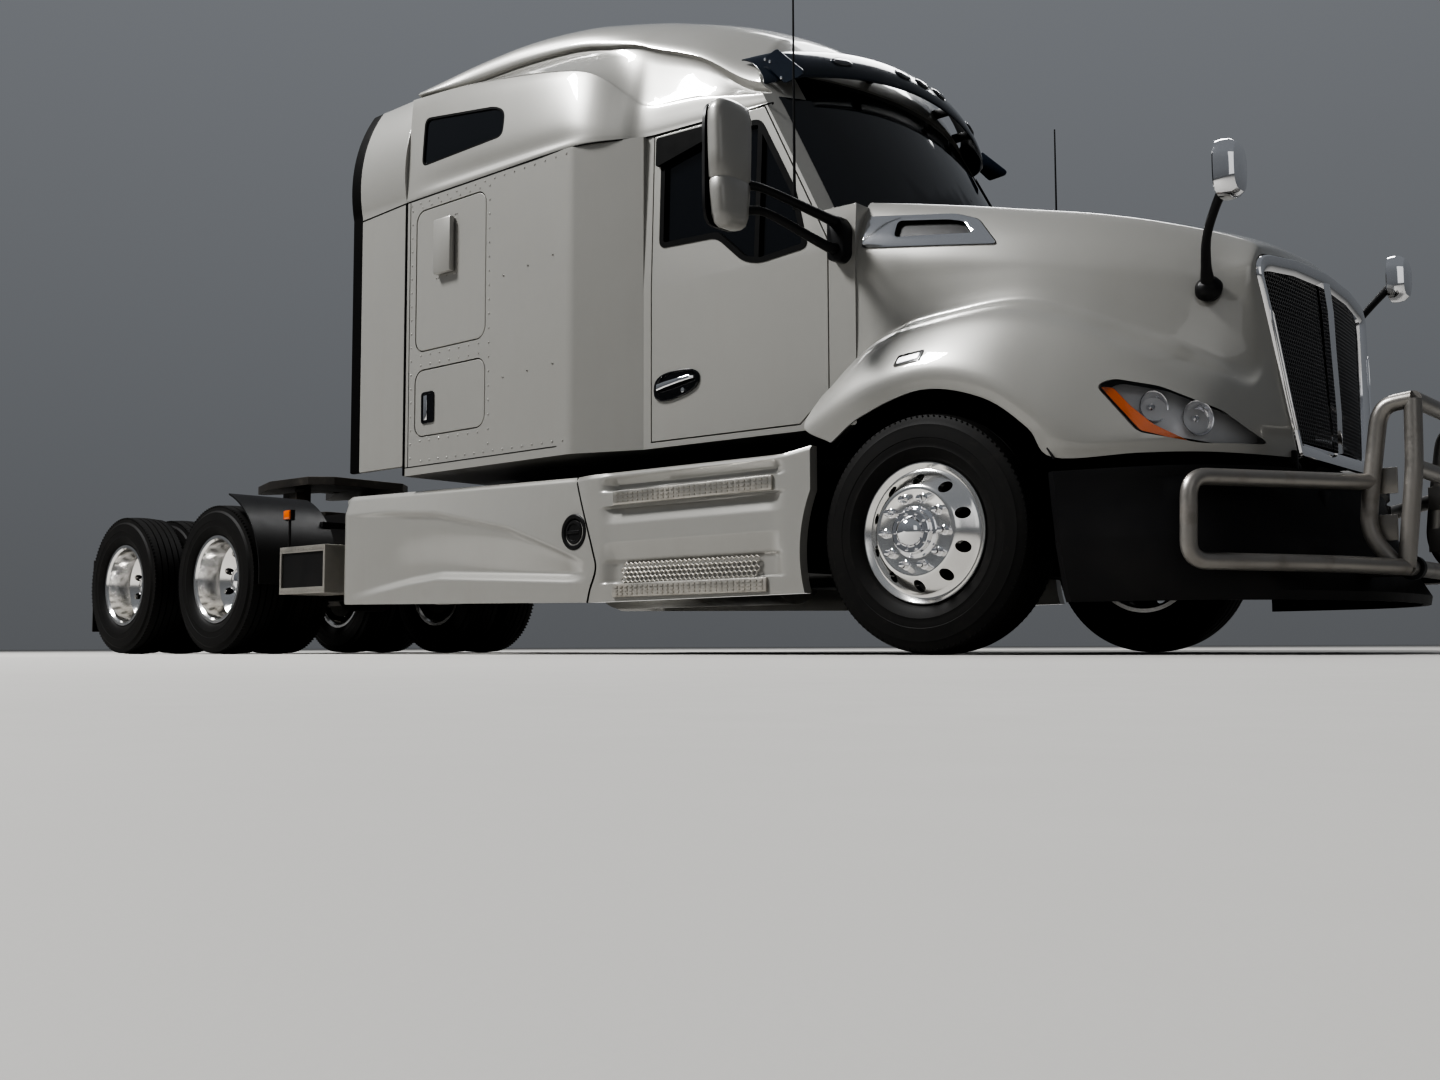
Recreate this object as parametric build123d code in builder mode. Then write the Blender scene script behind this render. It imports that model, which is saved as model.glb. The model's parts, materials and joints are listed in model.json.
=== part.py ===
"""Conventional tractor unit with a raised-roof sleeper, in millimetres.

+X points forward, +Y to the left and +Z up.  The origin is on the ground at the
middle of the whole vehicle.  Every x in a table or a profile is counted forward
from the front axle, because the planes below have their origin there.
"""
from build123d import *
from math import sqrt
import os

os.makedirs("parts", exist_ok=True)

# Layout along the vehicle
wheelbase = 6300.0
tandem_spacing = 1320.0
front_overhang = 1750.0
rear_overhang = 1240.0
front_axle_x = (wheelbase + rear_overhang - front_overhang) / 2
drive_axle_xs = {
    "front": -wheelbase + tandem_spacing / 2,
    "rear": -wheelbase - tandem_spacing / 2,
}
frame_end_x = -wheelbase - rear_overhang

# Clearances
running_gap = 0.3
panel_gap = 6.0

# Tyres and rims
tyre_radius = 507.0
tyre_width = 280.0
bead_radius = 286.0
flange_radius = 298.5
rim_half_width = 112.0
flange_thickness = 8.0
disc_offset = 171.5
disc_thickness = 22.0
disc_bore = 110.0
disc_flat_radius = 192.0
lug_circle = 142.9
lug_count = 10
lug_radius = 17.0
lug_height = 32.0
hand_hole_circle = 222.0
hand_hole_radius = 24.0
steer_tyre_y = 1055.0
twin_plane_y = 920.0

# Front axle and steering
kingpin_y = 860.0
kingpin_radius = 20.0
steer_boss_radius = 46.0
steer_boss_height = 110.0
ear_height = 40.0
spindle_radius = 38.0
tie_arm = 180.0
tie_rod_radius = 18.0
ball_radius = 24.0

# Frame rails
rail_top = 985.0
rail_height = 270.0
rail_bottom = rail_top - rail_height
rail_outer_y = 432.0
rail_flange = 88.0
rail_web = 10.0
rail_front_x = 950.0
horn_bottom = 560.0
horn_front_x = 1300.0

# Hood hinge at the horns' front ends
hood_pivot = (1270.0, 735.0)
lug_y = (rail_outer_y, 462.0)
hood_lug_radius = 28.0
ear_y = (468.0, 500.0)
hinge_pin_radius = 12.0

# Cab and sleeper
floor_z = 1030.0
side_top = 2650.0
cowl_x = -450.0
cab_rear_x = -1720.0
sleeper_rear_x = -3520.0
sleeper_half_width = 1220.0
cab_wall = 50.0
screen_base = 2050.0
screen_radius = 1720.0
screen_front_x = -330.0
screen_rake = 0.55
glass_thickness = 8.0


def side_plane(y=0.0):
    """Upright plane that faces the right, with x along the vehicle and y upwards."""
    return Plane(origin=(front_axle_x, y, 0), x_dir=(1, 0, 0), z_dir=(0, -1, 0))


def plan_plane(z):
    """Level plane at a height."""
    return Plane(origin=(front_axle_x, 0, z), x_dir=(1, 0, 0), z_dir=(0, 0, 1))


def cross_plane(x):
    """Plane across the vehicle, with x to the left and y upwards."""
    return Plane(origin=(front_axle_x + x, 0, 0), x_dir=(0, 1, 0), z_dir=(1, 0, 0))


def block(x, y, z, mode=Mode.ADD):
    """Add a box from its spans, each given as (low, high)."""
    with Locations((front_axle_x + sum(x) / 2, sum(y) / 2, sum(z) / 2)):
        Box(x[1] - x[0], y[1] - y[0], z[1] - z[0], mode=mode)


def post(x, y, z, radius, mode=Mode.ADD):
    """Add an upright cylinder whose z is given as (low, high)."""
    with Locations((front_axle_x + x, y, sum(z) / 2)):
        Cylinder(radius, z[1] - z[0], mode=mode)


def shaft(x, y, z, radius, mode=Mode.ADD):
    """Add a cylinder across the vehicle whose y is given as (low, high)."""
    with Locations(Location((front_axle_x + x, sum(y) / 2, z), (90, 0, 0))):
        Cylinder(radius, abs(y[1] - y[0]), mode=mode)


def both_sides(half):
    """Close a half outline, listed from the middle outwards, with its mirror image."""
    return half + [(-y, z) for y, z in reversed(half) if y != 0]


def bulged(start, end, share):
    """Point beside the middle of a chord, out to its right by a share of its length."""
    run_y = end[0] - start[0]
    run_z = end[1] - start[1]
    return (
        (start[0] + end[0]) / 2 + share * run_z,
        (start[1] + end[1]) / 2 - share * run_y,
    )


def save(piece, name):
    """Label a finished piece and write it to its own file."""
    piece.part.label = name
    export_step(piece.part, f"parts/{name}.step")


SIDES = {"left": 1, "right": -1}


def tyre_section(centre_y):
    """Half section of a tyre, in y and radius."""
    half = tyre_width / 2
    bead = rim_half_width - flange_thickness - 1
    points = [
        (-bead, bead_radius + running_gap),
        (-bead, flange_radius + 2),
        (-half, 0.79 * tyre_radius),
        (-0.88 * half, 0.965 * tyre_radius),
        (-0.66 * half, tyre_radius),
    ]
    outline = points + [(-y, r) for y, r in reversed(points)]
    return [(centre_y + y, r) for y, r in outline]


def rim_section(centre_y, outward):
    """Half section of a wheel whose disc bulges to one side, in y and radius."""
    lip = rim_half_width
    seat = rim_half_width - flange_thickness
    well = bead_radius - 18
    face = disc_offset
    back = disc_offset - disc_thickness
    points = [
        (-lip, flange_radius), (-seat, flange_radius), (-seat, bead_radius),
        (seat, bead_radius), (seat, flange_radius), (lip, flange_radius),
        (lip, bead_radius - 9), (seat - 8, well), (face, disc_flat_radius),
        (face, disc_bore), (back, disc_bore), (back, disc_flat_radius - 10),
        (seat - 40, well), (-seat + 6, well), (-lip, bead_radius - 9),
    ]
    return [(centre_y + outward * y, r) for y, r in points]


def hub_section(points, centre_y, outward):
    """Place the half section of a hub, given in y and radius."""
    return [(centre_y + outward * y, r) for y, r in points]


def wheel_plane(x):
    """Plane across the vehicle with its origin on a wheel's axis."""
    return Plane(origin=(front_axle_x + x, 0, tyre_radius), x_dir=(0, 1, 0), z_dir=(1, 0, 0))


def wheel_axis(x):
    """Axis that a wheel turns on."""
    return Axis((front_axle_x + x, 0, tyre_radius), (0, 1, 0))


# Steer wheels
steer_hub = [
    (-90, spindle_radius + running_gap), (-90, 95), (-78, 188), (52, 192), (52, 170),
    (disc_offset - disc_thickness - 24, 168), (disc_offset - disc_thickness, 168),
    (disc_offset - disc_thickness, disc_bore), (disc_offset, disc_bore),
    (disc_offset + 8, 96), (disc_offset + 36, 92), (disc_offset + 40, 62),
    (disc_offset + 66, 52), (disc_offset + 78, 0), (disc_offset - 20, 0),
    (disc_offset - 20, spindle_radius + running_gap),
]
for side, sign in SIDES.items():
    with BuildPart() as tyre:
        with BuildSketch(wheel_plane(0)):
            with BuildLine():
                Polyline(tyre_section(sign * steer_tyre_y), close=True)
            make_face()
        revolve(axis=wheel_axis(0))
    save(tyre, f"tyre_steer_{side}")

    with BuildPart() as rim:
        with BuildSketch(wheel_plane(0)):
            with BuildLine():
                Polyline(rim_section(sign * steer_tyre_y, sign), close=True)
            make_face()
            with BuildLine():
                Polyline(hub_section(steer_hub, sign * steer_tyre_y, sign), close=True)
            make_face()
        revolve(axis=wheel_axis(0))
        face_y = sign * (steer_tyre_y + disc_offset)
        with Locations(Location((front_axle_x, face_y, tyre_radius), (sign * -90, 0, 0))):
            with PolarLocations(lug_circle, lug_count):
                Cylinder(lug_radius, lug_height, align=(Align.CENTER, Align.CENTER, Align.MIN))
            with PolarLocations(hand_hole_circle, lug_count, start_angle=180 / lug_count):
                Cylinder(hand_hole_radius, 3 * disc_offset, mode=Mode.SUBTRACT)
    save(rim, f"rim_steer_{side}")

# Twin drive wheels
twin_hub = [
    (-260, 62), (-260, 205), (-disc_thickness - 24, 205), (-disc_thickness - 24, 168),
    (-disc_thickness, 168), (-disc_thickness, disc_bore), (disc_thickness, disc_bore),
    (disc_thickness + 6, 104), (110, 98), (140, 60), (146, 0),
    (60, 0), (60, 62),
]
for axle, axle_x in drive_axle_xs.items():
    for side, sign in SIDES.items():
        plane_y = sign * twin_plane_y
        with BuildPart() as tyre:
            with BuildSketch(wheel_plane(axle_x)):
                for step in (-1, 1):
                    with BuildLine():
                        Polyline(tyre_section(plane_y + step * disc_offset), close=True)
                    make_face()
            revolve(axis=wheel_axis(axle_x))
        save(tyre, f"tyres_{axle}_drive_{side}")

        with BuildPart() as rim:
            with BuildSketch(wheel_plane(axle_x)):
                for step in (-1, 1):
                    with BuildLine():
                        Polyline(rim_section(plane_y + step * disc_offset, -step), close=True)
                    make_face()
                with BuildLine():
                    Polyline(hub_section(twin_hub, plane_y, sign), close=True)
                make_face()
            revolve(axis=wheel_axis(axle_x))
            face_y = plane_y + sign * disc_thickness
            place = Location((front_axle_x + axle_x, face_y, tyre_radius), (sign * -90, 0, 0))
            with Locations(place):
                with PolarLocations(lug_circle, lug_count):
                    Cylinder(lug_radius, lug_height, align=(Align.CENTER, Align.CENTER, Align.MIN))
                with PolarLocations(hand_hole_circle, lug_count, start_angle=180 / lug_count):
                    Cylinder(hand_hole_radius, 6 * disc_offset, mode=Mode.SUBTRACT)
        save(rim, f"rims_{axle}_drive_{side}")

# Front axle beam with its kingpins
beam_z = 405.0
beam_depth = 90.0
beam_half_width = 45.0
boss_low = tyre_radius - steer_boss_height / 2
boss_high = tyre_radius + steer_boss_height / 2
ear_gap = 2.0
with BuildPart() as front_axle:
    with BuildSketch(cross_plane(-beam_half_width)):
        with BuildLine():
            half = [
                (0, beam_z - beam_depth / 2), (560, beam_z - beam_depth / 2),
                (kingpin_y - 60, boss_low), (kingpin_y, boss_low),
                (kingpin_y, boss_high - 10), (kingpin_y - 90, boss_high - 10),
                (560, beam_z + beam_depth / 2), (0, beam_z + beam_depth / 2),
            ]
            Polyline(both_sides(half), close=True)
        make_face()
    extrude(amount=2 * beam_half_width)
    for sign in SIDES.values():
        post(0, sign * kingpin_y, (boss_low, boss_high), steer_boss_radius)
        pin_reach = ear_gap + ear_height + 4
        post(0, sign * kingpin_y, (boss_low - pin_reach, boss_high + pin_reach), kingpin_radius)
save(front_axle, "front_axle")

# Steering knuckles, each with its spindle and its steering arm
arm_z = boss_low - ear_gap - ear_height
for side, sign in SIDES.items():
    with BuildPart() as knuckle:
        body_y = (kingpin_y + steer_boss_radius + 6, kingpin_y + 95)
        ears = (
            (boss_low - ear_gap - ear_height, boss_low - ear_gap),
            (boss_high + ear_gap, boss_high + ear_gap + ear_height),
        )
        spans = sorted((sign * body_y[0], sign * body_y[1]))
        block((-45, 45), spans, (ears[0][0], ears[1][1]))
        shaft(0, (sign * body_y[1], sign * (steer_tyre_y + disc_offset - 24)), tyre_radius, spindle_radius)
        for ear in ears:
            post(0, sign * kingpin_y, ear, steer_boss_radius)
            block((-45, 45), sorted((sign * kingpin_y, sign * body_y[1])), ear)
        block((-tie_arm, -20), sorted((sign * (kingpin_y - 22), sign * (kingpin_y + 22))), (arm_z, arm_z + 30))
        post(-tie_arm, sign * kingpin_y, (arm_z, arm_z + 30), 30)
        post(-tie_arm, sign * kingpin_y, (arm_z - 46, arm_z), 12)
        post(0, sign * kingpin_y, (arm_z - 10, ears[1][1] + 10), kingpin_radius + running_gap, Mode.SUBTRACT)
    save(knuckle, f"knuckle_{side}")

# Tie rod between the steering arms
rod_z = arm_z - 24
with BuildPart() as tie_rod:
    shaft(-tie_arm, (-kingpin_y, kingpin_y), rod_z, tie_rod_radius)
    for sign in SIDES.values():
        post(-tie_arm, sign * kingpin_y, (rod_z - 20, rod_z + 20), ball_radius)
        post(-tie_arm, sign * kingpin_y, (rod_z - 30, rod_z + 30), 12 + running_gap, Mode.SUBTRACT)
save(tie_rod, "tie_rod")

# Frame rails with their cross members and bumper horns
cab_mount_xs = (-600, -1600, -3350)
cross_members = (900, -2150, -3500, -4700, -5350, -6300, -7200, frame_end_x + 40)
with BuildPart() as frame_rails:
    for sign in SIDES.values():
        web = sorted((sign * (rail_outer_y - rail_web), sign * rail_outer_y))
        flange = sorted((sign * (rail_outer_y - rail_flange), sign * rail_outer_y))
        block((frame_end_x, rail_front_x), web, (rail_bottom, rail_top))
        block((frame_end_x, rail_front_x), flange, (rail_bottom, rail_bottom + rail_web))
        block((frame_end_x, rail_front_x), flange, (rail_top - rail_web, rail_top))
        block((rail_front_x - 120, horn_front_x), flange, (horn_bottom, rail_bottom))
        lug = sorted((sign * lug_y[0], sign * lug_y[1]))
        reach = hood_lug_radius
        block((hood_pivot[0] - reach, hood_pivot[0] + reach), lug, (690, hood_pivot[1]))
        shaft(hood_pivot[0], lug, hood_pivot[1], reach)
        bore = (lug[0] - 1, lug[1] + 1)
        shaft(hood_pivot[0], bore, hood_pivot[1], hinge_pin_radius + running_gap, Mode.SUBTRACT)
        for mount_x in cab_mount_xs:
            block((mount_x - 60, mount_x + 60), flange, (rail_top, floor_z))
    for member_x in cross_members:
        inner = rail_outer_y - rail_web
        block((member_x - 40, member_x + 40), (-inner, inner), (rail_top - 150, rail_top - rail_web))
save(frame_rails, "frame_rails")

# Front leaf springs on the beam; trailing arms, hangers and air springs at the drive axles
housing_radius = 65.0
spring_y = (355, 425)
spring_z = beam_z + beam_depth / 2
spring_reach = 720.0
arm_top = tyre_radius - housing_radius
arm_depth = 70.0
with BuildPart() as suspension:
    for sign in SIDES.values():
        spans = sorted((sign * spring_y[0], sign * spring_y[1]))
        with BuildSketch(side_plane(spans[1])):
            with BuildLine():
                Polyline(
                    (-spring_reach, rail_bottom - 60), (-420, 520), (-90, spring_z),
                    (90, spring_z), (420, 520), (spring_reach, rail_bottom - 60),
                    (spring_reach, rail_bottom - 30), (420, 560), (90, spring_z + 80),
                    (-90, spring_z + 80), (-420, 560), (-spring_reach, rail_bottom - 30),
                    close=True,
                )
            make_face()
        extrude(amount=spans[1] - spans[0])
        for end in (-1, 1):
            hanger = sorted((end * spring_reach, end * (spring_reach - 60)))
            if end < 0:
                block(hanger, spans, (rail_bottom - 60, rail_bottom))
            else:
                block(hanger, spans, (rail_bottom - 60, horn_bottom + 110))

    for axle_x in drive_axle_xs.values():
        for sign in SIDES.values():
            spans = sorted((sign * (rail_outer_y - rail_flange), sign * rail_outer_y))
            block((axle_x - 420, axle_x + 560), spans, (arm_top - arm_depth, arm_top))
            block((axle_x + 480, axle_x + 560), spans, (arm_top, rail_bottom))
            post(axle_x - 290, sign * 400, (arm_top, rail_bottom), 120)
save(suspension, "suspension")

# Drive axle housings
with BuildPart() as drive_axles:
    for axle_x in drive_axle_xs.values():
        reach = twin_plane_y - 270
        shaft(axle_x, (-reach, reach), tyre_radius, housing_radius)
        shaft(axle_x, (-twin_plane_y - 55, twin_plane_y + 55), tyre_radius, 61.5)
        with Locations((front_axle_x + axle_x, 0, tyre_radius)):
            Cylinder(200, 260, rotation=(90, 0, 0))
        with Locations(Location((front_axle_x + axle_x + 230, 0, tyre_radius + 40), (0, 90, 0))):
            Cylinder(90, 200)
save(drive_axles, "drive_axles")

# Engine, gearbox and propeller shafts
engine_x = (-430, 760)
gearbox_x = (-1500, engine_x[0])
gearbox_z = 780.0
with BuildPart() as engine:
    block(engine_x, (-330, 330), (580, 1560))
save(engine, "engine_block")


def rod_between(start, end, radius):
    """Sketch of a round section at start, square to the line to end, and that line's length."""
    run = Vector(*end) - Vector(*start)
    with BuildSketch(Plane(origin=start, z_dir=run)) as section:
        Circle(radius)
    return section.sketch, run.length


pinion_z = tyre_radius + 40
yoke_radius = 62.0
yoke_length = 90.0
shaft_runs = (
    ((gearbox_x[0], gearbox_z), (drive_axle_xs["front"] + 330, pinion_z)),
    ((drive_axle_xs["front"] - 200, pinion_z - 40), (drive_axle_xs["rear"] + 330, pinion_z)),
)
with BuildPart() as driveline:
    for gearbox_end, radius in zip(gearbox_x, (160, 240)):
        with BuildSketch(cross_plane(gearbox_end)):
            with Locations((0, gearbox_z)):
                Circle(radius)
    loft()
    for start, end in shaft_runs:
        yokes = ((start[0] - yoke_length, start[0], start[1]), (end[0], end[0] + yoke_length, end[1]))
        for low, high, z in yokes:
            with Locations(Location((front_axle_x + (low + high) / 2, 0, z), (0, 90, 0))):
                Cylinder(yoke_radius, high - low)
        middles = [(front_axle_x + (low + high) / 2, 0, z) for low, high, z in yokes]
        section, length = rod_between(middles[0], middles[1], 45)
        extrude(section, amount=length)
save(driveline, "driveline")

# Radiator on the bumper horns, ahead of the rails
with BuildPart() as radiator:
    block((rail_front_x, rail_front_x + 120), (-440, 440), (rail_bottom, 1500))
save(radiator, "radiator")

# Fuel tanks on the rails, behind the treatment and battery boxes
tank_radius = 311.0
tank_x = (-3750, -2200)
tank_z = 610.0
with BuildPart() as tanks:
    for sign in SIDES.values():
        tank_y = sign * (rail_outer_y + 40 + tank_radius)
        with Locations(Location((front_axle_x + sum(tank_x) / 2, tank_y, tank_z), (0, 90, 0))):
            Cylinder(tank_radius, tank_x[1] - tank_x[0])
        for bracket_x in (tank_x[0] + 250, tank_x[1] - 250):
            bracket = sorted((sign * rail_outer_y, tank_y))
            block((bracket_x - 40, bracket_x + 40), bracket, (tank_z - 60, tank_z + 160))
save(tanks, "fuel_tanks")

with BuildPart() as side_boxes:
    for sign in SIDES.values():
        spans = sorted((sign * rail_outer_y, sign * 1000))
        block((-1950, -800), spans, (380, 900))
save(side_boxes, "side_boxes")


def screen_body(inset):
    """Everything behind the windscreen's curved and raked surface, moved in by an inset."""
    top = 4200
    radius = screen_radius - inset
    with BuildPart() as body:
        for z in (screen_base, top):
            front = screen_front_x - (z - screen_base) * screen_rake - inset
            half = 1500
            edge = front - radius + sqrt(radius**2 - half**2)
            with BuildSketch(plan_plane(z)):
                with BuildLine():
                    ThreePointArc((edge, -half), (front, 0), (edge, half))
                    Polyline((edge, half), (-6500, half), (-6500, -half), (edge, -half))
                make_face()
        loft(ruled=True)
    return body.part


# Cab sections: height, half width at the rear, half width at the cowl
cab_sections = (
    (floor_z, 1070, 1000),
    (1850, 1070, 1000),
    (side_top, 1045, 945),
)


def cab_body(inset):
    """Cab between the cowl and the sleeper, below the roof seam."""
    with BuildPart() as body:
        for z, rear_half, front_half in cab_sections:
            level = z + inset if z == floor_z else z + (inset if z == side_top else 0)
            with BuildSketch(plan_plane(level)):
                with BuildLine():
                    Polyline(
                        (cab_rear_x, -rear_half + inset), (cowl_x - inset, -front_half + inset),
                        (cowl_x - inset, front_half - inset), (cab_rear_x, rear_half - inset),
                        close=True,
                    )
                make_face()
        loft(ruled=True)
        with BuildPart(mode=Mode.PRIVATE) as ahead:
            block((-1500, 500), (-1400, 1400), (screen_base, side_top + 200))
            add(screen_body(inset), mode=Mode.SUBTRACT)
        add(ahead.part, mode=Mode.SUBTRACT)
    return body.part


# Roof sections: place, half width at the seam, shoulder y and z, crown z
roof_sections = (
    (-560, 950, 700, 2720, 2790),
    (-850, 972, 745, 2930, 3035),
    (-1100, 992, 780, 3085, 3210),
    (-1400, 1020, 825, 3215, 3365),
    (-1720, 1052, 880, 3310, 3480),
    (-2080, 1200, 935, 3385, 3570),
    (-2450, sleeper_half_width, 985, 3425, 3625),
    (-2950, sleeper_half_width, 1030, 3435, 3650),
    (sleeper_rear_x, sleeper_half_width, 1080, 3370, 3610),
)
roof_side_bulge = 0.10


def roof_body(inset):
    """Roof cap above the seam, lofted along the vehicle and cut by the windscreen."""
    with BuildPart() as body:
        for x, half, shoulder_y, shoulder_z, crown in roof_sections:
            place = x + inset if x == sleeper_rear_x else x
            with BuildSketch(cross_plane(place)):
                foot = (half - inset, side_top)
                turn = (shoulder_y - 0.7 * inset, shoulder_z - 0.7 * inset)
                middle = bulged(foot, turn, roof_side_bulge)
                with BuildLine():
                    ThreePointArc(foot, middle, turn)
                    ThreePointArc(turn, (0, crown - inset), (-turn[0], turn[1]))
                    ThreePointArc((-turn[0], turn[1]), (-middle[0], middle[1]), (-foot[0], foot[1]))
                    Line((-foot[0], foot[1]), foot)
                make_face()
        loft(ruled=True)
        add(screen_body(inset), mode=Mode.INTERSECT)
    return body.part


# Sleeper in plan: it widens behind the cab up to a rounded corner
sleeper_front_half = 1070.0
sleeper_corner_x = -2110.0
sleeper_corner_radius = 160.0


def sleeper_body(inset):
    """Sleeper box below the roof seam."""
    with BuildPart() as body:
        with BuildSketch(plan_plane(floor_z + inset)):
            with BuildLine():
                half = sleeper_half_width - inset
                side_line = [
                    (cab_rear_x, sleeper_front_half - inset), (sleeper_corner_x, half),
                    (sleeper_rear_x + inset, half),
                ]
                Polyline(side_line + [(x, -y) for x, y in reversed(side_line)], close=True)
            make_face()
            corners = vertices().filter_by_position(Axis.X, sleeper_corner_x - 1, sleeper_corner_x + 1)
            fillet(corners, radius=sleeper_corner_radius - inset)
        extrude(amount=side_top - floor_z - inset)
    return body.part


# Cab door outline and its window, as seen from the side
door_front_x = -600.0
door_rear_x = -1665.0
door_outline = (
    (door_rear_x, 1065), (-760, 1065), (door_front_x, 1200), (door_front_x, 1900),
    (-720, 2130), (-985, side_top - 10), (door_rear_x, side_top - 10),
)
door_window = (
    (-1605, 2060), (-1250, 2050), (-1080, 1900), (-990, 1875), (-725, 1900),
    (-800, 2180), (-1010, 2570), (-1605, 2590),
)
hatch_front_x = -2795.0
hatch_rear_x = -3420.0
upper_hatch_z = (1745, 2570)
lower_hatch_z = (1250, 1630)
roof_window = ((-3390, 2840), (-2670, 2850), (-2670, 3000), (-2760, 3050), (-3390, 3140))


def outline_prism(points, y, grow=0.0):
    """Solid with an outline seen from the side, between two places across the vehicle."""
    with BuildPart() as prism:
        with BuildSketch(side_plane(max(y))):
            with BuildLine():
                Polyline(points, close=True)
            make_face()
            if grow:
                offset(amount=grow, kind=Kind.INTERSECTION)
        extrude(amount=max(y) - min(y))
    return prism.part


def rounded_hatch(z, grow=0.0):
    """Outline of a sleeper hatch with rounded corners, as a solid on both sides."""
    with BuildPart() as prism:
        with BuildSketch(side_plane(1500)):
            with Locations(((hatch_front_x + hatch_rear_x) / 2, sum(z) / 2)):
                RectangleRounded(
                    hatch_front_x - hatch_rear_x + 2 * grow, z[1] - z[0] + 2 * grow, 70 + grow
                )
        extrude(amount=3000)
    return prism.part


# Cab shell, open to the sleeper behind and cut for its doors and windscreen
screen_half = 790.0
screen_low = screen_base + 60
with BuildPart() as screen_hole:
    block((-1400, 400), (-screen_half, screen_half), (screen_low, 2860))
shell_wall = cab_body(0) - cab_body(cab_wall)

door_depth = cab_wall - 5
door_core_y = 930.0
seal_lip = 20.0


def door_zone(grow, depth):
    """What lies inside the door outline, grown by a gap, down to a depth from the skin."""
    with BuildPart() as zone:
        add(outline_prism(door_outline, (-1500, 1500), grow))
        add(cab_body(depth), mode=Mode.SUBTRACT)
        block((-3000, 500), (-door_core_y, door_core_y), (900, 3000), Mode.SUBTRACT)
    return zone.part


def hatch_zone(z, grow, depth):
    """What lies inside a hatch outline, grown by a gap, down to a depth from the skin."""
    with BuildPart() as zone:
        add(rounded_hatch(z, grow))
        add(sleeper_body(depth), mode=Mode.SUBTRACT)
    return zone.part


with BuildPart() as cab_shell:
    add(shell_wall)
    add(door_zone(panel_gap, door_depth), mode=Mode.SUBTRACT)
    add(outline_prism(door_outline, (-1500, 1500), -seal_lip), mode=Mode.SUBTRACT)
    add(screen_hole.part, mode=Mode.SUBTRACT)
save(cab_shell, "cab_shell")

# Roof cap, open below and cut for the windscreen and the upper side windows
roof_wall = roof_body(0) - roof_body(cab_wall)
with BuildPart() as roof_cap:
    add(roof_wall)
    add(screen_hole.part, mode=Mode.SUBTRACT)
    add(outline_prism(roof_window, (-1500, 1500)), mode=Mode.SUBTRACT)
save(roof_cap, "roof_cap")

hatch_depth = cab_wall - 10

# Sleeper shell, open to the cab and cut for its hatches
with BuildPart() as sleeper_shell:
    add(sleeper_body(0))
    add(sleeper_body(cab_wall), mode=Mode.SUBTRACT)
    block((cab_rear_x - cab_wall - 10, cab_rear_x), (-1020, 1020), (floor_z + cab_wall, side_top), Mode.SUBTRACT)
    for hatch_z in (upper_hatch_z, lower_hatch_z):
        add(hatch_zone(hatch_z, panel_gap, hatch_depth), mode=Mode.SUBTRACT)
        add(rounded_hatch(hatch_z, -seal_lip), mode=Mode.SUBTRACT)
save(sleeper_shell, "sleeper_shell")

# Sleeper hatches, cut from the wall that they close
for side, sign in SIDES.items():
    for hatch, hatch_z in (("upper_hatch", upper_hatch_z), ("baggage_door", lower_hatch_z)):
        with BuildPart() as door:
            add(sleeper_body(0))
            add(hatch_zone(hatch_z, 0, hatch_depth - running_gap), mode=Mode.INTERSECT)
            split(bisect_by=Plane.XZ, keep=Keep.BOTTOM if sign > 0 else Keep.TOP)
        save(door, f"{hatch}_{side}")

# Cab doors and their glass
glass_depth = 18.0
cab_glass_wall = cab_body(glass_depth) - cab_body(glass_depth + glass_thickness)
roof_glass_wall = roof_body(glass_depth) - roof_body(glass_depth + glass_thickness)
door_leaf_zone = door_zone(0, door_depth - running_gap)
for side, sign in SIDES.items():
    keep = Keep.BOTTOM if sign > 0 else Keep.TOP
    with BuildPart() as door:
        add(shell_wall)
        add(door_leaf_zone, mode=Mode.INTERSECT)
        add(outline_prism(door_window, (-1500, 1500)), mode=Mode.SUBTRACT)
        split(bisect_by=Plane.XZ, keep=keep)
    save(door, f"cab_door_{side}")

    with BuildPart() as glass:
        add(cab_glass_wall)
        add(outline_prism(door_window, (-1500, 1500)), mode=Mode.INTERSECT)
        split(bisect_by=Plane.XZ, keep=keep)
    save(glass, f"door_glass_{side}")

# Windscreen and upper side windows
with BuildPart() as cab_glass:
    add(cab_glass_wall)
    add(roof_glass_wall)
    add(screen_hole.part, mode=Mode.INTERSECT)
    with BuildPart(mode=Mode.PRIVATE) as side_panes:
        add(roof_glass_wall)
        add(outline_prism(roof_window, (-1500, 1500)), mode=Mode.INTERSECT)
    add(side_panes.part)
save(cab_glass, "cab_glass")

# Inside the cab: dash with the steering wheel, and seats; inside the sleeper: bunk
floor_top = floor_z + cab_wall
seat_y = 470.0
dash_rear_x = -860.0
wheel_rim_radius = 225.0
with BuildPart() as dash:
    block((dash_rear_x, cowl_x - cab_wall), (-920, 920), (1480, 1990))
    with Locations(Location((front_axle_x - 1000, seat_y, 1880), (0, -60, 0))):
        Torus(wheel_rim_radius, 16)
        Cylinder(40, 40)
        Box(2 * wheel_rim_radius, 30, 14)
    column = ((front_axle_x - 990, seat_y, 1874), (front_axle_x + dash_rear_x + 40, seat_y, 1776))
    section, length = rod_between(*column, 24)
    extrude(section, amount=length)
save(dash, "dash")

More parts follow.
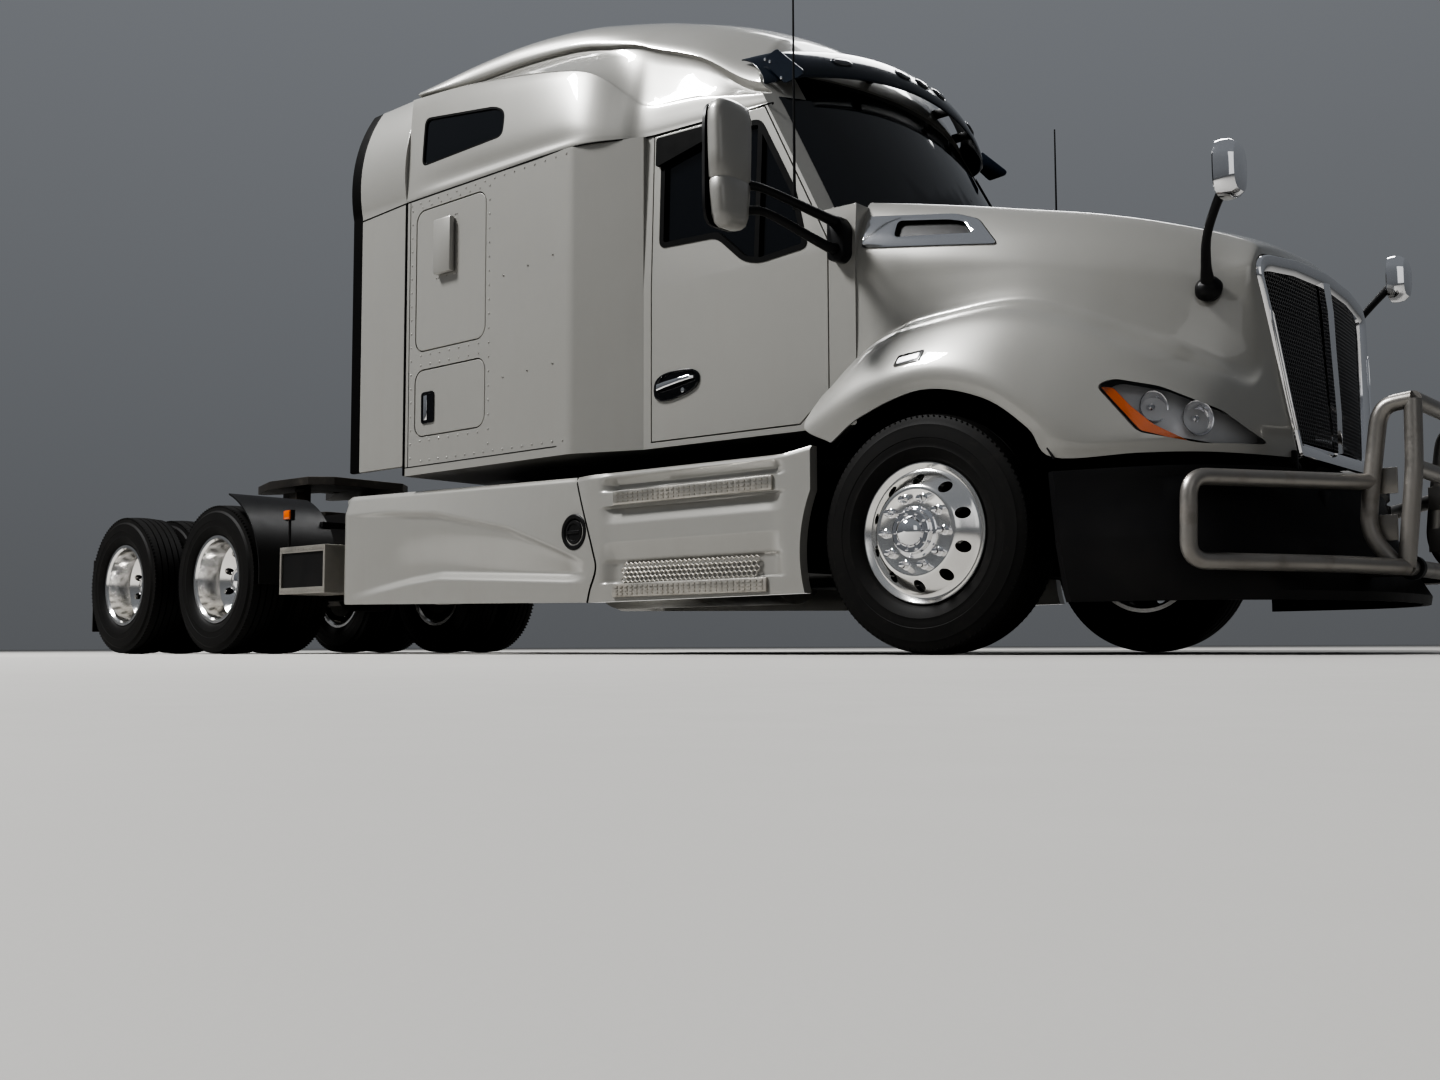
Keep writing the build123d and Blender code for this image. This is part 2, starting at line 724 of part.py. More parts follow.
bunk_front_x = -2640.0
bunk_top = 1800.0
bunk_y = sleeper_half_width - cab_wall - 12
with BuildPart() as seats:
    for sign in SIDES.values():
        spans = sorted((sign * (seat_y - 250), sign * (seat_y + 250)))
        block((-1450, -1150), sorted((sign * (seat_y - 150), sign * (seat_y + 150))), (floor_top, 1420))
        block((-1560, -1060), spans, (1420, 1560))
        block((-1640, -1510), spans, (1560, 2240))
    block((sleeper_rear_x + cab_wall, bunk_front_x), (-bunk_y, bunk_y), (bunk_top - 140, bunk_top))
    block((bunk_front_x - 20, bunk_front_x), (-bunk_y, bunk_y), (floor_top, bunk_top - 140))
save(seats, "seats_and_bunk")

# Sun visor, standing off ahead of the header
visor_half = 950.0
visor_z = (2740, 2960)
visor_standoff = 110.0
with BuildPart() as visor:
    add(screen_body(-visor_standoff))
    add(screen_body(8 - visor_standoff), mode=Mode.SUBTRACT)
    block((-1600, 200), (-visor_half, visor_half), visor_z, Mode.INTERSECT)
    with BuildPart(mode=Mode.PRIVATE) as brackets:
        for y in (-visor_half + 20, -320, 320, visor_half - 20):
            block((-1600, 200), (y - 12, y + 12), (visor_z[1] - 60, visor_z[1] - 20))
        add(screen_body(4 - visor_standoff), mode=Mode.INTERSECT)
        add(screen_body(0), mode=Mode.SUBTRACT)
    add(brackets.part)
save(visor, "sun_visor")

# Side extenders behind the sleeper, with rubber edges
extender_length = 450.0
extender_edge = 95.0
extender_thickness = 36.0
extender_low = 1090.0
rear_half, rear_shoulder_y, rear_shoulder_z = roof_sections[-1][1:4]


def extender_section():
    """Section of the right and left extenders, which follow the sleeper's rear edge."""
    with BuildSketch(cross_plane(sleeper_rear_x)) as section:
        for sign in SIDES.values():
            foot = (rear_half, side_top)
            turn = (rear_shoulder_y, rear_shoulder_z - 20)
            middle = bulged(foot, turn, roof_side_bulge)
            inner = rear_half - extender_thickness
            with BuildLine():
                Line((sign * rear_half, extender_low), (sign * rear_half, side_top))
                ThreePointArc(
                    (sign * foot[0], foot[1]), (sign * middle[0], middle[1]), (sign * turn[0], turn[1])
                )
                low = (turn[0] - extender_thickness, turn[1])
                Line((sign * turn[0], turn[1]), (sign * low[0], low[1]))
                ThreePointArc(
                    (sign * low[0], low[1]),
                    (sign * (middle[0] - extender_thickness), middle[1]),
                    (sign * inner, side_top),
                )
                Line((sign * inner, side_top), (sign * inner, extender_low))
                Line((sign * inner, extender_low), (sign * rear_half, extender_low))
            make_face()
    return section.sketch


with BuildPart() as extenders:
    extrude(extender_section(), amount=-extender_length)
save(extenders, "side_extenders")

with BuildPart() as edges:
    extrude(extender_section(), amount=-extender_length - extender_edge)
    block((sleeper_rear_x - extender_length, sleeper_rear_x + 10), (-1400, 1400), (900, 3600), Mode.SUBTRACT)
save(edges, "extender_edges")

# Cab mirrors on the cowl, with their arms and aerials
mirror_centre = (-720.0, 1560.0, 2135.0)
mirror_size = (120.0, 240.0, 570.0)
mirror_base_x = (-560, -465)
mirror_base_y = (1006.5, 1060)
aerial_top = 3055.0
with BuildPart() as mirrors:
    for sign in SIDES.values():
        with Locations((front_axle_x + mirror_centre[0], sign * mirror_centre[1], mirror_centre[2])):
            Box(*mirror_size)
    fillet(mirrors.edges(), 40)
    for sign in SIDES.values():
        block(mirror_base_x, sorted((sign * mirror_base_y[0], sign * mirror_base_y[1])), (1790, 1990))
        for base_z, head_z in ((1955, 2065), (1830, 1950)):
            start = (front_axle_x - 520, sign * 1035, base_z)
            end = (front_axle_x + mirror_centre[0] + 20, sign * (mirror_centre[1] - 90), head_z)
            section, length = rod_between(start, end, 22)
            extrude(section, amount=length)
        post(-610, sign * 1236, (2000, aerial_top), 5)
save(mirrors, "cab_mirrors")

# Bumper: height, then the outline's points from its rear end to the middle
bumper_levels = (
    (205, ((640, 1120), (1100, 1000), (1380, 750), (1540, 400), (1590, 0))),
    (450, ((620, 1160), (1020, 1050), (1240, 860), (1390, 520), (1500, 0))),
    (715, ((600, 1165), (980, 1050), (1190, 880), (1330, 600), (1425, 0))),
)
bumper_wall = 30.0

# The guard's lower cross tube turns in eyes on arms that reach through the bumper
tube_radius = 32.0
guard_pivot = (1674.0, 326.0)
guard_arm_y = (352.0, 392.0)
guard_eye_radius = 46.0


def bumper_body(inset):
    """Bumper's outer form, or what is hollow inside it."""
    with BuildPart() as body:
        for z, outline in bumper_levels:
            level = z + (-inset if z == bumper_levels[0][0] else inset if z == bumper_levels[-1][0] else 0)
            front = [(x - inset, y - 0.8 * inset) for x, y in outline[:-1]]
            front[0] = (outline[0][0] - inset, front[0][1])
            middle = (outline[-1][0] - inset, 0)
            with BuildSketch(plan_plane(level)):
                with BuildLine():
                    Polyline(
                        front + [middle] + [(x, -y) for x, y in reversed(front)], close=True
                    )
                make_face()
        loft(ruled=True)
    return body.part


with BuildPart() as bumper:
    add(bumper_body(0))
    add(bumper_body(bumper_wall), mode=Mode.SUBTRACT)
    for sign in SIDES.values():
        spans = sorted((sign * (rail_outer_y - rail_flange), sign * rail_outer_y))
        block((horn_front_x, 1400), spans, (horn_bottom, 640))
        arm = sorted((sign * guard_arm_y[0], sign * guard_arm_y[1]))
        block((1400, guard_pivot[0]), arm, (guard_pivot[1] - 30, guard_pivot[1] + 30))
        shaft(guard_pivot[0], arm, guard_pivot[1], guard_eye_radius)
        bore = (arm[0] - 1, arm[1] + 1)
        shaft(guard_pivot[0], bore, guard_pivot[1], tube_radius + running_gap, Mode.SUBTRACT)
save(bumper, "bumper")

# Side skirts with the rear half of the wheel arch
arch_centre = (26.0, 453.0)
arch_radius = 647.0
skirt_y = (1150.0, 1205.0)
skirt_outline = (
    (-4169, 959), (-4150, 300), (-1950, 262), (-600, 272), (-560, 420), (-560, 930), (-743, 904),
    (-2100, 912),
)
skirt_bracket_xs = (-4000, -2050)
skirt_bracket_z = (870, 905)
with BuildPart() as skirts:
    for sign in SIDES.values():
        spans = sorted((sign * skirt_y[0], sign * skirt_y[1]))
        with BuildSketch(side_plane(spans[1])):
            with BuildLine():
                Polyline(skirt_outline, close=True)
            make_face()
            with Locations(arch_centre):
                Circle(arch_radius, mode=Mode.SUBTRACT)
        extrude(amount=spans[1] - spans[0])
        for bracket_x in skirt_bracket_xs:
            reach = sorted((sign * rail_outer_y, sign * skirt_y[0]))
            block((bracket_x - 30, bracket_x + 30), reach, skirt_bracket_z)
        block((-1700, -850), sorted((sign * 1000, sign * skirt_y[0])), (500, 700))
save(skirts, "side_skirts")

step_treads_z = ((738, 815), (282, 350))
with BuildPart() as treads:
    for sign in SIDES.values():
        for z in step_treads_z:
            block((-1800, -800), sorted((sign * skirt_y[1], sign * (skirt_y[1] + 18))), z)
save(treads, "step_treads")

# Deck plate and access steps behind the sleeper
deck_z = (rail_top, rail_top + 12)
with BuildPart() as deck_and_steps:
    block((-5000, -4180), (-430, 430), deck_z)
    for sign in SIDES.values():
        block((-4840, -4330), sorted((sign * 880, sign * 1210)), (640, 680))
        block((-4840, -4330), sorted((sign * 880, sign * 1210)), (380, 420))
        for x in (-4840, -4350):
            block((x, x + 20), sorted((sign * 880, sign * 1210)), (420, 640))
        block((-4840, -4330), sorted((sign * 880, sign * rail_outer_y)), (640, 680))
        block((-4840, -4330), sorted((sign * (rail_outer_y + 20), sign * rail_outer_y)), (680, 800))
save(deck_and_steps, "deck_and_steps")

# Quarter fenders ahead of the drive wheels and mud flaps behind them
fender_x = drive_axle_xs["front"]
with BuildPart() as quarter_fenders:
    for sign in SIDES.values():
        spans = sorted((sign * 640, sign * 1235))
        with BuildSketch(side_plane(spans[1])):
            with Locations((fender_x, tyre_radius)):
                Circle(tyre_radius + 95)
                Circle(tyre_radius + 85, mode=Mode.SUBTRACT)
            with Locations((fender_x + 600, tyre_radius + 260)):
                Rectangle(800, 620, mode=Mode.INTERSECT)
        extrude(amount=spans[1] - spans[0])
        block(
            (fender_x + 455, fender_x + 495), sorted((sign * rail_outer_y, sign * 700)), (860, 900)
        )
save(quarter_fenders, "quarter_fenders")

with BuildPart() as tail_bar:
    block((frame_end_x + 30, frame_end_x + 70), (-1180, 1180), (rail_bottom - 90, rail_bottom))
    for sign in SIDES.values():
        flap = sorted((sign * 620, sign * 1180))
        block((frame_end_x + 35, frame_end_x + 45), flap, (170, rail_bottom - 90))
        lamp = sorted((sign * 300, sign * 560))
        block((frame_end_x, frame_end_x + 30), lamp, (rail_bottom - 80, rail_bottom - 10))
save(tail_bar, "tail_bar")

# Fifth wheel: fixed base with its slide rails and a plate that tips on a cross pin
fifth_x = -wheelbase + 250
fifth_pin_z = 1150.0
fifth_pin_radius = 25.0
plate_z = (1225, 1285)
kingpin_bore = 25.9
with BuildPart() as fifth_base:
    block((fifth_x - 520, fifth_x + 520), (-rail_outer_y, rail_outer_y), (rail_top, rail_top + 30))
    for sign in SIDES.values():
        block(
            (fifth_x - 90, fifth_x + 90), sorted((sign * 330, sign * 400)), (rail_top + 30, fifth_pin_z + 40)
        )
    shaft(fifth_x, (-420, 420), fifth_pin_z, fifth_pin_radius + running_gap, Mode.SUBTRACT)
save(fifth_base, "fifth_wheel_base")

with BuildPart() as plate:
    with BuildSketch(plan_plane(plate_z[0])):
        with BuildLine():
            outline = [
                (430, 0), (430, 300), (300, 440), (-180, 460), (-560, 330), (-560, 270), (-120, 60), (-40, 0),
            ]
            points = [(fifth_x + x, y) for x, y in outline]
            Polyline(points[1:-1] + [(x, -y) for x, y in reversed(points[1:-1])], close=True)
        make_face()
        with Locations((fifth_x, 0)):
            Circle(kingpin_bore, mode=Mode.SUBTRACT)
    extrude(amount=plate_z[1] - plate_z[0])
    for sign in SIDES.values():
        block(
            (fifth_x - 60, fifth_x + 60), sorted((sign * 260, sign * 320)), (fifth_pin_z - 50, plate_z[0])
        )
        shaft(fifth_x, (sign * 270, sign * 398), fifth_pin_z, fifth_pin_radius)
save(plate, "fifth_wheel_plate")


def nose_body(inset):
    """Everything behind the curved and slightly raked face of the hood's nose."""
    radius = 4670 - inset
    half = 1500
    with BuildPart() as body:
        for z in (400, 2600):
            front = 1318 - 0.06 * (z - 747) - inset
            edge = front - radius + sqrt(radius**2 - half**2)
            with BuildSketch(plan_plane(z)):
                with BuildLine():
                    ThreePointArc((edge, -half), (front, 0), (edge, half))
                    Polyline((edge, half), (-1200, half), (-1200, -half), (edge, -half))
                make_face()
        loft(ruled=True)
    return body.part


# Hood sections: place, side y, shoulder y and z, crest y and z, crown z
hood_sections = (
    (-460, 1000, 975, 1800, 850, 2070, 2120),
    (420, 930, 900, 1600, 790, 1870, 1930),
    (900, 830, 790, 1480, 640, 1720, 1775),
    (1400, 700, 680, 1340, 560, 1540, 1590),
)
# Fender sections: place, outer y, height of the outer edge, top y and z
fender_sections = (
    (-600, 1190, 960, 1010, 1060),
    (-350, 1205, 1090, 960, 1290),
    (0, 1215, 1120, 930, 1400),
    (420, 1190, 1090, 900, 1390),
    (820, 1090, 1020, 800, 1300),
    (1200, 900, 950, 700, 1180),
    (1400, 760, 900, 600, 1100),
)
hood_low = 770.0
hood_wall = 35.0


def hood_body(inset):
    """Hood with both fenders as a solid, moved in by an inset."""
    low = hood_low - (200 if inset else 0)
    with BuildPart() as body:
        for x, side_y, shoulder_y, shoulder_z, crest_y, crest_z, crown_z in hood_sections:
            place = x - inset if x == hood_sections[0][0] else x
            with BuildSketch(cross_plane(place)):
                side_foot = (side_y - inset, low)
                side_head = (side_y - inset, 1300)
                shoulder = (shoulder_y - inset, shoulder_z - 0.3 * inset)
                crest = (crest_y - 0.6 * inset, crest_z - 0.8 * inset)
                middle = bulged(shoulder, crest, 0.14)
                with BuildLine():
                    Polyline(side_foot, side_head, shoulder)
                    ThreePointArc(shoulder, middle, crest)
                    ThreePointArc(crest, (0, crown_z - inset), (-crest[0], crest[1]))
                    ThreePointArc(
                        (-crest[0], crest[1]), (-middle[0], middle[1]), (-shoulder[0], shoulder[1])
                    )
                    Polyline(
                        (-shoulder[0], shoulder[1]), (-side_head[0], side_head[1]),
                        (-side_foot[0], side_foot[1]), side_foot,
                    )
                make_face()
        loft()
        for sign in SIDES.values():
            for x, outer_y, edge_z, top_y, top_z in fender_sections:
                place = x - inset if x == fender_sections[0][0] else x
                with BuildSketch(cross_plane(place)):
                    edge = (outer_y - inset, edge_z - 0.3 * inset)
                    top = (top_y, top_z - inset)
                    middle = bulged(edge, top, 0.16)
                    with BuildLine():
                        Polyline(
                            (sign * 450, top[1]), (sign * 450, low), (sign * edge[0], low),
                            (sign * edge[0], edge[1]),
                        )
                        ThreePointArc(
                            (sign * edge[0], edge[1]), (sign * middle[0], middle[1]),
                            (sign * top[0], top[1]),
                        )
                        Line((sign * top[0], top[1]), (sign * 450, top[1]))
                    make_face()
            loft()
        add(nose_body(inset), mode=Mode.INTERSECT)
    return body.part


# Outlines on the hood, seen from the front or from the side
grille_half_outline = [
    (0, 1612), (590, 1575), (670, 1515), (455, 775), (0, 775),
]
lamp_outline = ((745, 1045), (800, 1070), (960, 1030), (1150, 930), (1250, 810), (1100, 800), (900, 850))
lamp_inner_y = 820.0
vent_outline = ((-430, 2000), (0, 1935), (120, 1885), (237, 1740), (-430, 1835))


def lamp_zone(grow):
    """What lies inside the headlamp outline on both fenders, grown by a gap."""
    with BuildPart() as zone:
        for sign in SIDES.values():
            spans = sorted((sign * (lamp_inner_y - grow), sign * 1500))
            add(outline_prism(lamp_outline, spans, grow))
    return zone.part


def grille_prism(grow):
    """Solid along the vehicle with the grille's outline."""
    with BuildPart() as prism:
        with BuildSketch(cross_plane(1000)):
            with BuildLine():
                half = grille_half_outline[1:-1]
                Polyline(half + [(-y, z) for y, z in reversed(half)], close=True)
            make_face()
            if grow:
                offset(amount=grow, kind=Kind.INTERSECTION)
        extrude(amount=600)
    return prism.part


hood_wall_solid = hood_body(0) - hood_body(hood_wall)
with BuildPart() as hood:
    add(hood_wall_solid)
    add(grille_prism(running_gap), mode=Mode.SUBTRACT)
    add(lamp_zone(running_gap), mode=Mode.SUBTRACT)
    add(outline_prism(vent_outline, (-1500, 1500), running_gap), mode=Mode.SUBTRACT)
    block((-760, cowl_x + 6), (-1012, 1012), (600, 1500), Mode.SUBTRACT)
    block((-760, -430), (-1400, 1400), (600, 945), Mode.SUBTRACT)
    block((-760, -592), (-1400, 1400), (600, 1500), Mode.SUBTRACT)
    block((-760, cowl_x + 6), (-1400, 1400), (1400, 2300), Mode.SUBTRACT)
    with Locations(Location((front_axle_x + arch_centre[0], 0, arch_centre[1]), (90, 0, 0))):
        Cylinder(arch_radius, 3000, mode=Mode.SUBTRACT)
    for sign in SIDES.values():
        with BuildPart(mode=Mode.PRIVATE) as ear:
            block((1235, 1400), sorted((sign * ear_y[0], sign * ear_y[1])), (700, 798))
            add(nose_body(10), mode=Mode.INTERSECT)
        add(ear.part)
        shaft(hood_pivot[0], (sign * (rail_outer_y + 2), sign * ear_y[1]), hood_pivot[1], hinge_pin_radius)
save(hood, "hood_shell")

with BuildPart() as surround:
    add(nose_body(-14))
    add(nose_body(30), mode=Mode.SUBTRACT)
    add(grille_prism(0), mode=Mode.INTERSECT)
    add(grille_prism(-75), mode=Mode.SUBTRACT)
    with BuildPart(mode=Mode.PRIVATE) as bar:
        add(nose_body(-10))
        add(nose_body(30), mode=Mode.SUBTRACT)
        block((900, 1500), (-22, 22), (790, 1560), Mode.INTERSECT)
    add(bar.part)
save(surround, "grille_surround")

with BuildPart() as mesh:
    add(nose_body(31))
    add(nose_body(39), mode=Mode.SUBTRACT)
    add(grille_prism(-8), mode=Mode.INTERSECT)
save(mesh, "grille_mesh")

with BuildPart() as headlamps:
    add(hood_wall_solid)
    add(lamp_zone(0), mode=Mode.INTERSECT)
save(headlamps, "headlamps")

with BuildPart() as vents:
    add(hood_wall_solid)
    add(outline_prism(vent_outline, (-1500, 1500)), mode=Mode.INTERSECT)
save(vents, "vent_bezels")

with BuildPart() as hood_mirrors:
    for sign in SIDES.values():
        with Locations((front_axle_x + 1285, sign * 1048, 1790)):
            Box(90, 160, 220)
    fillet(hood_mirrors.edges(), 35)
    for sign in SIDES.values():
        route = ((1089, 788.2, 1425), (1110, 880, 1540), (1215, 985, 1680), (1270, 1040, 1740))
        places = [(front_axle_x + x, sign * y, z) for x, y, z in route]
        for start, end in zip(places, places[1:]):
            section, length = rod_between(start, end, 20)
            extrude(section, amount=length)
            with Locations(end):
                Sphere(20)
        with Locations(places[0]):
            Sphere(38)
save(hood_mirrors, "hood_mirrors")

# Front guard, folding forward about its lower cross tube
guard_half = 450.0
cross_tubes = ((1718, 958), (1714, 700))
bend_radius = 75.0
guard_routes = (
    (
        (1560, guard_half, 655), (1437, 640, 655), (1128, 1130, 655), (1118, 1130, 345), (1500, 700, 335),
        (guard_pivot[0], guard_half, guard_pivot[1]),
    ),
    (
        (1640, guard_half, 330), (1540, guard_half, 460), (1560, guard_half, 655), (1600, guard_half, 945),
        (1718, guard_half, 958),
    ),
    ((1718, guard_half, 958), (1714, guard_half, 700), (guard_pivot[0], guard_half, guard_pivot[1])),
)


def bent_tube(route):
    """Add a round tube with bends along a route, with ball ends."""
    places = [(front_axle_x + x, y, z) for x, y, z in route]
    with BuildLine() as path:
        FilletPolyline(*places, radius=bend_radius)
    run = Vector(*places[1]) - Vector(*places[0])
    with BuildSketch(Plane(origin=places[0], z_dir=run)) as section:
        Circle(tube_radius)
    sweep(sections=section.sketch, path=path.line)
    with Locations(places[0], places[-1]):
        Sphere(tube_radius)


with BuildPart() as guard:
    for route in guard_routes:
        bent_tube(route)
    mirror(about=Plane.XZ)
    for x, z in cross_tubes + (guard_pivot,):
        shaft(x, (-guard_half, guard_half), z, tube_radius)
save(guard, "front_guard")

print("written")
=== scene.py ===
"""Looks of a conventional tractor unit with a raised-roof sleeper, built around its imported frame.

Places are in metres. A table's x is counted forward from the front axle, y to the left
and z up from the ground, and Layout.at turns such a place into one of the frame.
"""
from __future__ import annotations

import json
import logging
import math
from dataclasses import dataclass
from enum import Enum
from functools import cache
from typing import Callable, Iterable, Sequence

import bmesh
import bpy
from mathutils import Matrix, Vector


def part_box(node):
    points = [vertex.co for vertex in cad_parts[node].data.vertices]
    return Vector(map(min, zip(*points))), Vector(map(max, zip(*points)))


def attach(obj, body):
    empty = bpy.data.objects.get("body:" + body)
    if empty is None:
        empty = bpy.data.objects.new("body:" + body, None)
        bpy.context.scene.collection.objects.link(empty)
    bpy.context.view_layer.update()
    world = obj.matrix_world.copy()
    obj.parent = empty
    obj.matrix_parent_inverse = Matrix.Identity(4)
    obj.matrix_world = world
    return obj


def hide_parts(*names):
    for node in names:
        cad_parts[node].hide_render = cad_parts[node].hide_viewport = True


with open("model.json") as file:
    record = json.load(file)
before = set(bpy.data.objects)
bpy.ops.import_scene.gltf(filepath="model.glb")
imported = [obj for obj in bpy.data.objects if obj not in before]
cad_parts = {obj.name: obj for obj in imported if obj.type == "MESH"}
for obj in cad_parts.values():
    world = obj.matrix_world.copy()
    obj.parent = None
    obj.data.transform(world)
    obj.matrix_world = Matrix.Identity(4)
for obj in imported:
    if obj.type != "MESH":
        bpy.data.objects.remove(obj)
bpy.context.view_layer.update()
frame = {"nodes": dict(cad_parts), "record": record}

Item = bpy.types.Object
Point = Sequence[float]
Table = Sequence[Sequence[float]]
Pair = tuple[float, float]
Outline = tuple[Pair, ...]
Width = Callable[[float, float], float]
log = logging.getLogger("tractor")

SIDES: dict[str, int] = {"left": 1, "right": -1}
AXLES: tuple[str, str] = ("front", "rear")


@dataclass(frozen=True)
class Layout:
    """Places that several sub-assemblies share, read from the frame."""

    axle_x: float
    drive_x: dict[str, float]
    wheel_z: float
    tyre_radius: float

    @classmethod
    def from_frame(cls) -> Layout:
        """Read the wheels' places from the tyres' boxes.

        Returns:
            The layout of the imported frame.
        """
        low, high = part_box("tyre_steer_right")
        axle_x = (low.x + high.x) / 2
        drive_x = {}
        for axle in AXLES:
            near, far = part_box(f"tyres_{axle}_drive_right")
            drive_x[axle] = (near.x + far.x) / 2 - axle_x
        return cls(axle_x, drive_x, (low.z + high.z) / 2, (high.z - low.z) / 2)

    def at(self, x: float, y: float, z: float) -> Vector:
        """Place of the frame for an x counted from the front axle."""
        return Vector((self.axle_x + x, y, z))


layout = Layout.from_frame()


class Maths:
    """A node's output that takes part in Python arithmetic."""

    def __init__(self, nodes: Nodes, socket: bpy.types.NodeSocket) -> None:
        """Wrap an output socket of a tree's node."""
        self.nodes = nodes
        self.socket = socket

    def _with(self, operation: str, *values: object) -> Maths:
        """Add the Math node for an operation on these values."""
        return self.nodes.add("ShaderNodeMath", {"operation": operation}, dict(enumerate(values)))

    def __add__(self, other: object) -> Maths:
        """Sum."""
        return self._with("ADD", self, other)

    def __sub__(self, other: object) -> Maths:
        """Difference."""
        return self._with("SUBTRACT", self, other)

    def __rsub__(self, other: object) -> Maths:
        """Difference from a number."""
        return self._with("SUBTRACT", other, self)

    def __mul__(self, other: object) -> Maths:
        """Product."""
        return self._with("MULTIPLY", self, other)

    def __truediv__(self, other: object) -> Maths:
        """Quotient."""
        return self._with("DIVIDE", self, other)

    __radd__ = __add__
    __rmul__ = __mul__

    def sine(self) -> Maths:
        """Sine of the value, in radians."""
        return self._with("SINE", self)

    def ramp(self, low: float, high: float) -> Maths:
        """Smooth step from 0 at low to 1 at high."""
        inputs = {"Value": self, "From Min": low, "From Max": high}
        return self.nodes.add("ShaderNodeMapRange", {"interpolation_type": "SMOOTHSTEP"}, inputs)


class Nodes:
    """A node tree that is written as expressions."""

    def __init__(self, tree: bpy.types.NodeTree) -> None:
        """Take up a tree."""
        self.tree = tree

    def plug(self, target: bpy.types.NodeSocket, value: object) -> None:
        """Link or set one socket.

        Args:
            target: The input socket.
            value: A wrapped socket, a plain socket or a constant.
        """
        if isinstance(value, Maths):
            value = value.socket
        if isinstance(value, bpy.types.NodeSocket):
            self.tree.links.new(value, target)
        else:
            target.default_value = value

    def add(self, kind: str, settings: dict, inputs: dict, output: object = 0) -> Maths:
        """Add one node of any type.

        Args:
            kind: The node's type.
            settings: Its own settings.
            inputs: Values or links, by the socket's name or number.
            output: The name or number of the output that is wanted.

        Returns:
            That output, wrapped for arithmetic.
        """
        node = self.tree.nodes.new(kind)
        for key, value in settings.items():
            setattr(node, key, value)
        for key, value in inputs.items():
            self.plug(node.inputs[key], value)
        return Maths(self, node.outputs[output])


class Graph(Nodes):
    """A material's node tree around one Principled shader."""

    def __init__(self, name: str) -> None:
        """Start a material with its shader and output.

        Args:
            name: The material's name.
        """
        self.material = bpy.data.materials.new(name)
        self.material.use_nodes = True
        super().__init__(self.material.node_tree)
        self.tree.nodes.clear()
        output = self.tree.nodes.new("ShaderNodeOutputMaterial")
        self.shader = self.tree.nodes.new("ShaderNodeBsdfPrincipled")
        self.plug(output.inputs["Surface"], self.shader.outputs["BSDF"])
        self.coordinates = self.tree.nodes.new("ShaderNodeTexCoord").outputs["Object"]

    def noise(self, scale: float, detail: float = 3.0, stretch: Point = (1, 1, 1)) -> Maths:
        """Noise on object coordinates, stretched along the axes."""
        place = self.add("ShaderNodeMapping", {}, {"Vector": self.coordinates, "Scale": stretch})
        return self.add("ShaderNodeTexNoise", {}, {"Vector": place, "Scale": scale, "Detail": detail})

    def cells(self, scale: float) -> Maths:
        """Distance from the nearest cell centre, on object coordinates."""
        return self.add("ShaderNodeTexVoronoi", {}, {"Vector": self.coordinates, "Scale": scale})

    def axis(self, name: str) -> Maths:
        """One of the object coordinates."""
        return self.add("ShaderNodeSeparateXYZ", {}, {"Vector": self.coordinates}, name)

    def blend(self, share: object, *colours: object) -> Maths:
        """Mix two colours.

        Args:
            share: Share of the second colour.
            colours: The two colours or links.

        Returns:
            The mixed colour.
        """
        first, second = ((*value, 1.0) if isinstance(value, tuple) else value for value in colours)
        return self.add("ShaderNodeMix", {"data_type": "RGBA"}, {0: share, 6: first, 7: second}, 2)

    def bump(self, height: Maths, strength: float, distance: float = 0.001) -> None:
        """Raise the surface by a height."""
        inputs = {"Height": height, "Strength": strength, "Distance": distance}
        self.set(Normal=self.add("ShaderNodeBump", {}, inputs))

    def set(self, **values: object) -> None:
        """Set or link the shader's sockets, named with underscores for spaces."""
        for key, value in values.items():
            self.plug(self.shader.inputs[key.replace("_", " ")], value)


@dataclass(frozen=True)
class Finish:
    """A surface finish with a plain colour, grime that gathers low down and fine grain."""

    name: str
    colour: tuple[float, float, float]
    roughness: float
    metallic: float = 0.0
    coat: float = 0.0
    grain_scale: float = 400.0
    grain: float = 0.08
    grime: float = 0.0
    grime_colour: tuple[float, float, float] = (0.16, 0.135, 0.105)
    grime_height: float = 1.0
    mottle: float = 0.12
    alpha: float = 1.0
    specular: float = 0.5

    def build(self) -> bpy.types.Material:
        """Make the finish once and keep it.

        Returns:
            The material of this name.
        """
        label = f"{self.name}_finish"
        known = bpy.data.materials.get(label)
        if known:
            return known
        graph = Graph(label)
        graph.set(Coat_Weight=self.coat, Coat_Roughness=0.04)
        graph.set(Alpha=self.alpha, Specular_IOR_Level=self.specular)
        self.dress(graph)
        return graph.material

    def grime_share(self, graph: Graph) -> Maths:
        """Share of dust, thickest near the ground and in patches."""
        low = 1 - graph.axis("Z").ramp(0.1, self.grime_height)
        patch = graph.noise(5.0, 6.0).ramp(0.35, 0.75)
        return self.grime * (0.25 + 0.75 * low) * (0.35 + 0.65 * patch)

    def tone(self, graph: Graph) -> Maths:
        """Colour with soft mottling."""
        dark = tuple(channel * (1 - self.mottle) for channel in self.colour)
        light = tuple(min(1.0, channel * (1 + self.mottle)) for channel in self.colour)
        return graph.blend(graph.noise(2.2, 5.0), dark, light)

    def dress(self, graph: Graph) -> None:
        """Set the colour, roughness and bump of the finish.

        Args:
            graph: The material's tree.
        """
        share = self.grime_share(graph)
        grain = graph.noise(self.grain_scale, 4.0)
        graph.set(
            Base_Color=graph.blend(share, self.tone(graph), self.grime_colour),
            Roughness=self.roughness * (0.8 + 0.4 * graph.noise(14.0, 5.0)) + 0.5 * share,
            Metallic=self.metallic * (1 - share),
        )
        graph.bump(grain, self.grain)


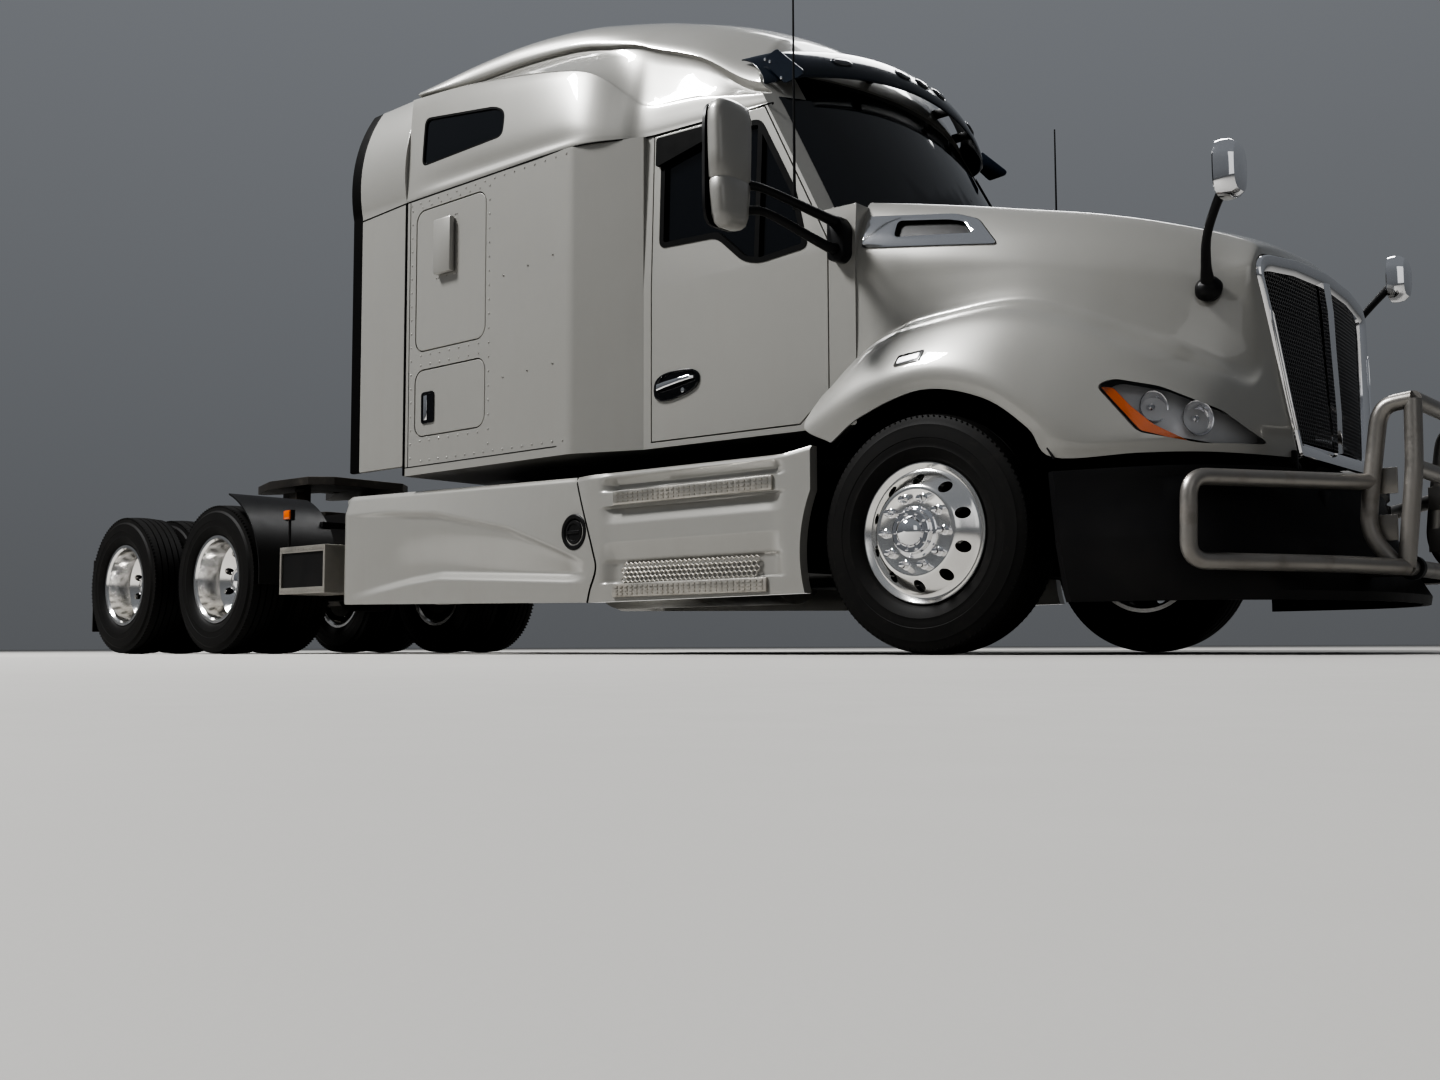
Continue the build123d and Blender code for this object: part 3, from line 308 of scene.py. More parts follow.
@dataclass(frozen=True)
class PaintFinish(Finish):
    """Metallic paint under clear coat, with flakes, orange peel and road film."""

    flake: float = 0.05

    def dress(self, graph: Graph) -> None:
        """Set flakes in the colour and a soft ripple in the coat.

        Args:
            graph: The material's tree.
        """
        share = self.grime_share(graph)
        flakes = graph.cells(1400.0)
        streaks = graph.noise(9.0, 5.0, (1.0, 1.0, 0.12)).ramp(0.45, 0.85)
        dusty = share + 0.06 * streaks
        flat = graph.blend(dusty, self.tone(graph), self.grime_colour)
        bright = tuple(min(1.0, channel * 1.25) for channel in self.colour)
        graph.set(
            Base_Color=graph.blend(self.flake * flakes, flat, bright),
            Roughness=self.roughness + 0.06 * flakes + 0.4 * dusty,
            Metallic=self.metallic * (1 - dusty),
        )
        graph.bump(graph.noise(90.0, 2.0), 0.03)


@dataclass(frozen=True)
class BrushedFinish(Finish):
    """Bare metal with fine lines along one axis and stains."""

    stretch: tuple[float, float, float] = (1.0, 40.0, 1.0)
    stain: float = 0.3

    def dress(self, graph: Graph) -> None:
        """Set the brushing and the stains.

        Args:
            graph: The material's tree.
        """
        lines = graph.noise(60.0, 4.0, self.stretch)
        stains = graph.noise(7.0, 7.0).ramp(0.5, 0.8)
        share = self.stain * stains + self.grime_share(graph)
        graph.set(
            Base_Color=graph.blend(share, self.tone(graph), self.grime_colour),
            Roughness=self.roughness * (0.7 + 0.6 * lines) + 0.4 * share,
            Metallic=self.metallic * (1 - 0.8 * share),
        )
        graph.bump(lines, self.grain)


@dataclass(frozen=True)
class WovenFinish(Finish):
    """Cloth with a weave of crossing threads, their raised crests painted lighter as a painted highlight."""

    thread: float = 2600.0

    def dress(self, graph: Graph) -> None:
        """Set the threads as bump, and paint their raised crests lighter as a painted highlight.

        Args:
            graph: The material's tree.
        """
        along = (graph.axis("X") * self.thread).sine()
        across = ((graph.axis("Y") + graph.axis("Z")) * self.thread).sine()
        weave = 0.5 + 0.25 * (along + across)
        # Painted highlight: where the threads rise, the colour is blended towards this lighter tone
        light = tuple(channel * 1.5 for channel in self.colour)
        graph.set(
            Base_Color=graph.blend(weave * 0.6, self.tone(graph), light),
            Roughness=self.roughness + 0.1 * weave,
            Metallic=0.0,
        )
        graph.shader.inputs["Sheen Weight"].default_value = 0.3
        graph.bump(weave, 0.3)


@dataclass(frozen=True)
class TyreFinish(Finish):
    """Rubber with a dusty tread and fine scuffs on the walls."""

    def dress(self, graph: Graph) -> None:
        """Set the dust and the scuffs.

        Args:
            graph: The material's tree.
        """
        scuffs = graph.noise(30.0, 8.0).ramp(0.55, 0.8)
        patch = graph.noise(6.0, 5.0).ramp(0.3, 0.8)
        share = self.grime * (0.4 + 0.6 * patch) + 0.12 * scuffs
        graph.set(
            Base_Color=graph.blend(share, self.tone(graph), self.grime_colour),
            Roughness=self.roughness + 0.2 * share,
            Metallic=0.0,
        )
        graph.bump(graph.noise(260.0, 5.0), 0.25)


@dataclass(frozen=True)
class KnurledFinish(BrushedFinish):
    """Bright tread plate with raised bars in two directions."""

    pitch: float = 60.0

    def dress(self, graph: Graph) -> None:
        """Set the raised bars over the brushed metal.

        Args:
            graph: The material's tree.
        """
        super().dress(graph)
        first = ((graph.axis("X") + graph.axis("Y")) * self.pitch * 2 * math.pi).sine()
        second = ((graph.axis("X") - graph.axis("Y")) * self.pitch * 2 * math.pi).sine()
        graph.bump((first * second).ramp(0.35, 0.6), 0.6, 0.002)


class Surface(Enum):
    """Finishes of this vehicle, each named for its slot of the record unless SLOT_OF says another."""

    PAINT = PaintFinish(
        "body_paint", (0.295, 0.29, 0.272), 0.3, 0.25, 1.0, grime=0.16, grime_height=0.8, mottle=0.03
    )
    MIRROR_PAINT = PaintFinish("mirror_paint", (0.27, 0.265, 0.25), 0.36, 0.25, 0.8, mottle=0.04)
    CHASSIS = Finish("chassis_black", (0.006, 0.006, 0.007), 0.55, coat=0.1, grime=0.18, specular=0.3)
    CASTING = Finish("cast_steel", (0.012, 0.012, 0.012), 0.6, 0.3, grain=0.3, grain_scale=180.0, grime=0.3)
    ENGINE = Finish("engine_grey", (0.06, 0.065, 0.065), 0.6, 0.2, grime=0.4)
    RADIATOR = Finish("radiator_black", (0.006, 0.006, 0.006), 0.6, grime=0.1, specular=0.3)
    TANK = BrushedFinish("tank_aluminium", (0.5, 0.5, 0.48), 0.35, 1.0, grime=0.5, stain=0.4, grain=0.1)
    BLACK_PLASTIC = Finish(
        "black_plastic", (0.006, 0.006, 0.0065), 0.4, grain=0.2, grain_scale=700.0, grime=0.05, specular=0.3
    )
    GLOSS_BLACK = Finish("gloss_black", (0.004, 0.004, 0.005), 0.12, coat=0.5, grain=0.02, specular=0.4)
    GLASS = Finish("dark_glass", (0.004, 0.005, 0.007), 0.05, coat=0.6, grain=0.0, mottle=0.3, alpha=0.93)
    DASH = Finish("dash_plastic", (0.025, 0.024, 0.023), 0.6, grain=0.35, grain_scale=500.0)
    FABRIC = WovenFinish("seat_fabric", (0.05, 0.047, 0.045), 0.85)
    VISOR = Finish(
        "visor_plastic", (0.01, 0.015, 0.024), 0.16, coat=0.7, grain=0.03, alpha=0.97, specular=0.4
    )
    EDGE_RUBBER = Finish("edge_rubber", (0.003, 0.003, 0.003), 0.6, grain=0.3, grime=0.0, specular=0.08)
    BUMPER = Finish(
        "bumper_plastic", (0.008, 0.008, 0.009), 0.45, grain=0.22, grain_scale=600.0, grime=0.07,
        grime_height=0.6, specular=0.25,
    )
    TREAD_PLATE = KnurledFinish("tread_aluminium", (0.55, 0.53, 0.49), 0.3, 1.0, grime=0.45, stain=0.35)
    TYRE = TyreFinish(
        "tyre_rubber", (0.005, 0.005, 0.005), 0.6, grime=0.07, grime_colour=(0.06, 0.05, 0.04), specular=0.2
    )
    RIM = BrushedFinish("rim_aluminium", (0.86, 0.85, 0.83), 0.14, 1.0, grime=0.06, stain=0.08, grain=0.02)
    CHROME = Finish("bright_chrome", (0.86, 0.86, 0.87), 0.05, 1.0, grain=0.01, mottle=0.02, grime=0.03)
    MESH = Finish("mesh_black", (0.16, 0.16, 0.165), 0.32, 0.6, grain=0.05)
    LENS = Finish("lamp_glass", (0.05, 0.052, 0.055), 0.04, coat=0.8, grain=0.02, alpha=0.12, mottle=0.03)
    SMOKE_LENS = Finish("smoke_lens", (0.06, 0.06, 0.065), 0.12, coat=0.8, grain=0.12, grain_scale=240.0)
    REFLECTOR = Finish("lamp_reflector", (0.8, 0.8, 0.82), 0.18, 1.0, grain=0.02)
    HOUSING = Finish("lamp_housing", (0.68, 0.68, 0.69), 0.35, 0.3, grain=0.02)
    AMBER = Finish("amber_lens", (0.6, 0.12, 0.008), 0.18, coat=0.8, grain=0.25, grain_scale=260.0)
    RED = Finish("red_lens", (0.36, 0.01, 0.008), 0.18, coat=0.8, grain=0.25, grain_scale=260.0)
    GUARD = BrushedFinish(
        "guard_tube", (0.33, 0.315, 0.295), 0.34, 0.85, grain=0.12, grime=0.3, stain=0.5,
        grime_colour=(0.06, 0.045, 0.032), stretch=(1.0, 1.0, 1.0),
    )
    PLATE = BrushedFinish("plate_steel", (0.06, 0.056, 0.052), 0.42, 0.8, grain=0.3, grime=0.4, stain=0.6)
    FLOOR = Finish("floor", (0.43, 0.42, 0.4), 0.75, grain=0.05, mottle=0.03)

    def material(self) -> bpy.types.Material:
        """Material of this finish."""
        return self.value.build()


SLOT_OF = {
    Surface.GLOSS_BLACK: "black_plastic", Surface.REFLECTOR: "lamp_glass", Surface.HOUSING: "lamp_glass",
    Surface.AMBER: "lamp_glass", Surface.RED: "lamp_glass", Surface.SMOKE_LENS: "lamp_glass",
}


class Workshop:
    """Turns meshes into pieces that ride on the frame's bodies."""

    smooth_angle = math.radians(32)
    flat_angle = math.radians(0.3)
    merge_distance = 1e-5

    def link(self, name: str, data: bpy.types.ID) -> Item:
        """Object of the scene for a mesh, a camera or a light."""
        item = bpy.data.objects.new(name, data)
        bpy.context.scene.collection.objects.link(item)
        return item

    def new(self, name: str, vertices: Iterable[Point], faces: Iterable[Sequence[int]]) -> Item:
        """Make a mesh object from points and faces.

        Args:
            name: The piece's name.
            vertices: Its points, in the frame.
            faces: Each face's point numbers.

        Returns:
            The linked object, with its normals pointing outwards.
        """
        mesh = bpy.data.meshes.new(name)
        mesh.from_pydata([tuple(point) for point in vertices], [], [tuple(face) for face in faces])
        work = bmesh.new()
        work.from_mesh(mesh)
        bmesh.ops.remove_doubles(work, verts=work.verts, dist=self.merge_distance)
        bmesh.ops.recalc_face_normals(work, faces=work.faces)
        work.to_mesh(mesh)
        work.free()
        return self.link(name, mesh)

    def wires(self, name: str, places: Iterable[Point], edges: Iterable[tuple[int, int]]) -> Item:
        """Bare edges between places, for a tree to follow."""
        mesh = bpy.data.meshes.new(name)
        mesh.from_pydata([tuple(place) for place in places], list(edges), [])
        return self.link(name, mesh)

    def bake(self, item: Item) -> Item:
        """Turn the modifiers' result into the piece's own mesh.

        Args:
            item: A mesh object with modifiers.

        Returns:
            The same object, without them.
        """
        bpy.context.view_layer.update()
        graph = bpy.context.evaluated_depsgraph_get()
        mesh = bpy.data.meshes.new_from_object(item.evaluated_get(graph))
        item.modifiers.clear()
        old, item.data = item.data, mesh
        bpy.data.meshes.remove(old)
        return item

    def modify(self, item: Item, kind: str, **settings: object) -> Item:
        """Apply one modifier at once.

        Args:
            item: The piece.
            kind: The modifier's type.
            settings: Its settings.

        Returns:
            The piece.
        """
        modifier = item.modifiers.new(kind.title(), kind)
        for key, value in settings.items():
            setattr(modifier, key, value)
        return self.bake(item)

    def bevel(self, item: Item, width: float) -> Item:
        """Round the sharp edges of a piece.

        Args:
            item: The piece.
            width: How wide the round is.

        Returns:
            The piece.
        """
        return self.modify(
            item, "BEVEL", width=width, segments=2, limit_method="ANGLE",
            angle_limit=self.smooth_angle, harden_normals=False, miter_outer="MITER_ARC",
        )

    def cut(self, item: Item, tool: Item, operation: str = "DIFFERENCE") -> Item:
        """Cut a piece with another, which is used up.

        Args:
            item: The piece.
            tool: A closed mesh.
            operation: DIFFERENCE, INTERSECT or UNION.

        Returns:
            The piece.
        """
        item = self.modify(item, "BOOLEAN", object=tool, operation=operation, solver="EXACT")
        bpy.data.objects.remove(tool)
        return item

    def join(self, name: str, items: Sequence[Item]) -> Item:
        """Join several pieces of one finish and body into one mesh.

        Args:
            name: The whole piece's name.
            items: The pieces, which are used up.

        Returns:
            The whole piece.
        """
        work = bmesh.new()
        for item in items:
            work.from_mesh(item.data)
            bpy.data.objects.remove(item)
        mesh = bpy.data.meshes.new(name)
        work.to_mesh(mesh)
        work.free()
        return self.link(name, mesh)

    def fit(
        self, item: Item, body: str, surface: Surface, *nodes: str, angle: float | None = None,
        weighted: bool = False,
    ) -> Item:
        """Finish a piece and hang it on its body.

        Args:
            item: The piece.
            body: The frame's body that it moves with.
            surface: Its finish.
            nodes: The CAD nodes that it stands for.
            angle: Edges sharper than this stay sharp, in degrees.
            weighted: Whether large faces keep their flat shading.

        Returns:
            The piece.
        """
        item.data.materials.clear()
        item.data.materials.append(surface.material())
        item.data.shade_smooth()
        item.data.set_sharp_from_angle(angle=math.radians(angle) if angle else self.smooth_angle)
        if weighted:
            item = self.modify(item, "WEIGHTED_NORMAL", keep_sharp=True)
        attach(item, body)
        SLOT_OF.get(surface, surface.value.name)
        if nodes:
            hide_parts(*nodes)
        log.info("%s on %s: %d faces", item.name, body, len(item.data.polygons))
        return item

    def unite(self, name: str, items: Sequence[Item], *fitting: object, angle: float | None = None) -> None:
        """Join several pieces and fit the whole.

        Args:
            name: The whole piece's name.
            items: The pieces.
            fitting: The body, the finish and the CAD nodes that it stands for.
            angle: Edges sharper than this stay sharp, in degrees.
        """
        self.fit(self.join(name, items), *fitting, angle=angle)

    def copy_of(self, node: str, name: str) -> Item:
        """Merged copy of a CAD node's mesh.

        Args:
            node: The CAD node.
            name: The copy's name.

        Returns:
            A loose object that may be changed.
        """
        work = bmesh.new()
        work.from_mesh(frame["nodes"][node].data)
        bmesh.ops.remove_doubles(work, verts=work.verts, dist=self.merge_distance)
        bmesh.ops.dissolve_limit(work, angle_limit=self.flat_angle, verts=work.verts, edges=work.edges)
        mesh = bpy.data.meshes.new(name)
        work.to_mesh(mesh)
        work.free()
        return self.link(name, mesh)


shop = Workshop()


class Forms:
    """Makers of plain meshes, all in the frame's metres."""

    @staticmethod
    def rings(name: str, rings: Sequence[Sequence[Point]], closed: bool = True, capped: bool = True) -> Item:
        """Skin a row of rings that have equally many points.

        Args:
            name: The piece's name.
            rings: The rings, in order.
            closed: Whether each ring closes on itself.
            capped: Whether the first and last ring are filled.

        Returns:
            The piece.
        """
        count = len(rings[0])
        points = [point for ring in rings for point in ring]
        faces = []
        for start in range(0, (len(rings) - 1) * count, count):
            for column in range(count if closed else count - 1):
                after = (column + 1) % count
                faces.append((start + column, start + after, start + count + after, start + count + column))
        if capped:
            faces.append(tuple(range(count)))
            faces.append(tuple(range((len(rings) - 1) * count, len(rings) * count)))
        return shop.new(name, points, faces)

    @staticmethod
    def lathe(name: str, centre: Vector, profile: Table, steps: int = 96) -> Item:
        """Turn a closed profile about an axis along y.

        Args:
            name: The piece's name.
            centre: A point of the axis.
            profile: Pairs of y from the centre and radius.
            steps: Steps around.

        Returns:
            The piece.
        """
        rings = [
            [centre + Vector((radius * math.cos(turn), y, radius * math.sin(turn))) for y, radius in profile]
            for turn in Curves.turns(steps)
        ]
        return Forms.rings(name, rings + [rings[0]], True, False)

    @staticmethod
    def box(name: str, low: Point, high: Point, bevel: float = 0.0) -> Item:
        """Box between two corners.

        Args:
            name: The piece's name.
            low: Its lowest corner.
            high: Its highest corner.
            bevel: The radius of its edges.

        Returns:
            The piece.
        """
        corners = [(x, y, z) for x in (low[0], high[0]) for y in (low[1], high[1]) for z in (low[2], high[2])]
        faces = [(0, 1, 3, 2), (4, 6, 7, 5), (0, 4, 5, 1), (2, 3, 7, 6), (0, 2, 6, 4), (1, 5, 7, 3)]
        item = shop.new(name, corners, faces)
        return shop.bevel(item, bevel) if bevel else item

    @staticmethod
    def block(name: str, x: Point, y: Point, z: Point, bevel: float = 0.004) -> Item:
        """Box from its spans, with x counted from the front axle."""
        low = layout.at(min(x), min(y), min(z))
        high = layout.at(max(x), max(y), max(z))
        return Forms.box(name, low, high, bevel)

    @staticmethod
    def prism(name: str, outline: Sequence[Point], push: Vector) -> Item:
        """Flat outline pushed along a vector."""
        near = [Vector(point) for point in outline]
        return Forms.rings(name, [near, [point + push for point in near]])

    @staticmethod
    def side_prism(name: str, outline: Table, y: Point) -> Item:
        """Outline in x and z, pushed across the vehicle between two places."""
        return Forms.prism(name, [layout.at(x, y[0], z) for x, z in outline], Vector((0, y[1] - y[0], 0)))

    @staticmethod
    def tube(name: str, path: Sequence[Point], radius: float, sides: int = 16, smooth: bool = True) -> Item:
        """Round tube along a path.

        Args:
            name: The piece's name.
            path: Places of the frame.
            radius: The tube's radius.
            sides: Faces around.
            smooth: Whether the path is rounded through its places.

        Returns:
            The piece.
        """
        places = Curves.through(path, 8) if smooth else path
        return Forms.along(name, places, [radius] * len(places), sides)

    @staticmethod
    def tapered(name: str, path: Sequence[Vector], radii: Sequence[float], sides: int = 20) -> Item:
        """Smooth round tube whose radius changes from place to place.

        Args:
            name: The piece's name.
            path: Places of the frame.
            radii: The radius at each of them.
            sides: Faces around.

        Returns:
            The piece.
        """
        places = Curves.through(path, 6)
        shares = [number * (len(radii) - 1) / (len(places) - 1) for number in range(len(places))]
        sizes = [Curves.value(list(enumerate(radii)), share) for share in shares]
        return Forms.along(name, places, sizes, sides)

    @staticmethod
    def along(name: str, places: Sequence[Vector], sizes: Sequence[float], sides: int) -> Item:
        """Round tube through given places.

        Args:
            name: The piece's name.
            places: The middle line.
            sizes: The radius at each place.
            sides: Faces around.

        Returns:
            The piece.
        """
        turns = Curves.turns(sides)
        rings = []
        side = None
        for number, (place, size) in enumerate(zip(places, sizes)):
            ahead = places[min(number + 1, len(places) - 1)] - places[max(number - 1, 0)]
            ahead.normalize()
            if side is None:
                helper = Vector((0, 0, 1)) if abs(ahead.z) < 0.9 else Vector((1, 0, 0))
                side = ahead.cross(helper).normalized()
            side = (side - ahead * side.dot(ahead)).normalized()
            up = ahead.cross(side)
            rings.append([place + size * (math.cos(turn) * side + math.sin(turn) * up) for turn in turns])
        return Forms.rings(name, rings)

    @staticmethod
    def turned(name: str, spot: Vector, aim: Vector, profile: Table, steps: int = 40) -> Item:
        """Closed profile turned about a line through a spot.

        Args:
            name: The piece's name.
            spot: A point of the line.
            aim: The line's direction.
            profile: Pairs of distance along the line and radius.
            steps: Steps around.

        Returns:
            The piece.
        """
        side = aim.cross(Vector((0, 0, 1))).normalized()
        up = side.cross(aim)
        rings = []
        for turn in Curves.turns(steps):
            ray = math.cos(turn) * side + math.sin(turn) * up
            rings.append([spot + aim * along + ray * radius for along, radius in profile])
        return Forms.rings(name, rings + [rings[0]], True, False)

    @staticmethod
    def stack(name: str, profile: Table, sides: int) -> Item:
        """Capped rings about the z axis, from pairs of radius and height."""
        turns = Curves.turns(sides)
        rings = [[(size * math.cos(turn), size * math.sin(turn), z) for turn in turns] for size, z in profile]
        return Forms.rings(name, rings)


class Curves:
    """Smooth lines and surfaces through given places."""

    @staticmethod
    def turns(count: int) -> list[float]:
        """Even angles all the way round."""
        return [2 * math.pi * step / count for step in range(count)]

    @staticmethod
    def value(table: Table, place: float) -> float:
        """Value of a table of pairs, straight between them.

        Args:
            table: Pairs of place and value, in order.
            place: Where the value is wanted.

        Returns:
            The value there, or the nearest end's.
        """
        if place <= table[0][0]:
            return table[0][1]
        for (low, near), (high, far) in zip(table, table[1:]):
            if place <= high:
                return near + (far - near) * (place - low) / (high - low)
        return table[-1][1]

    @staticmethod
    def blend(points: Sequence[Vector], share: float) -> Vector:
        """Point of the curve through four places, between the middle two.

        Args:
            points: The four places.
            share: Share of the way.

        Returns:
            The point.
        """
        before, start, end, after = points
        return 0.5 * (
            2 * start + (end - before) * share
            + (2 * before - 5 * start + 4 * end - after) * share ** 2
            + (3 * start - before - 3 * end + after) * share ** 3
        )

    @staticmethod
    def through(places: Sequence[Vector], steps: int) -> list[Vector]:
        """Curve through places.

        Args:
            places: The places, in order.
            steps: Points per span.

        Returns:
            The points of the curve.
        """
        if len(places) < 3:
            return list(places)
        padded = [2 * places[0] - places[1], *places, 2 * places[-1] - places[-2]]
        line = [
            Curves.blend(padded[span:span + 4], step / steps)
            for span in range(len(places) - 1) for step in range(steps)
        ]
        return line + [places[-1]]

    @staticmethod
    def sheet(rows: Sequence[Sequence[Vector]], row_steps: int, column_steps: int) -> list[list[Vector]]:
        """Surface through rows of places, finer both ways.

        Args:
            rows: Rows that have equally many places.
            row_steps: Points per span from row to row.
            column_steps: Points per span within a row.

        Returns:
            Rows of points.
        """
        fine = [Curves.through(row, column_steps) for row in rows]
        columns = [Curves.through(list(column), row_steps) for column in zip(*fine)]
        return [list(row) for row in zip(*columns)]

    @staticmethod
    def grow(outline: Table, amount: float) -> list[Pair]:
        """Outline moved outwards by an amount, or inwards by a negative one.

        Args:
            outline: Corners of a closed flat outline.
            amount: How far each side moves.

        Returns:
            The moved corners.
        """
        points = [Vector(point) for point in outline]
        ahead = points[1:] + points[:1]
        area = sum(point.x * following.y - following.x * point.y for point, following in zip(points, ahead))
        turn = 1.0 if area > 0 else -1.0
        moved = []
        for number, point in enumerate(points):
            before = (point - points[number - 1]).normalized()
            after = (ahead[number] - point).normalized()
            first = Vector((before.y, -before.x)) * turn
            second = Vector((after.y, -after.x)) * turn
            middle = first + second
            place = point + middle * (amount * 2 / max(middle.length_squared, 0.3))
            moved.append((place.x, place.y))
        return moved

    @staticmethod
    def corner(before: Vector, corner: Vector, after: Vector, radius: float, steps: int) -> list[Vector]:
        """Round course past a corner.

        Args:
            before: The place before it.
            corner: The corner.
            after: The place after it.
            radius: How far from the corner the round starts, at most.
            steps: Spans of the round.

        Returns:
            The points of the round.
        """
        ways = (before - corner, after - corner)
        start, end = (corner + way.normalized() * min(radius, 0.48 * way.length) for way in ways)
        shares = [step / steps for step in range(steps + 1)]
        return [start.lerp(corner, share).lerp(corner.lerp(end, share), share) for share in shares]

    @staticmethod
    def rounded(outline: Table, radius: float, steps: int = 5) -> list[Pair]:
        """Closed flat outline with its corners rounded.

        Args:
            outline: The corners.
            radius: How far from a corner the round starts, at most.
            steps: Points per corner.

        Returns:
            The points of the rounded outline.
        """
        points = [Vector(point) for point in outline]
        line = []
        for number, corner in enumerate(points):
            after = points[(number + 1) % len(points)]
            line += Curves.corner(points[number - 1], corner, after, radius, steps)
        return [(place.x, place.y) for place in line]

    @staticmethod
    def bent(places: Sequence[Vector], radius: float, steps: int) -> list[Vector]:
        """Open path through space with its corners rounded.

        Args:
            places: The corners, with both ends.
            radius: How far from a corner the round starts, at most.
            steps: Spans of each round.

        Returns:
            The path's points.
        """
        line = [places[0]]
        for before, corner, after in zip(places, places[1:], places[2:]):
            line += Curves.corner(before, corner, after, radius, steps)
        return line + [places[-1]]

    @staticmethod
    def superellipse(count: int, power: float) -> list[Pair]:
        """Points round a rounded square of half side 1.

        Args:
            count: How many points.
            power: How square it is, from 2 for a circle.

        Returns:
            Pairs of places.
        """
        line = []
        for turn in Curves.turns(count):
            across, up = math.cos(turn), math.sin(turn)
            size = (abs(across) ** power + abs(up) ** power) ** (-1 / power)
            line.append((across * size, up * size))
        return line


class GrowthTree(Nodes):
    """A Geometry Nodes tree with named inputs, one of them its material."""

    def __init__(self, name: str, **sockets: str) -> None:
        """Start a tree.

        Args:
            name: The tree's name.
            sockets: Each input's type, by its name.
        """
        super().__init__(bpy.data.node_groups.new(name, "GeometryNodeTree"))
        self.tree.interface.new_socket("Geometry", in_out="OUTPUT", socket_type="NodeSocketGeometry")
        for label, kind in {**sockets, "Material": "Material"}.items():
            self.tree.interface.new_socket(label, in_out="INPUT", socket_type=f"NodeSocket{kind}")
        self.given = self.tree.nodes.new("NodeGroupInput").outputs

    def copies(self, points: object, turn: Maths) -> Maths:
        """Instances of the given piece on points, each with its turn."""
        piece = self.add("GeometryNodeObjectInfo", {}, {"Object": self.given["Piece"]}, "Geometry")
        inputs = {"Points": points, "Instance": piece, "Rotation": turn}
        return self.add("GeometryNodeInstanceOnPoints", {}, inputs)

    def finish(self, result: Maths) -> bpy.types.NodeTree:
        """End the tree in Realize Instances and Set Material.

        Args:
            result: What the tree has made.

        Returns:
            The tree.
        """
        whole = self.add("GeometryNodeRealizeInstances", {}, {"Geometry": result})
        inputs = {"Geometry": whole, "Material": self.given["Material"]}
        painted = self.add("GeometryNodeSetMaterial", {}, inputs)
        self.plug(self.tree.nodes.new("NodeGroupOutput").inputs["Geometry"], painted)
        return self.tree


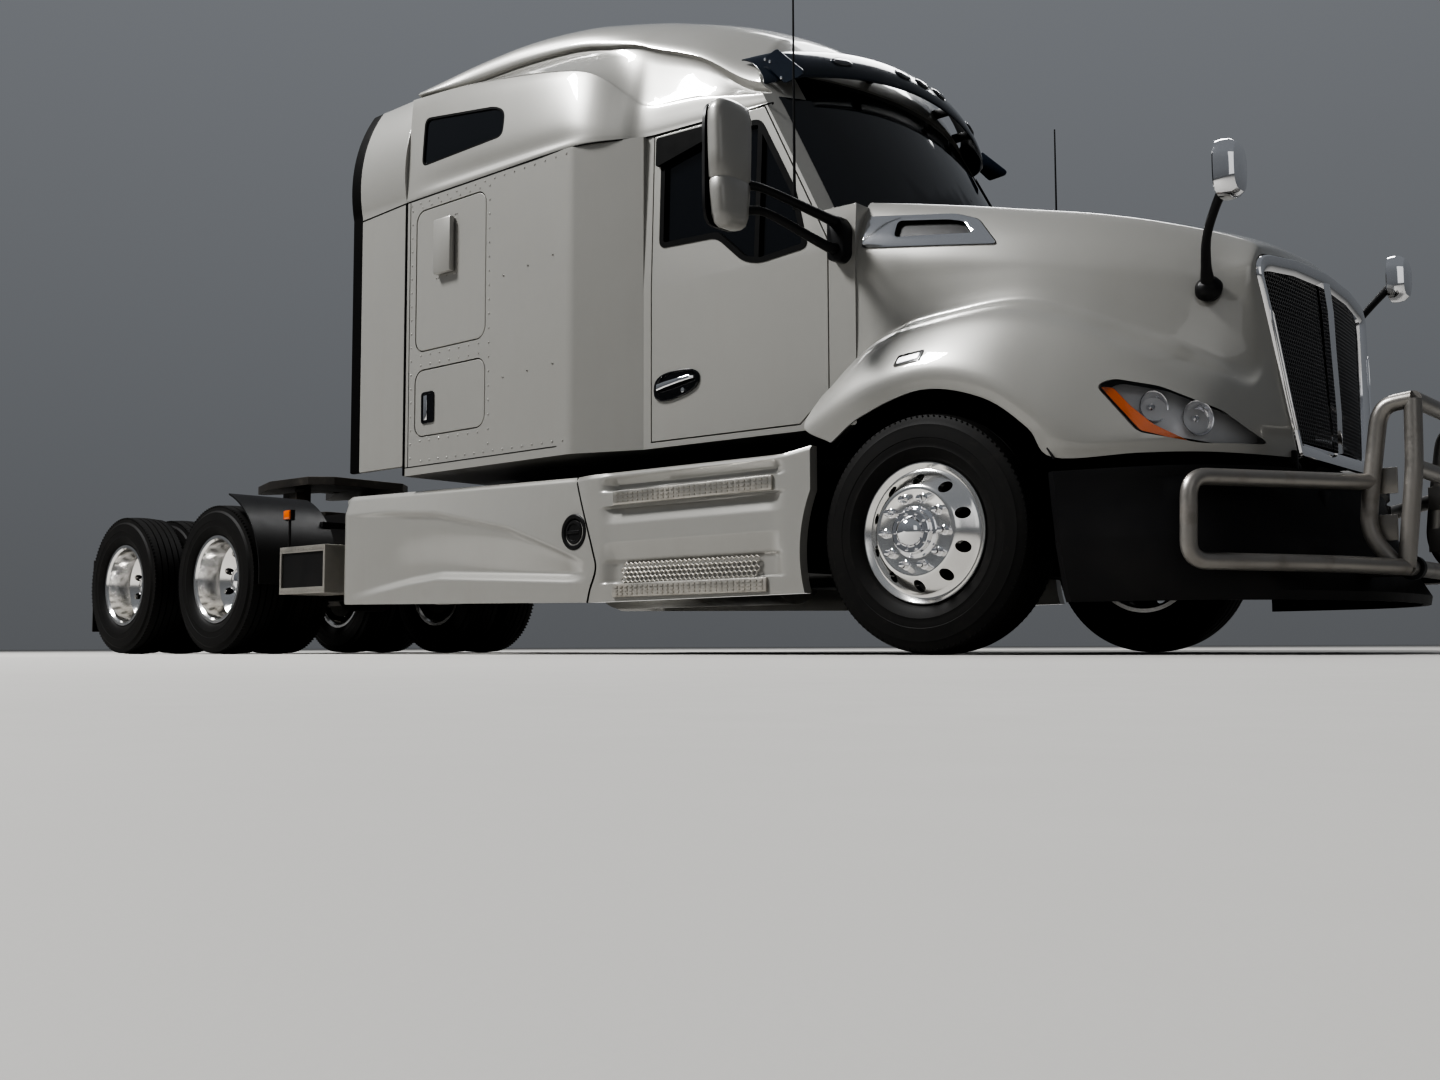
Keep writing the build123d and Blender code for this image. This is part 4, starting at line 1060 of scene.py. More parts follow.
class Repeats:
    """What repeats along a row, round a ring or over a net, grown by Geometry Nodes."""

    # How far each piece of a ring leans from the ray through it, in radians
    ring_lean = 0.5
    # How high and how wide a six-sided cell's corners lie, in shares of its rise, and its rows' distance
    cell_tip = 0.95
    cell_shoulder = 0.38
    cell_row = 1.33

    @staticmethod
    @cache
    def row_tree() -> bpy.types.NodeTree:
        """Tree that sets copies of a piece at a pitch along edges, facing one way.

        Returns:
            The tree, made once.
        """
        grow = GrowthTree("row_of_pieces", Path="Geometry", Pitch="Float", Facing="Vector", Piece="Object")
        curve = grow.add("GeometryNodeMeshToCurve", {}, {"Mesh": grow.given["Path"]})
        inputs = {"Curve": curve, "Length": grow.given["Pitch"]}
        even = grow.add("GeometryNodeResampleCurve", {"mode": "LENGTH"}, inputs)
        turn = grow.add("FunctionNodeAlignRotationToVector", {"axis": "Z"}, {"Vector": grow.given["Facing"]})
        return grow.finish(grow.copies(even, turn))

    @staticmethod
    @cache
    def ring_tree() -> bpy.types.NodeTree:
        """Tree that sets copies of a piece round a ring about an axis along y.

        Returns:
            The tree, made once.
        """
        grow = GrowthTree("ring_of_pieces", Count="Int", Radius="Float", Centre="Vector", Piece="Object")
        given = grow.given
        ring = grow.add("GeometryNodeMeshCircle", {}, {"Vertices": given["Count"], "Radius": given["Radius"]})
        share = grow.add("GeometryNodeInputIndex", {}, {}) / given["Count"]
        turn = grow.add("ShaderNodeCombineXYZ", {}, {"Z": share * (2 * math.pi) + Repeats.ring_lean})
        inputs = {"Geometry": grow.copies(ring, turn), "Translation": given["Centre"]}
        inputs["Rotation"] = (-math.pi / 2, 0, 0)
        return grow.finish(grow.add("GeometryNodeTransform", {}, inputs))

    @staticmethod
    @cache
    def lattice_tree() -> bpy.types.NodeTree:
        """Tree that turns a mesh's edges into flat-sided wires.

        Returns:
            The tree, made once.
        """
        grow = GrowthTree("lattice_of_wires", Lines="Geometry", Radius="Float")
        curve = grow.add("GeometryNodeMeshToCurve", {}, {"Mesh": grow.given["Lines"]})
        inputs = {"Resolution": 4, "Radius": grow.given["Radius"]}
        section = grow.add("GeometryNodeCurvePrimitiveCircle", {}, inputs)
        inputs = {"Curve": curve, "Profile Curve": section}
        return grow.finish(grow.add("GeometryNodeCurveToMesh", {}, inputs))

    @staticmethod
    def honeycomb(
        name: str, centres: Iterable[Pair], pitch: float, rise: float,
        place: Callable[[float, float], Vector], radius: float, surface: Surface,
    ) -> Item:
        """Net of upright six-sided cells.

        Args:
            name: The result's name.
            centres: The cells' middles.
            pitch: A cell's width.
            rise: Half its height.
            place: Place of the frame for a place of the net.
            radius: The wires' radius.
            surface: Their finish.

        Returns:
            The joined mesh.
        """
        tip, shoulder = rise * Repeats.cell_tip, rise * Repeats.cell_shoulder
        edges, knots = set(), {}
        for across, up in centres:
            low, high = across - pitch / 2, across + pitch / 2
            cell = ((across, up - tip), (high, up - shoulder), (high, up + shoulder), (across, up + tip),
                    (low, up + shoulder), (low, up - shoulder))
            keys = [knots.setdefault((round(a, 4), round(b, 4)), len(knots)) for a, b in cell]
            edges |= {(min(pair), max(pair)) for pair in zip(keys, keys[1:] + keys[:1])}
        base = shop.wires(name, [place(*knot) for knot in knots], sorted(edges))
        return Repeats.grow(base, Repeats.lattice_tree(), {"Radius": radius, "Material": surface.material()})

    @staticmethod
    def grow(base: Item, tree: bpy.types.NodeTree, values: dict) -> Item:
        """Run a tree on an object and keep the result as a plain mesh.

        Args:
            base: The object that carries the modifier for this once.
            tree: The tree.
            values: Its inputs, by name.

        Returns:
            The result.
        """
        modifier = base.modifiers.new("Repeat", "NODES")
        modifier.node_group = tree
        for item in tree.interface.items_tree:
            if item.in_out == "INPUT" and item.name in values:
                modifier[item.identifier] = values[item.name]
        base = shop.bake(base)
        if "Piece" in values:
            bpy.data.objects.remove(values["Piece"])
        return base

    @staticmethod
    def row(
        name: str, path: Sequence[Point], pitch: float, facing: Point, piece: Item, surface: Surface
    ) -> Item:
        """Set copies of a piece along a path.

        Args:
            name: The result's name.
            path: Places of the frame.
            pitch: Distance between copies.
            facing: The way that the piece's +z turns to.
            piece: The piece, made about the origin, which is used up.
            surface: Its finish.

        Returns:
            The joined mesh.
        """
        base = shop.wires(name, path, [(step, step + 1) for step in range(len(path) - 1)])
        values = {"Pitch": pitch, "Facing": facing, "Piece": piece, "Material": surface.material()}
        return Repeats.grow(base, Repeats.row_tree(), values)

    @staticmethod
    def ring(name: str, centre: Vector, radius: float, count: int, piece: Item, surface: Surface) -> Item:
        """Set copies of a piece round an axis along y.

        Args:
            name: The result's name.
            centre: The ring's centre.
            radius: Its radius.
            count: How many copies.
            piece: The piece, made with +x outwards and +z along +y, which is used up.
            surface: Its finish.

        Returns:
            The joined mesh.
        """
        base = shop.new(name, [(0, 0, 0)], [])
        values = {"Count": count, "Radius": radius, "Centre": centre, "Piece": piece}
        values["Material"] = surface.material()
        return Repeats.grow(base, Repeats.ring_tree(), values)


@dataclass
class Skin:
    """Smooth sheet through a control net, from which walls and patches are cut."""

    rows: list[list[Vector]]

    @classmethod
    def mirrored(cls, half_rows: Sequence[Sequence[Vector]]) -> Skin:
        """Sheet from rows that start at the middle plane, closed with their mirror image."""
        flip = Vector((1, -1, 1))
        return cls([[point * flip for point in reversed(row[1:])] + list(row) for row in half_rows])

    def sheet(self, name: str, shift: Point = (0, 0, 0)) -> Item:
        """The bare sheet, moved as a whole."""
        rows = [[point + Vector(shift) for point in row] for row in self.rows]
        return Forms.rings(name, rows, False, False)

    def wall(self, name: str, thickness: float, shift: Point = (0, 0, 0)) -> Item:
        """Closed wall whose outer face is the sheet."""
        return shop.modify(self.sheet(name, shift), "SOLIDIFY", thickness=thickness, offset=-1.0)

    @staticmethod
    def opening(outline: Table, sign: int) -> Item:
        """Tool that cuts an outline in x and z through one side only."""
        return Forms.side_prism("opening", outline, (sign * 0.55, sign * 1.5))

    def patch(self, name: str, outline: Table, sign: int, thickness: float, shift: Point = (0, 0, 0)) -> Item:
        """Piece of the wall inside an outline that is seen from the side.

        Args:
            name: The piece's name.
            outline: Pairs of x and z.
            sign: 1 for the left side, -1 for the right.
            thickness: The wall's thickness.
            shift: How far the piece lies from the skin.

        Returns:
            The piece.
        """
        return shop.cut(self.wall(name, thickness, shift), self.opening(outline, sign), "INTERSECT")


@dataclass
class Wheels:
    """Tyres, rims, lug covers and hub caps."""

    tyre_centre: float = 1.055
    twin_plane: float = 0.92
    disc_offset: float = 0.1715
    half_disc: float = 0.022
    lug_circle: float = 0.1429
    lug_count: int = 10
    hole_circle: float = 0.222
    hole_radius: float = 0.024
    bead: float = 0.2995
    groove_depth: float = 0.013
    groove_half: float = 0.0045
    groove_places: tuple[float, ...] = (-0.068, -0.024, 0.024, 0.068)
    shoulder_blocks: int = 110

    def tyre_profile(self, centre: float, deep: bool) -> list[Pair]:
        """Closed half section of a tyre, in y and radius.

        Args:
            centre: The tyre's middle plane.
            deep: Whether the shoulders are the square ones of a drive tyre.

        Returns:
            The section's points.
        """
        top = layout.tyre_radius
        crown = [(-0.1, top - 0.0065)]
        foot = 0.7 * self.groove_half
        for place in self.groove_places:
            height = top - 8.0 * place * place * 0.08
            low = height - self.groove_depth
            crown += [(place - self.groove_half, height), (place - foot, low), (place + foot, low)]
            crown.append((place + self.groove_half, height))
        crown.append((0.1, top - 0.0065))
        shoulder = [(0.118, 0.496), (0.124, 0.466)] if deep else [(0.122, 0.492), (0.131, 0.47)]
        wall = [
            (0.1335, 0.455), (0.1355, 0.452), (0.1355, 0.449), (0.137, 0.436), (0.1395, 0.405), (0.14, 0.398),
            (0.1385, 0.396), (0.1385, 0.375), (0.1365, 0.36), (0.1375, 0.357), (0.1365, 0.354), (0.13, 0.335),
            (0.121, 0.318), (0.117, 0.312), (0.108, 0.3045), (0.104, self.bead), (0.098, self.bead - 0.012),
        ]
        outer = shoulder + wall
        left = [(-y, radius) for y, radius in reversed(outer)]
        return [(centre + y, radius) for y, radius in left + crown + outer]

    def tyre(self, name: str, x: float, centres: Sequence[float], deep: bool) -> list[Item]:
        """Tyres on one hub with their shoulder blocks.

        Args:
            name: The piece's name.
            x: Their axle, counted from the front one.
            centres: The tyres' middle planes.
            deep: Whether they are drive tyres.

        Returns:
            The pieces, not yet joined.
        """
        axis = layout.at(x, 0, layout.wheel_z)
        items = []
        for number, centre in enumerate(centres):
            items.append(Forms.lathe(f"{name}_{number}", axis, self.tyre_profile(centre, deep), 112))
            for sign in SIDES.values():
                if deep:
                    block = Forms.box("block", (-0.006, -0.0045, -0.006), (0.0035, 0.0045, 0.012))
                    out, radius = 0.116, 0.4955
                else:
                    block = Forms.box("block", (-0.004, -0.0022, -0.006), (0.0022, 0.0022, 0.007))
                    out, radius = 0.1225, 0.489
                place = axis + Vector((0, centre + sign * out, 0))
                items.append(Repeats.ring("blocks", place, radius, self.shoulder_blocks, block, Surface.TYRE))
        return items

    def rim_profile(self) -> list[Pair]:
        """Closed half section of a rim whose disc bulges outwards, in y and radius.

        Returns:
            The section's points.
        """
        back = self.disc_offset - self.half_disc
        return [
            (-0.112, 0.2985), (-0.104, 0.2985), (-0.104, 0.288), (0.104, 0.288), (0.104, 0.2985),
            (0.11, 0.2988), (0.1135, 0.2965), (0.1135, 0.2915), (0.11, 0.2865), (0.1045, 0.2785),
            (0.099, 0.27), (0.1005, 0.264), (0.112, 0.252), (0.132, 0.232), (0.152, 0.212), (0.1635, 0.201),
            (0.17, 0.1935), (0.1725, 0.186), (0.1725, 0.174), (self.disc_offset, 0.172),
            (self.disc_offset, 0.108), (back, 0.108),
            (back, 0.182), (0.064, 0.266), (-0.098, 0.266), (-0.112, 0.277),
        ]

    def rim(self, name: str, x: float, centre: float, outward: int) -> Item:
        """One rim with its hand holes, bulging to one side.

        Args:
            name: The piece's name.
            x: Place along, from the front axle.
            centre: Its middle plane.
            outward: The side that it bulges to, 1 or -1.

        Returns:
            The piece.
        """
        axis = layout.at(x, 0, layout.wheel_z)
        profile = [(centre + outward * y, radius) for y, radius in self.rim_profile()]
        face = centre + outward * self.disc_offset
        reach = sorted((face - outward * 0.12, face + outward * 0.06))
        cutters = []
        for turn in Curves.turns(self.lug_count):
            turn += math.pi / self.lug_count
            spot = axis + self.hole_circle * Vector((math.cos(turn), 0, math.sin(turn)))
            ends = [Vector((spot.x, y, spot.z)) for y in reach]
            cutters.append(Forms.tube("hole", ends, self.hole_radius, 24, False))
        return shop.cut(Forms.lathe(name, axis, profile, 120), shop.join("holes", cutters))

    def lugs(self, name: str, x: float, face: float, sign: int) -> Item:
        """Ring of domed lug covers.

        Args:
            name: The piece's name.
            x: Place along, from the front axle.
            face: The disc's outer face.
            sign: 1 for the left side, -1 for the right.

        Returns:
            The piece.
        """
        profile = (
            (0.0205, 0.0), (0.0205, 0.004), (0.0165, 0.006), (0.016, 0.03), (0.0135, 0.04), (0.0085, 0.046),
            (0.0, 0.048),
        )
        cover = Forms.stack("cover", [(radius, sign * height) for radius, height in profile], 16)
        place = layout.at(x, face, layout.wheel_z)
        return Repeats.ring(name, place, self.lug_circle, self.lug_count, cover, Surface.CHROME)

    def hub(self, name: str, x: float, face: float, sign: int, steer: bool) -> list[Item]:
        """Stepped hub cap with its ring of small nuts.

        Args:
            name: The piece's name.
            x: Place along, from the front axle.
            face: The disc's outer face.
            sign: 1 for the left side, -1 for the right.
            steer: Whether it is on the front axle.

        Returns:
            The pieces, not yet joined.
        """
        steps = [
            (-0.01, 0.06), (-0.01, 0.109), (0.004, 0.109), (0.01, 0.102), (0.012, 0.095), (0.034, 0.091),
            (0.037, 0.087), (0.0375, 0.066), (0.044, 0.063), (0.056, 0.058), (0.068, 0.047), (0.077, 0.03),
            (0.081, 0.012), (0.082, 0.0005), (0.06, 0.0005),
        ] if steer else [
            (-0.01, 0.06), (-0.01, 0.109), (0.002, 0.106), (0.06, 0.103), (0.088, 0.1), (0.094, 0.094),
            (0.096, 0.08), (0.11, 0.072), (0.12, 0.055), (0.127, 0.03), (0.129, 0.0005), (0.09, 0.0005),
        ]
        axis = layout.at(x, 0, layout.wheel_z)
        items = [Forms.lathe(name, axis, [(face + sign * y, radius) for y, radius in steps], 72)]
        nut = Forms.stack("nut", ((0.0075, 0.0), (0.0075, sign * 0.011)), 6)
        place = axis + Vector((0, face + sign * (0.037 if steer else 0.095), 0))
        items.append(Repeats.ring(f"{name}_nuts", place, 0.0765 if steer else 0.087, 10, nut, Surface.CHROME))
        return items

    def build(self) -> None:
        """Build all wheels."""
        for side, sign in SIDES.items():
            body = f"steer_wheel_{side}"
            centre = sign * self.tyre_centre
            face = centre + sign * self.disc_offset
            tyre = shop.join(f"steer_tyre_{side}", self.tyre(f"steer_{side}", 0, [centre], False))
            shop.fit(tyre, body, Surface.TYRE, f"tyre_steer_{side}", angle=28)
            shop.fit(self.rim(f"steer_rim_{side}", 0, centre, sign), body, Surface.RIM, f"rim_steer_{side}")
            shop.fit(self.lugs(f"steer_lugs_{side}", 0, face, sign), body, Surface.CHROME)
            drum = Forms.lathe(f"steer_drum_{side}", layout.at(0, 0, layout.wheel_z), [
                (centre - sign * 0.09, 0.04), (centre - sign * 0.09, 0.188), (centre + sign * 0.055, 0.192),
                (centre + sign * 0.14, 0.165), (centre + sign * 0.145, 0.04),
            ], 64)
            shop.fit(drum, body, Surface.CASTING)
            hub = shop.join(f"steer_hub_{side}", self.hub(f"steer_cap_{side}", 0, face, sign, True))
            shop.fit(hub, body, Surface.CHROME)
            for axle in AXLES:
                self.twin(axle, side, sign)

    def twin(self, axle: str, side: str, sign: int) -> None:
        """Build one pair of twin wheels.

        Args:
            axle: Front or rear.
            side: Left or right.
            sign: 1 for the left side, -1 for the right.
        """
        name = f"{axle}_drive_{side}"
        body = f"{axle}_drive_wheel_{side}"
        x = layout.drive_x[axle]
        plane = sign * self.twin_plane
        centres = [plane + step * self.disc_offset for step in (-1, 1)]
        tyres = shop.join(f"{name}_tyres", self.tyre(name, x, centres, True))
        shop.fit(tyres, body, Surface.TYRE, f"tyres_{name}", angle=28)
        rims = [
            self.rim(f"{name}_rim_{number}", x, centre, -step)
            for number, (centre, step) in enumerate(zip(centres, (-1, 1)))
        ]
        shop.unite(f"{name}_rims", rims, body, Surface.RIM, f"rims_{name}")
        face = plane + sign * self.half_disc
        shop.fit(self.lugs(f"{name}_lugs", x, face, sign), body, Surface.CHROME)
        hub = self.hub(f"{name}_cap", x, face, sign, False)
        shop.unite(f"{name}_hub", hub, body, Surface.CHROME)
        drum = Forms.lathe(f"{name}_drum", layout.at(x, 0, layout.wheel_z), [
            (plane - sign * 0.26, 0.064), (plane - sign * 0.26, 0.205), (plane - sign * 0.046, 0.205),
            (plane - sign * 0.022, 0.168), (plane - sign * 0.022, 0.064),
        ], 64)
        shop.fit(drum, body, Surface.CASTING)


# Hood stations from the cowl to the nose: x, crown z, crest y and z, shoulder y and z, and then
# x, y and z of the valley above the fender, of the fender's ridge, of its lip and of its edge
HOOD_STATIONS = (
    (-0.46, 2.12, 0.87, 2.07, 0.988, 1.8, (-0.5, 1.012, 1.22), (-0.56, 1.14, 1.13),
     (-0.588, 1.207, 1.005), (-0.445, 1.205, 0.925)),
    (-0.22, 2.068, 0.852, 2.018, 0.974, 1.76, (-0.24, 1.0, 1.415), (-0.3, 1.135, 1.305),
     (-0.33, 1.209, 1.125), (-0.278, 1.207, 1.024)),
    (0.05, 2.005, 0.834, 1.956, 0.952, 1.72, (0.05, 0.988, 1.458), (0.03, 1.13, 1.35),
     (0.03, 1.21, 1.196), (0.026, 1.208, 1.1)),
    (0.33, 1.938, 0.806, 1.888, 0.918, 1.672, (0.35, 0.968, 1.462), (0.34, 1.115, 1.33),
     (0.33, 1.202, 1.13), (0.31, 1.2, 1.034)),
    (0.58, 1.882, 0.77, 1.828, 0.874, 1.616, (0.59, 0.925, 1.395), (0.59, 1.08, 1.255),
     (0.545, 1.176, 0.985), (0.499, 1.178, 0.894)),
    (0.78, 1.834, 0.728, 1.772, 0.828, 1.572, (0.79, 0.872, 1.3), (0.8, 1.03, 1.15),
     (0.72, 1.13, 0.86), (0.595, 1.155, 0.77)),
    (0.96, 1.786, 0.68, 1.712, 0.776, 1.532, (0.965, 0.812, 1.215), (0.985, 0.95, 1.055),
     (0.96, 1.028, 0.85), (0.9, 1.05, 0.77)),
    (1.1, 1.738, 0.64, 1.658, 0.722, 1.5, (1.1, 0.745, 1.14), (1.125, 0.85, 0.985),
     (1.12, 0.905, 0.845), (1.09, 0.92, 0.77)),
    (1.205, 1.678, 0.62, 1.606, 0.69, 1.49, (1.2, 0.66, 1.09), (1.218, 0.7, 0.94),
     (1.222, 0.7, 0.835), (1.215, 0.7, 0.77)),
)
GRILLE_HALF = (
    (0.0, 1.612), (0.33, 1.602), (0.565, 1.58), (0.622, 1.565), (0.655, 1.535), (0.662, 1.49), (0.64, 1.415),
    (0.612, 1.32), (0.588, 1.235), (0.56, 1.135), (0.533, 1.04), (0.49, 0.89), (0.455, 0.772),
)


def nose_x(y: float, z: float) -> float:
    """How far forward the nose's curved face lies."""
    return 1.318 - y * y / 9.34 - 0.06 * (z - 0.747)


# Middle and radius of the front wheel arch, and the cross tube that the guard folds about, in x and z
ARCH = (0.026, 0.453)
ARCH_RADIUS = 0.647
GUARD_PIVOT = (1.674, 0.326)


@dataclass
class Hood:
    """Hood with its fenders, grille, headlamps, vents and mirrors, all tilting as one."""

    body: str = "hood"
    wall: float = 0.012
    cell_pitch: float = 0.0195
    cell_rise: float = 0.0125
    lamp: Outline = (
        (0.745, 1.045), (0.8, 1.07), (0.96, 1.03), (1.15, 0.93), (1.25, 0.81), (1.1, 0.8), (0.9, 0.85),
    )
    amber: Outline = (
        (0.757, 1.04), (0.8, 1.035), (0.862, 0.96), (0.945, 0.88), (1.04, 0.822), (1.06, 0.806),
        (0.905, 0.857),
    )
    vent: Outline = (
        (-0.43, 2.0), (0.0, 1.935), (0.12, 1.885), (0.237, 1.74), (-0.43, 1.835),
    )

    def half_row(self, station: Sequence) -> list[Vector]:
        """Places of one station from the crown to the fender's edge.

        Args:
            station: A row of the table of stations.

        Returns:
            The places.
        """
        x, crown, crest_y, crest_z, shoulder_y, shoulder_z, valley, ridge, lip, edge = station
        drop = crown - crest_z
        shoulder = Vector((x, shoulder_y, shoulder_z))
        low = Vector(valley)
        high = Vector(ridge)
        crest = Vector((x, crest_y, crest_z))
        middle = (crest + shoulder) / 2 + Vector((0, 0.014, 0.004))
        row = [
            Vector((x, 0, crown)), Vector((x, 0.55 * crest_y, crown - 0.26 * drop)),
            Vector((x, 0.92 * crest_y, crown - 0.72 * drop)), crest, middle, shoulder,
            shoulder.lerp(low, 0.36) + Vector((0, -0.004, 0)),
            shoulder.lerp(low, 0.8) + Vector((0, -0.01, 0)),
            low, (low + high) / 2 + Vector((0, 0.012, 0.016)), high, Vector(lip), Vector(edge),
        ]
        return [layout.at(*place) for place in row]

    def skin(self) -> Skin:
        """Smooth skin of the hood, ending on the grille's outline."""
        rows = [self.half_row(station) for station in HOOD_STATIONS]
        rows.append([layout.at(nose_x(y, z), y, z) for y, z in GRILLE_HALF])
        return Skin.mirrored(Curves.sheet(rows, 7, 5))

    def shell(self, skin: Skin) -> None:
        """Shell with its lamp and vent openings.

        Args:
            skin: The smooth skin.
        """
        item = skin.wall("hood_skin", self.wall)
        for sign in SIDES.values():
            for outline in (self.lamp, self.vent):
                item = shop.cut(item, Skin.opening(Curves.rounded(outline, 0.03), sign))
        shop.fit(item, self.body, Surface.PAINT, "hood_shell", angle=40)

    def liners(self) -> None:
        """Black liners above the wheels and the ears that the hood turns on."""
        items = []
        for sign in SIDES.values():
            turns = [math.radians(28 + 108 * step / 40) for step in range(41)]
            section = [
                (ARCH[0] + radius * math.cos(turn), ARCH[1] + radius * math.sin(turn))
                for radius, course in ((ARCH_RADIUS + 0.004, turns), (ARCH_RADIUS + 0.01, turns[::-1]))
                for turn in course
            ]
            items.append(Forms.side_prism("liner", section, (sign * 0.62, sign * 1.165)))
            items.append(Forms.block("ear", (1.235, 1.3), (sign * 0.468, sign * 0.5), (0.705, 0.8), 0.006))
            ends = [layout.at(1.27, sign * y, 0.735) for y in (0.434, 0.504)]
            items.append(Forms.tube("pin", ends, 0.012, 20, False))
        shop.unite("arch_liners", items, self.body, Surface.BLACK_PLASTIC)

    def headlamps(self, skin: Skin) -> None:
        """Lens, amber strip, reflectors and housing of each headlamp.

        Args:
            skin: The smooth skin.
        """
        lenses, ambers, bowls, backs = [], [], [], []
        outline = Curves.rounded(Curves.grow(self.lamp, -0.003), 0.028)
        inner = Curves.rounded(Curves.grow(self.lamp, -0.01), 0.022)
        strip = Curves.rounded(self.amber, 0.01)
        for sign in SIDES.values():
            lenses.append(skin.patch("lens", outline, sign, 0.005, (0.001, sign * 0.001, 0)))
            ambers.append(skin.patch("amber", strip, sign, 0.006, (-0.008, -sign * 0.012, 0)))
            backs.append(skin.patch("back", inner, sign, 0.004, (-0.03, -sign * 0.06, -0.004)))
            aim = Vector((0.8, sign * 0.55, 0.02)).normalized()
            for x, out, z, radius in ((0.925, 0.965, 0.955, 0.058), (1.065, 0.885, 0.905, 0.064)):
                spot = layout.at(x, sign * out, z)
                profile = ((-0.05, 0.012), (-0.035, 0.6 * radius), (-0.012, 0.88 * radius), (0.006, radius),
                           (0.008, radius + 0.004), (-0.03, 0.7 * radius), (-0.056, 0.012))
                bowls.append(Forms.turned("bowl", spot, aim, profile))
                bulb = ((-0.04, 0.0005), (-0.04, 0.014), (-0.006, 0.014), (0.0, 0.008), (0.001, 0.0005))
                bowls.append(Forms.turned("bulb", spot, aim, bulb))
        shop.unite("headlamp_lenses", lenses, self.body, Surface.LENS, "headlamps")
        shop.unite("headlamp_ambers", ambers, self.body, Surface.AMBER)
        shop.unite("headlamp_bowls", bowls, self.body, Surface.REFLECTOR)
        shop.unite("headlamp_backs", backs, self.body, Surface.HOUSING)

    def vents(self, skin: Skin) -> None:
        """Chrome vent bezels with their dark insets.

        Args:
            skin: The smooth skin.
        """
        bezels, meshes = [], []
        outer = Curves.rounded(Curves.grow(self.vent, -0.002), 0.026)
        hole = ((-0.27, 1.945), (-0.02, 1.905), (0.06, 1.88), (0.11, 1.815), (-0.27, 1.862))
        hole = Curves.rounded(hole, 0.024)
        for sign in SIDES.values():
            bezel = skin.patch("bezel", outer, sign, 0.01, (0, sign * 0.006, 0.003))
            bezels.append(shop.cut(bezel, Skin.opening(hole, sign)))
            meshes.append(skin.patch("inset", hole, sign, 0.004, (0, -sign * 0.014, -0.004)))
        frames = shop.bevel(shop.join("vent_frames", bezels), 0.003)
        shop.fit(frames, self.body, Surface.CHROME, "vent_bezels")
        shop.unite("vent_meshes", meshes, self.body, Surface.BLACK_PLASTIC)

    def grille_ring(self, inset: float, forward: float) -> list[Vector]:
        """Closed loop on the nose, moved in from the grille's outline."""
        loop = [(-y, z) for y, z in reversed(GRILLE_HALF[1:])] + list(GRILLE_HALF)
        loop = Curves.rounded(Curves.grow(loop, -inset), 0.02, 3)
        return [layout.at(nose_x(y, z) + forward, y, z) for y, z in loop]

    def surround(self) -> None:
        """Chrome surround with its side trims, and the centre bar."""
        profile = (
            (0.002, -0.03), (0.002, 0.006), (0.008, 0.014), (0.03, 0.012), (0.052, 0.004), (0.066, -0.006),
            (0.07, -0.03),
        )
        rings = [self.grille_ring(inset, forward) for inset, forward in profile]
        items = [Forms.rings("surround", rings + [rings[0]], True, False)]
        bar = []
        for z, half, forward in ((0.835, 0.02, 0.0), (1.0, 0.022, 0.01), (1.28, 0.026, 0.014),
                                 (1.44, 0.032, 0.018), (1.56, 0.036, 0.012)):
            bar.append([
                layout.at(nose_x(0, z) + forward + depth, y, z)
                for y, depth in ((-half, -0.028), (-half, -0.004), (-0.5 * half, 0.006), (0, 0.009),
                                 (0.5 * half, 0.006), (half, -0.004), (half, -0.028))
            ])
        items.append(Forms.rings("bar", bar))
        for sign in SIDES.values():
            loop = ((0.585, 1.33), (0.6, 1.345), (0.598, 1.3), (0.53, 1.02), (0.488, 0.88), (0.474, 0.88),
                    (0.505, 1.0))
            path = [layout.at(nose_x(y, z) + 0.014, sign * y, z) for y, z in loop]
            items.append(Forms.tube("trim", path + [path[0]], 0.0045, 8, False))
        shop.unite("grille_frame", items, self.body, Surface.CHROME, "grille_surround", angle=35)

    def cells(self) -> list[Pair]:
        """Middles of the cells of the left panel.

        Returns:
            Pairs of y and z.
        """
        centres = []
        row, z = 0, 0.86
        while z < 1.545:
            reach = 0.455 + (z - 0.772) * 0.2777 - 0.074
            y = 0.034 + self.cell_pitch * (1.0 if row % 2 else 0.5)
            while y < reach - self.cell_pitch / 2:
                centres.append((y, z))
                y += self.cell_pitch
            z += self.cell_rise * Repeats.cell_row
            row += 1
        return centres

    def mesh(self) -> None:
        """Two panels of upright six-sided cells."""
        items = []
        for sign in SIDES.values():
            items.append(Repeats.honeycomb(
                "cells", self.cells(), self.cell_pitch, self.cell_rise,
                lambda y, z: layout.at(nose_x(y, z) - 0.022, sign * y, z), 0.002, Surface.MESH,
            ))
        shop.unite("grille_cells", items, self.body, Surface.MESH, "grille_mesh", angle=60)

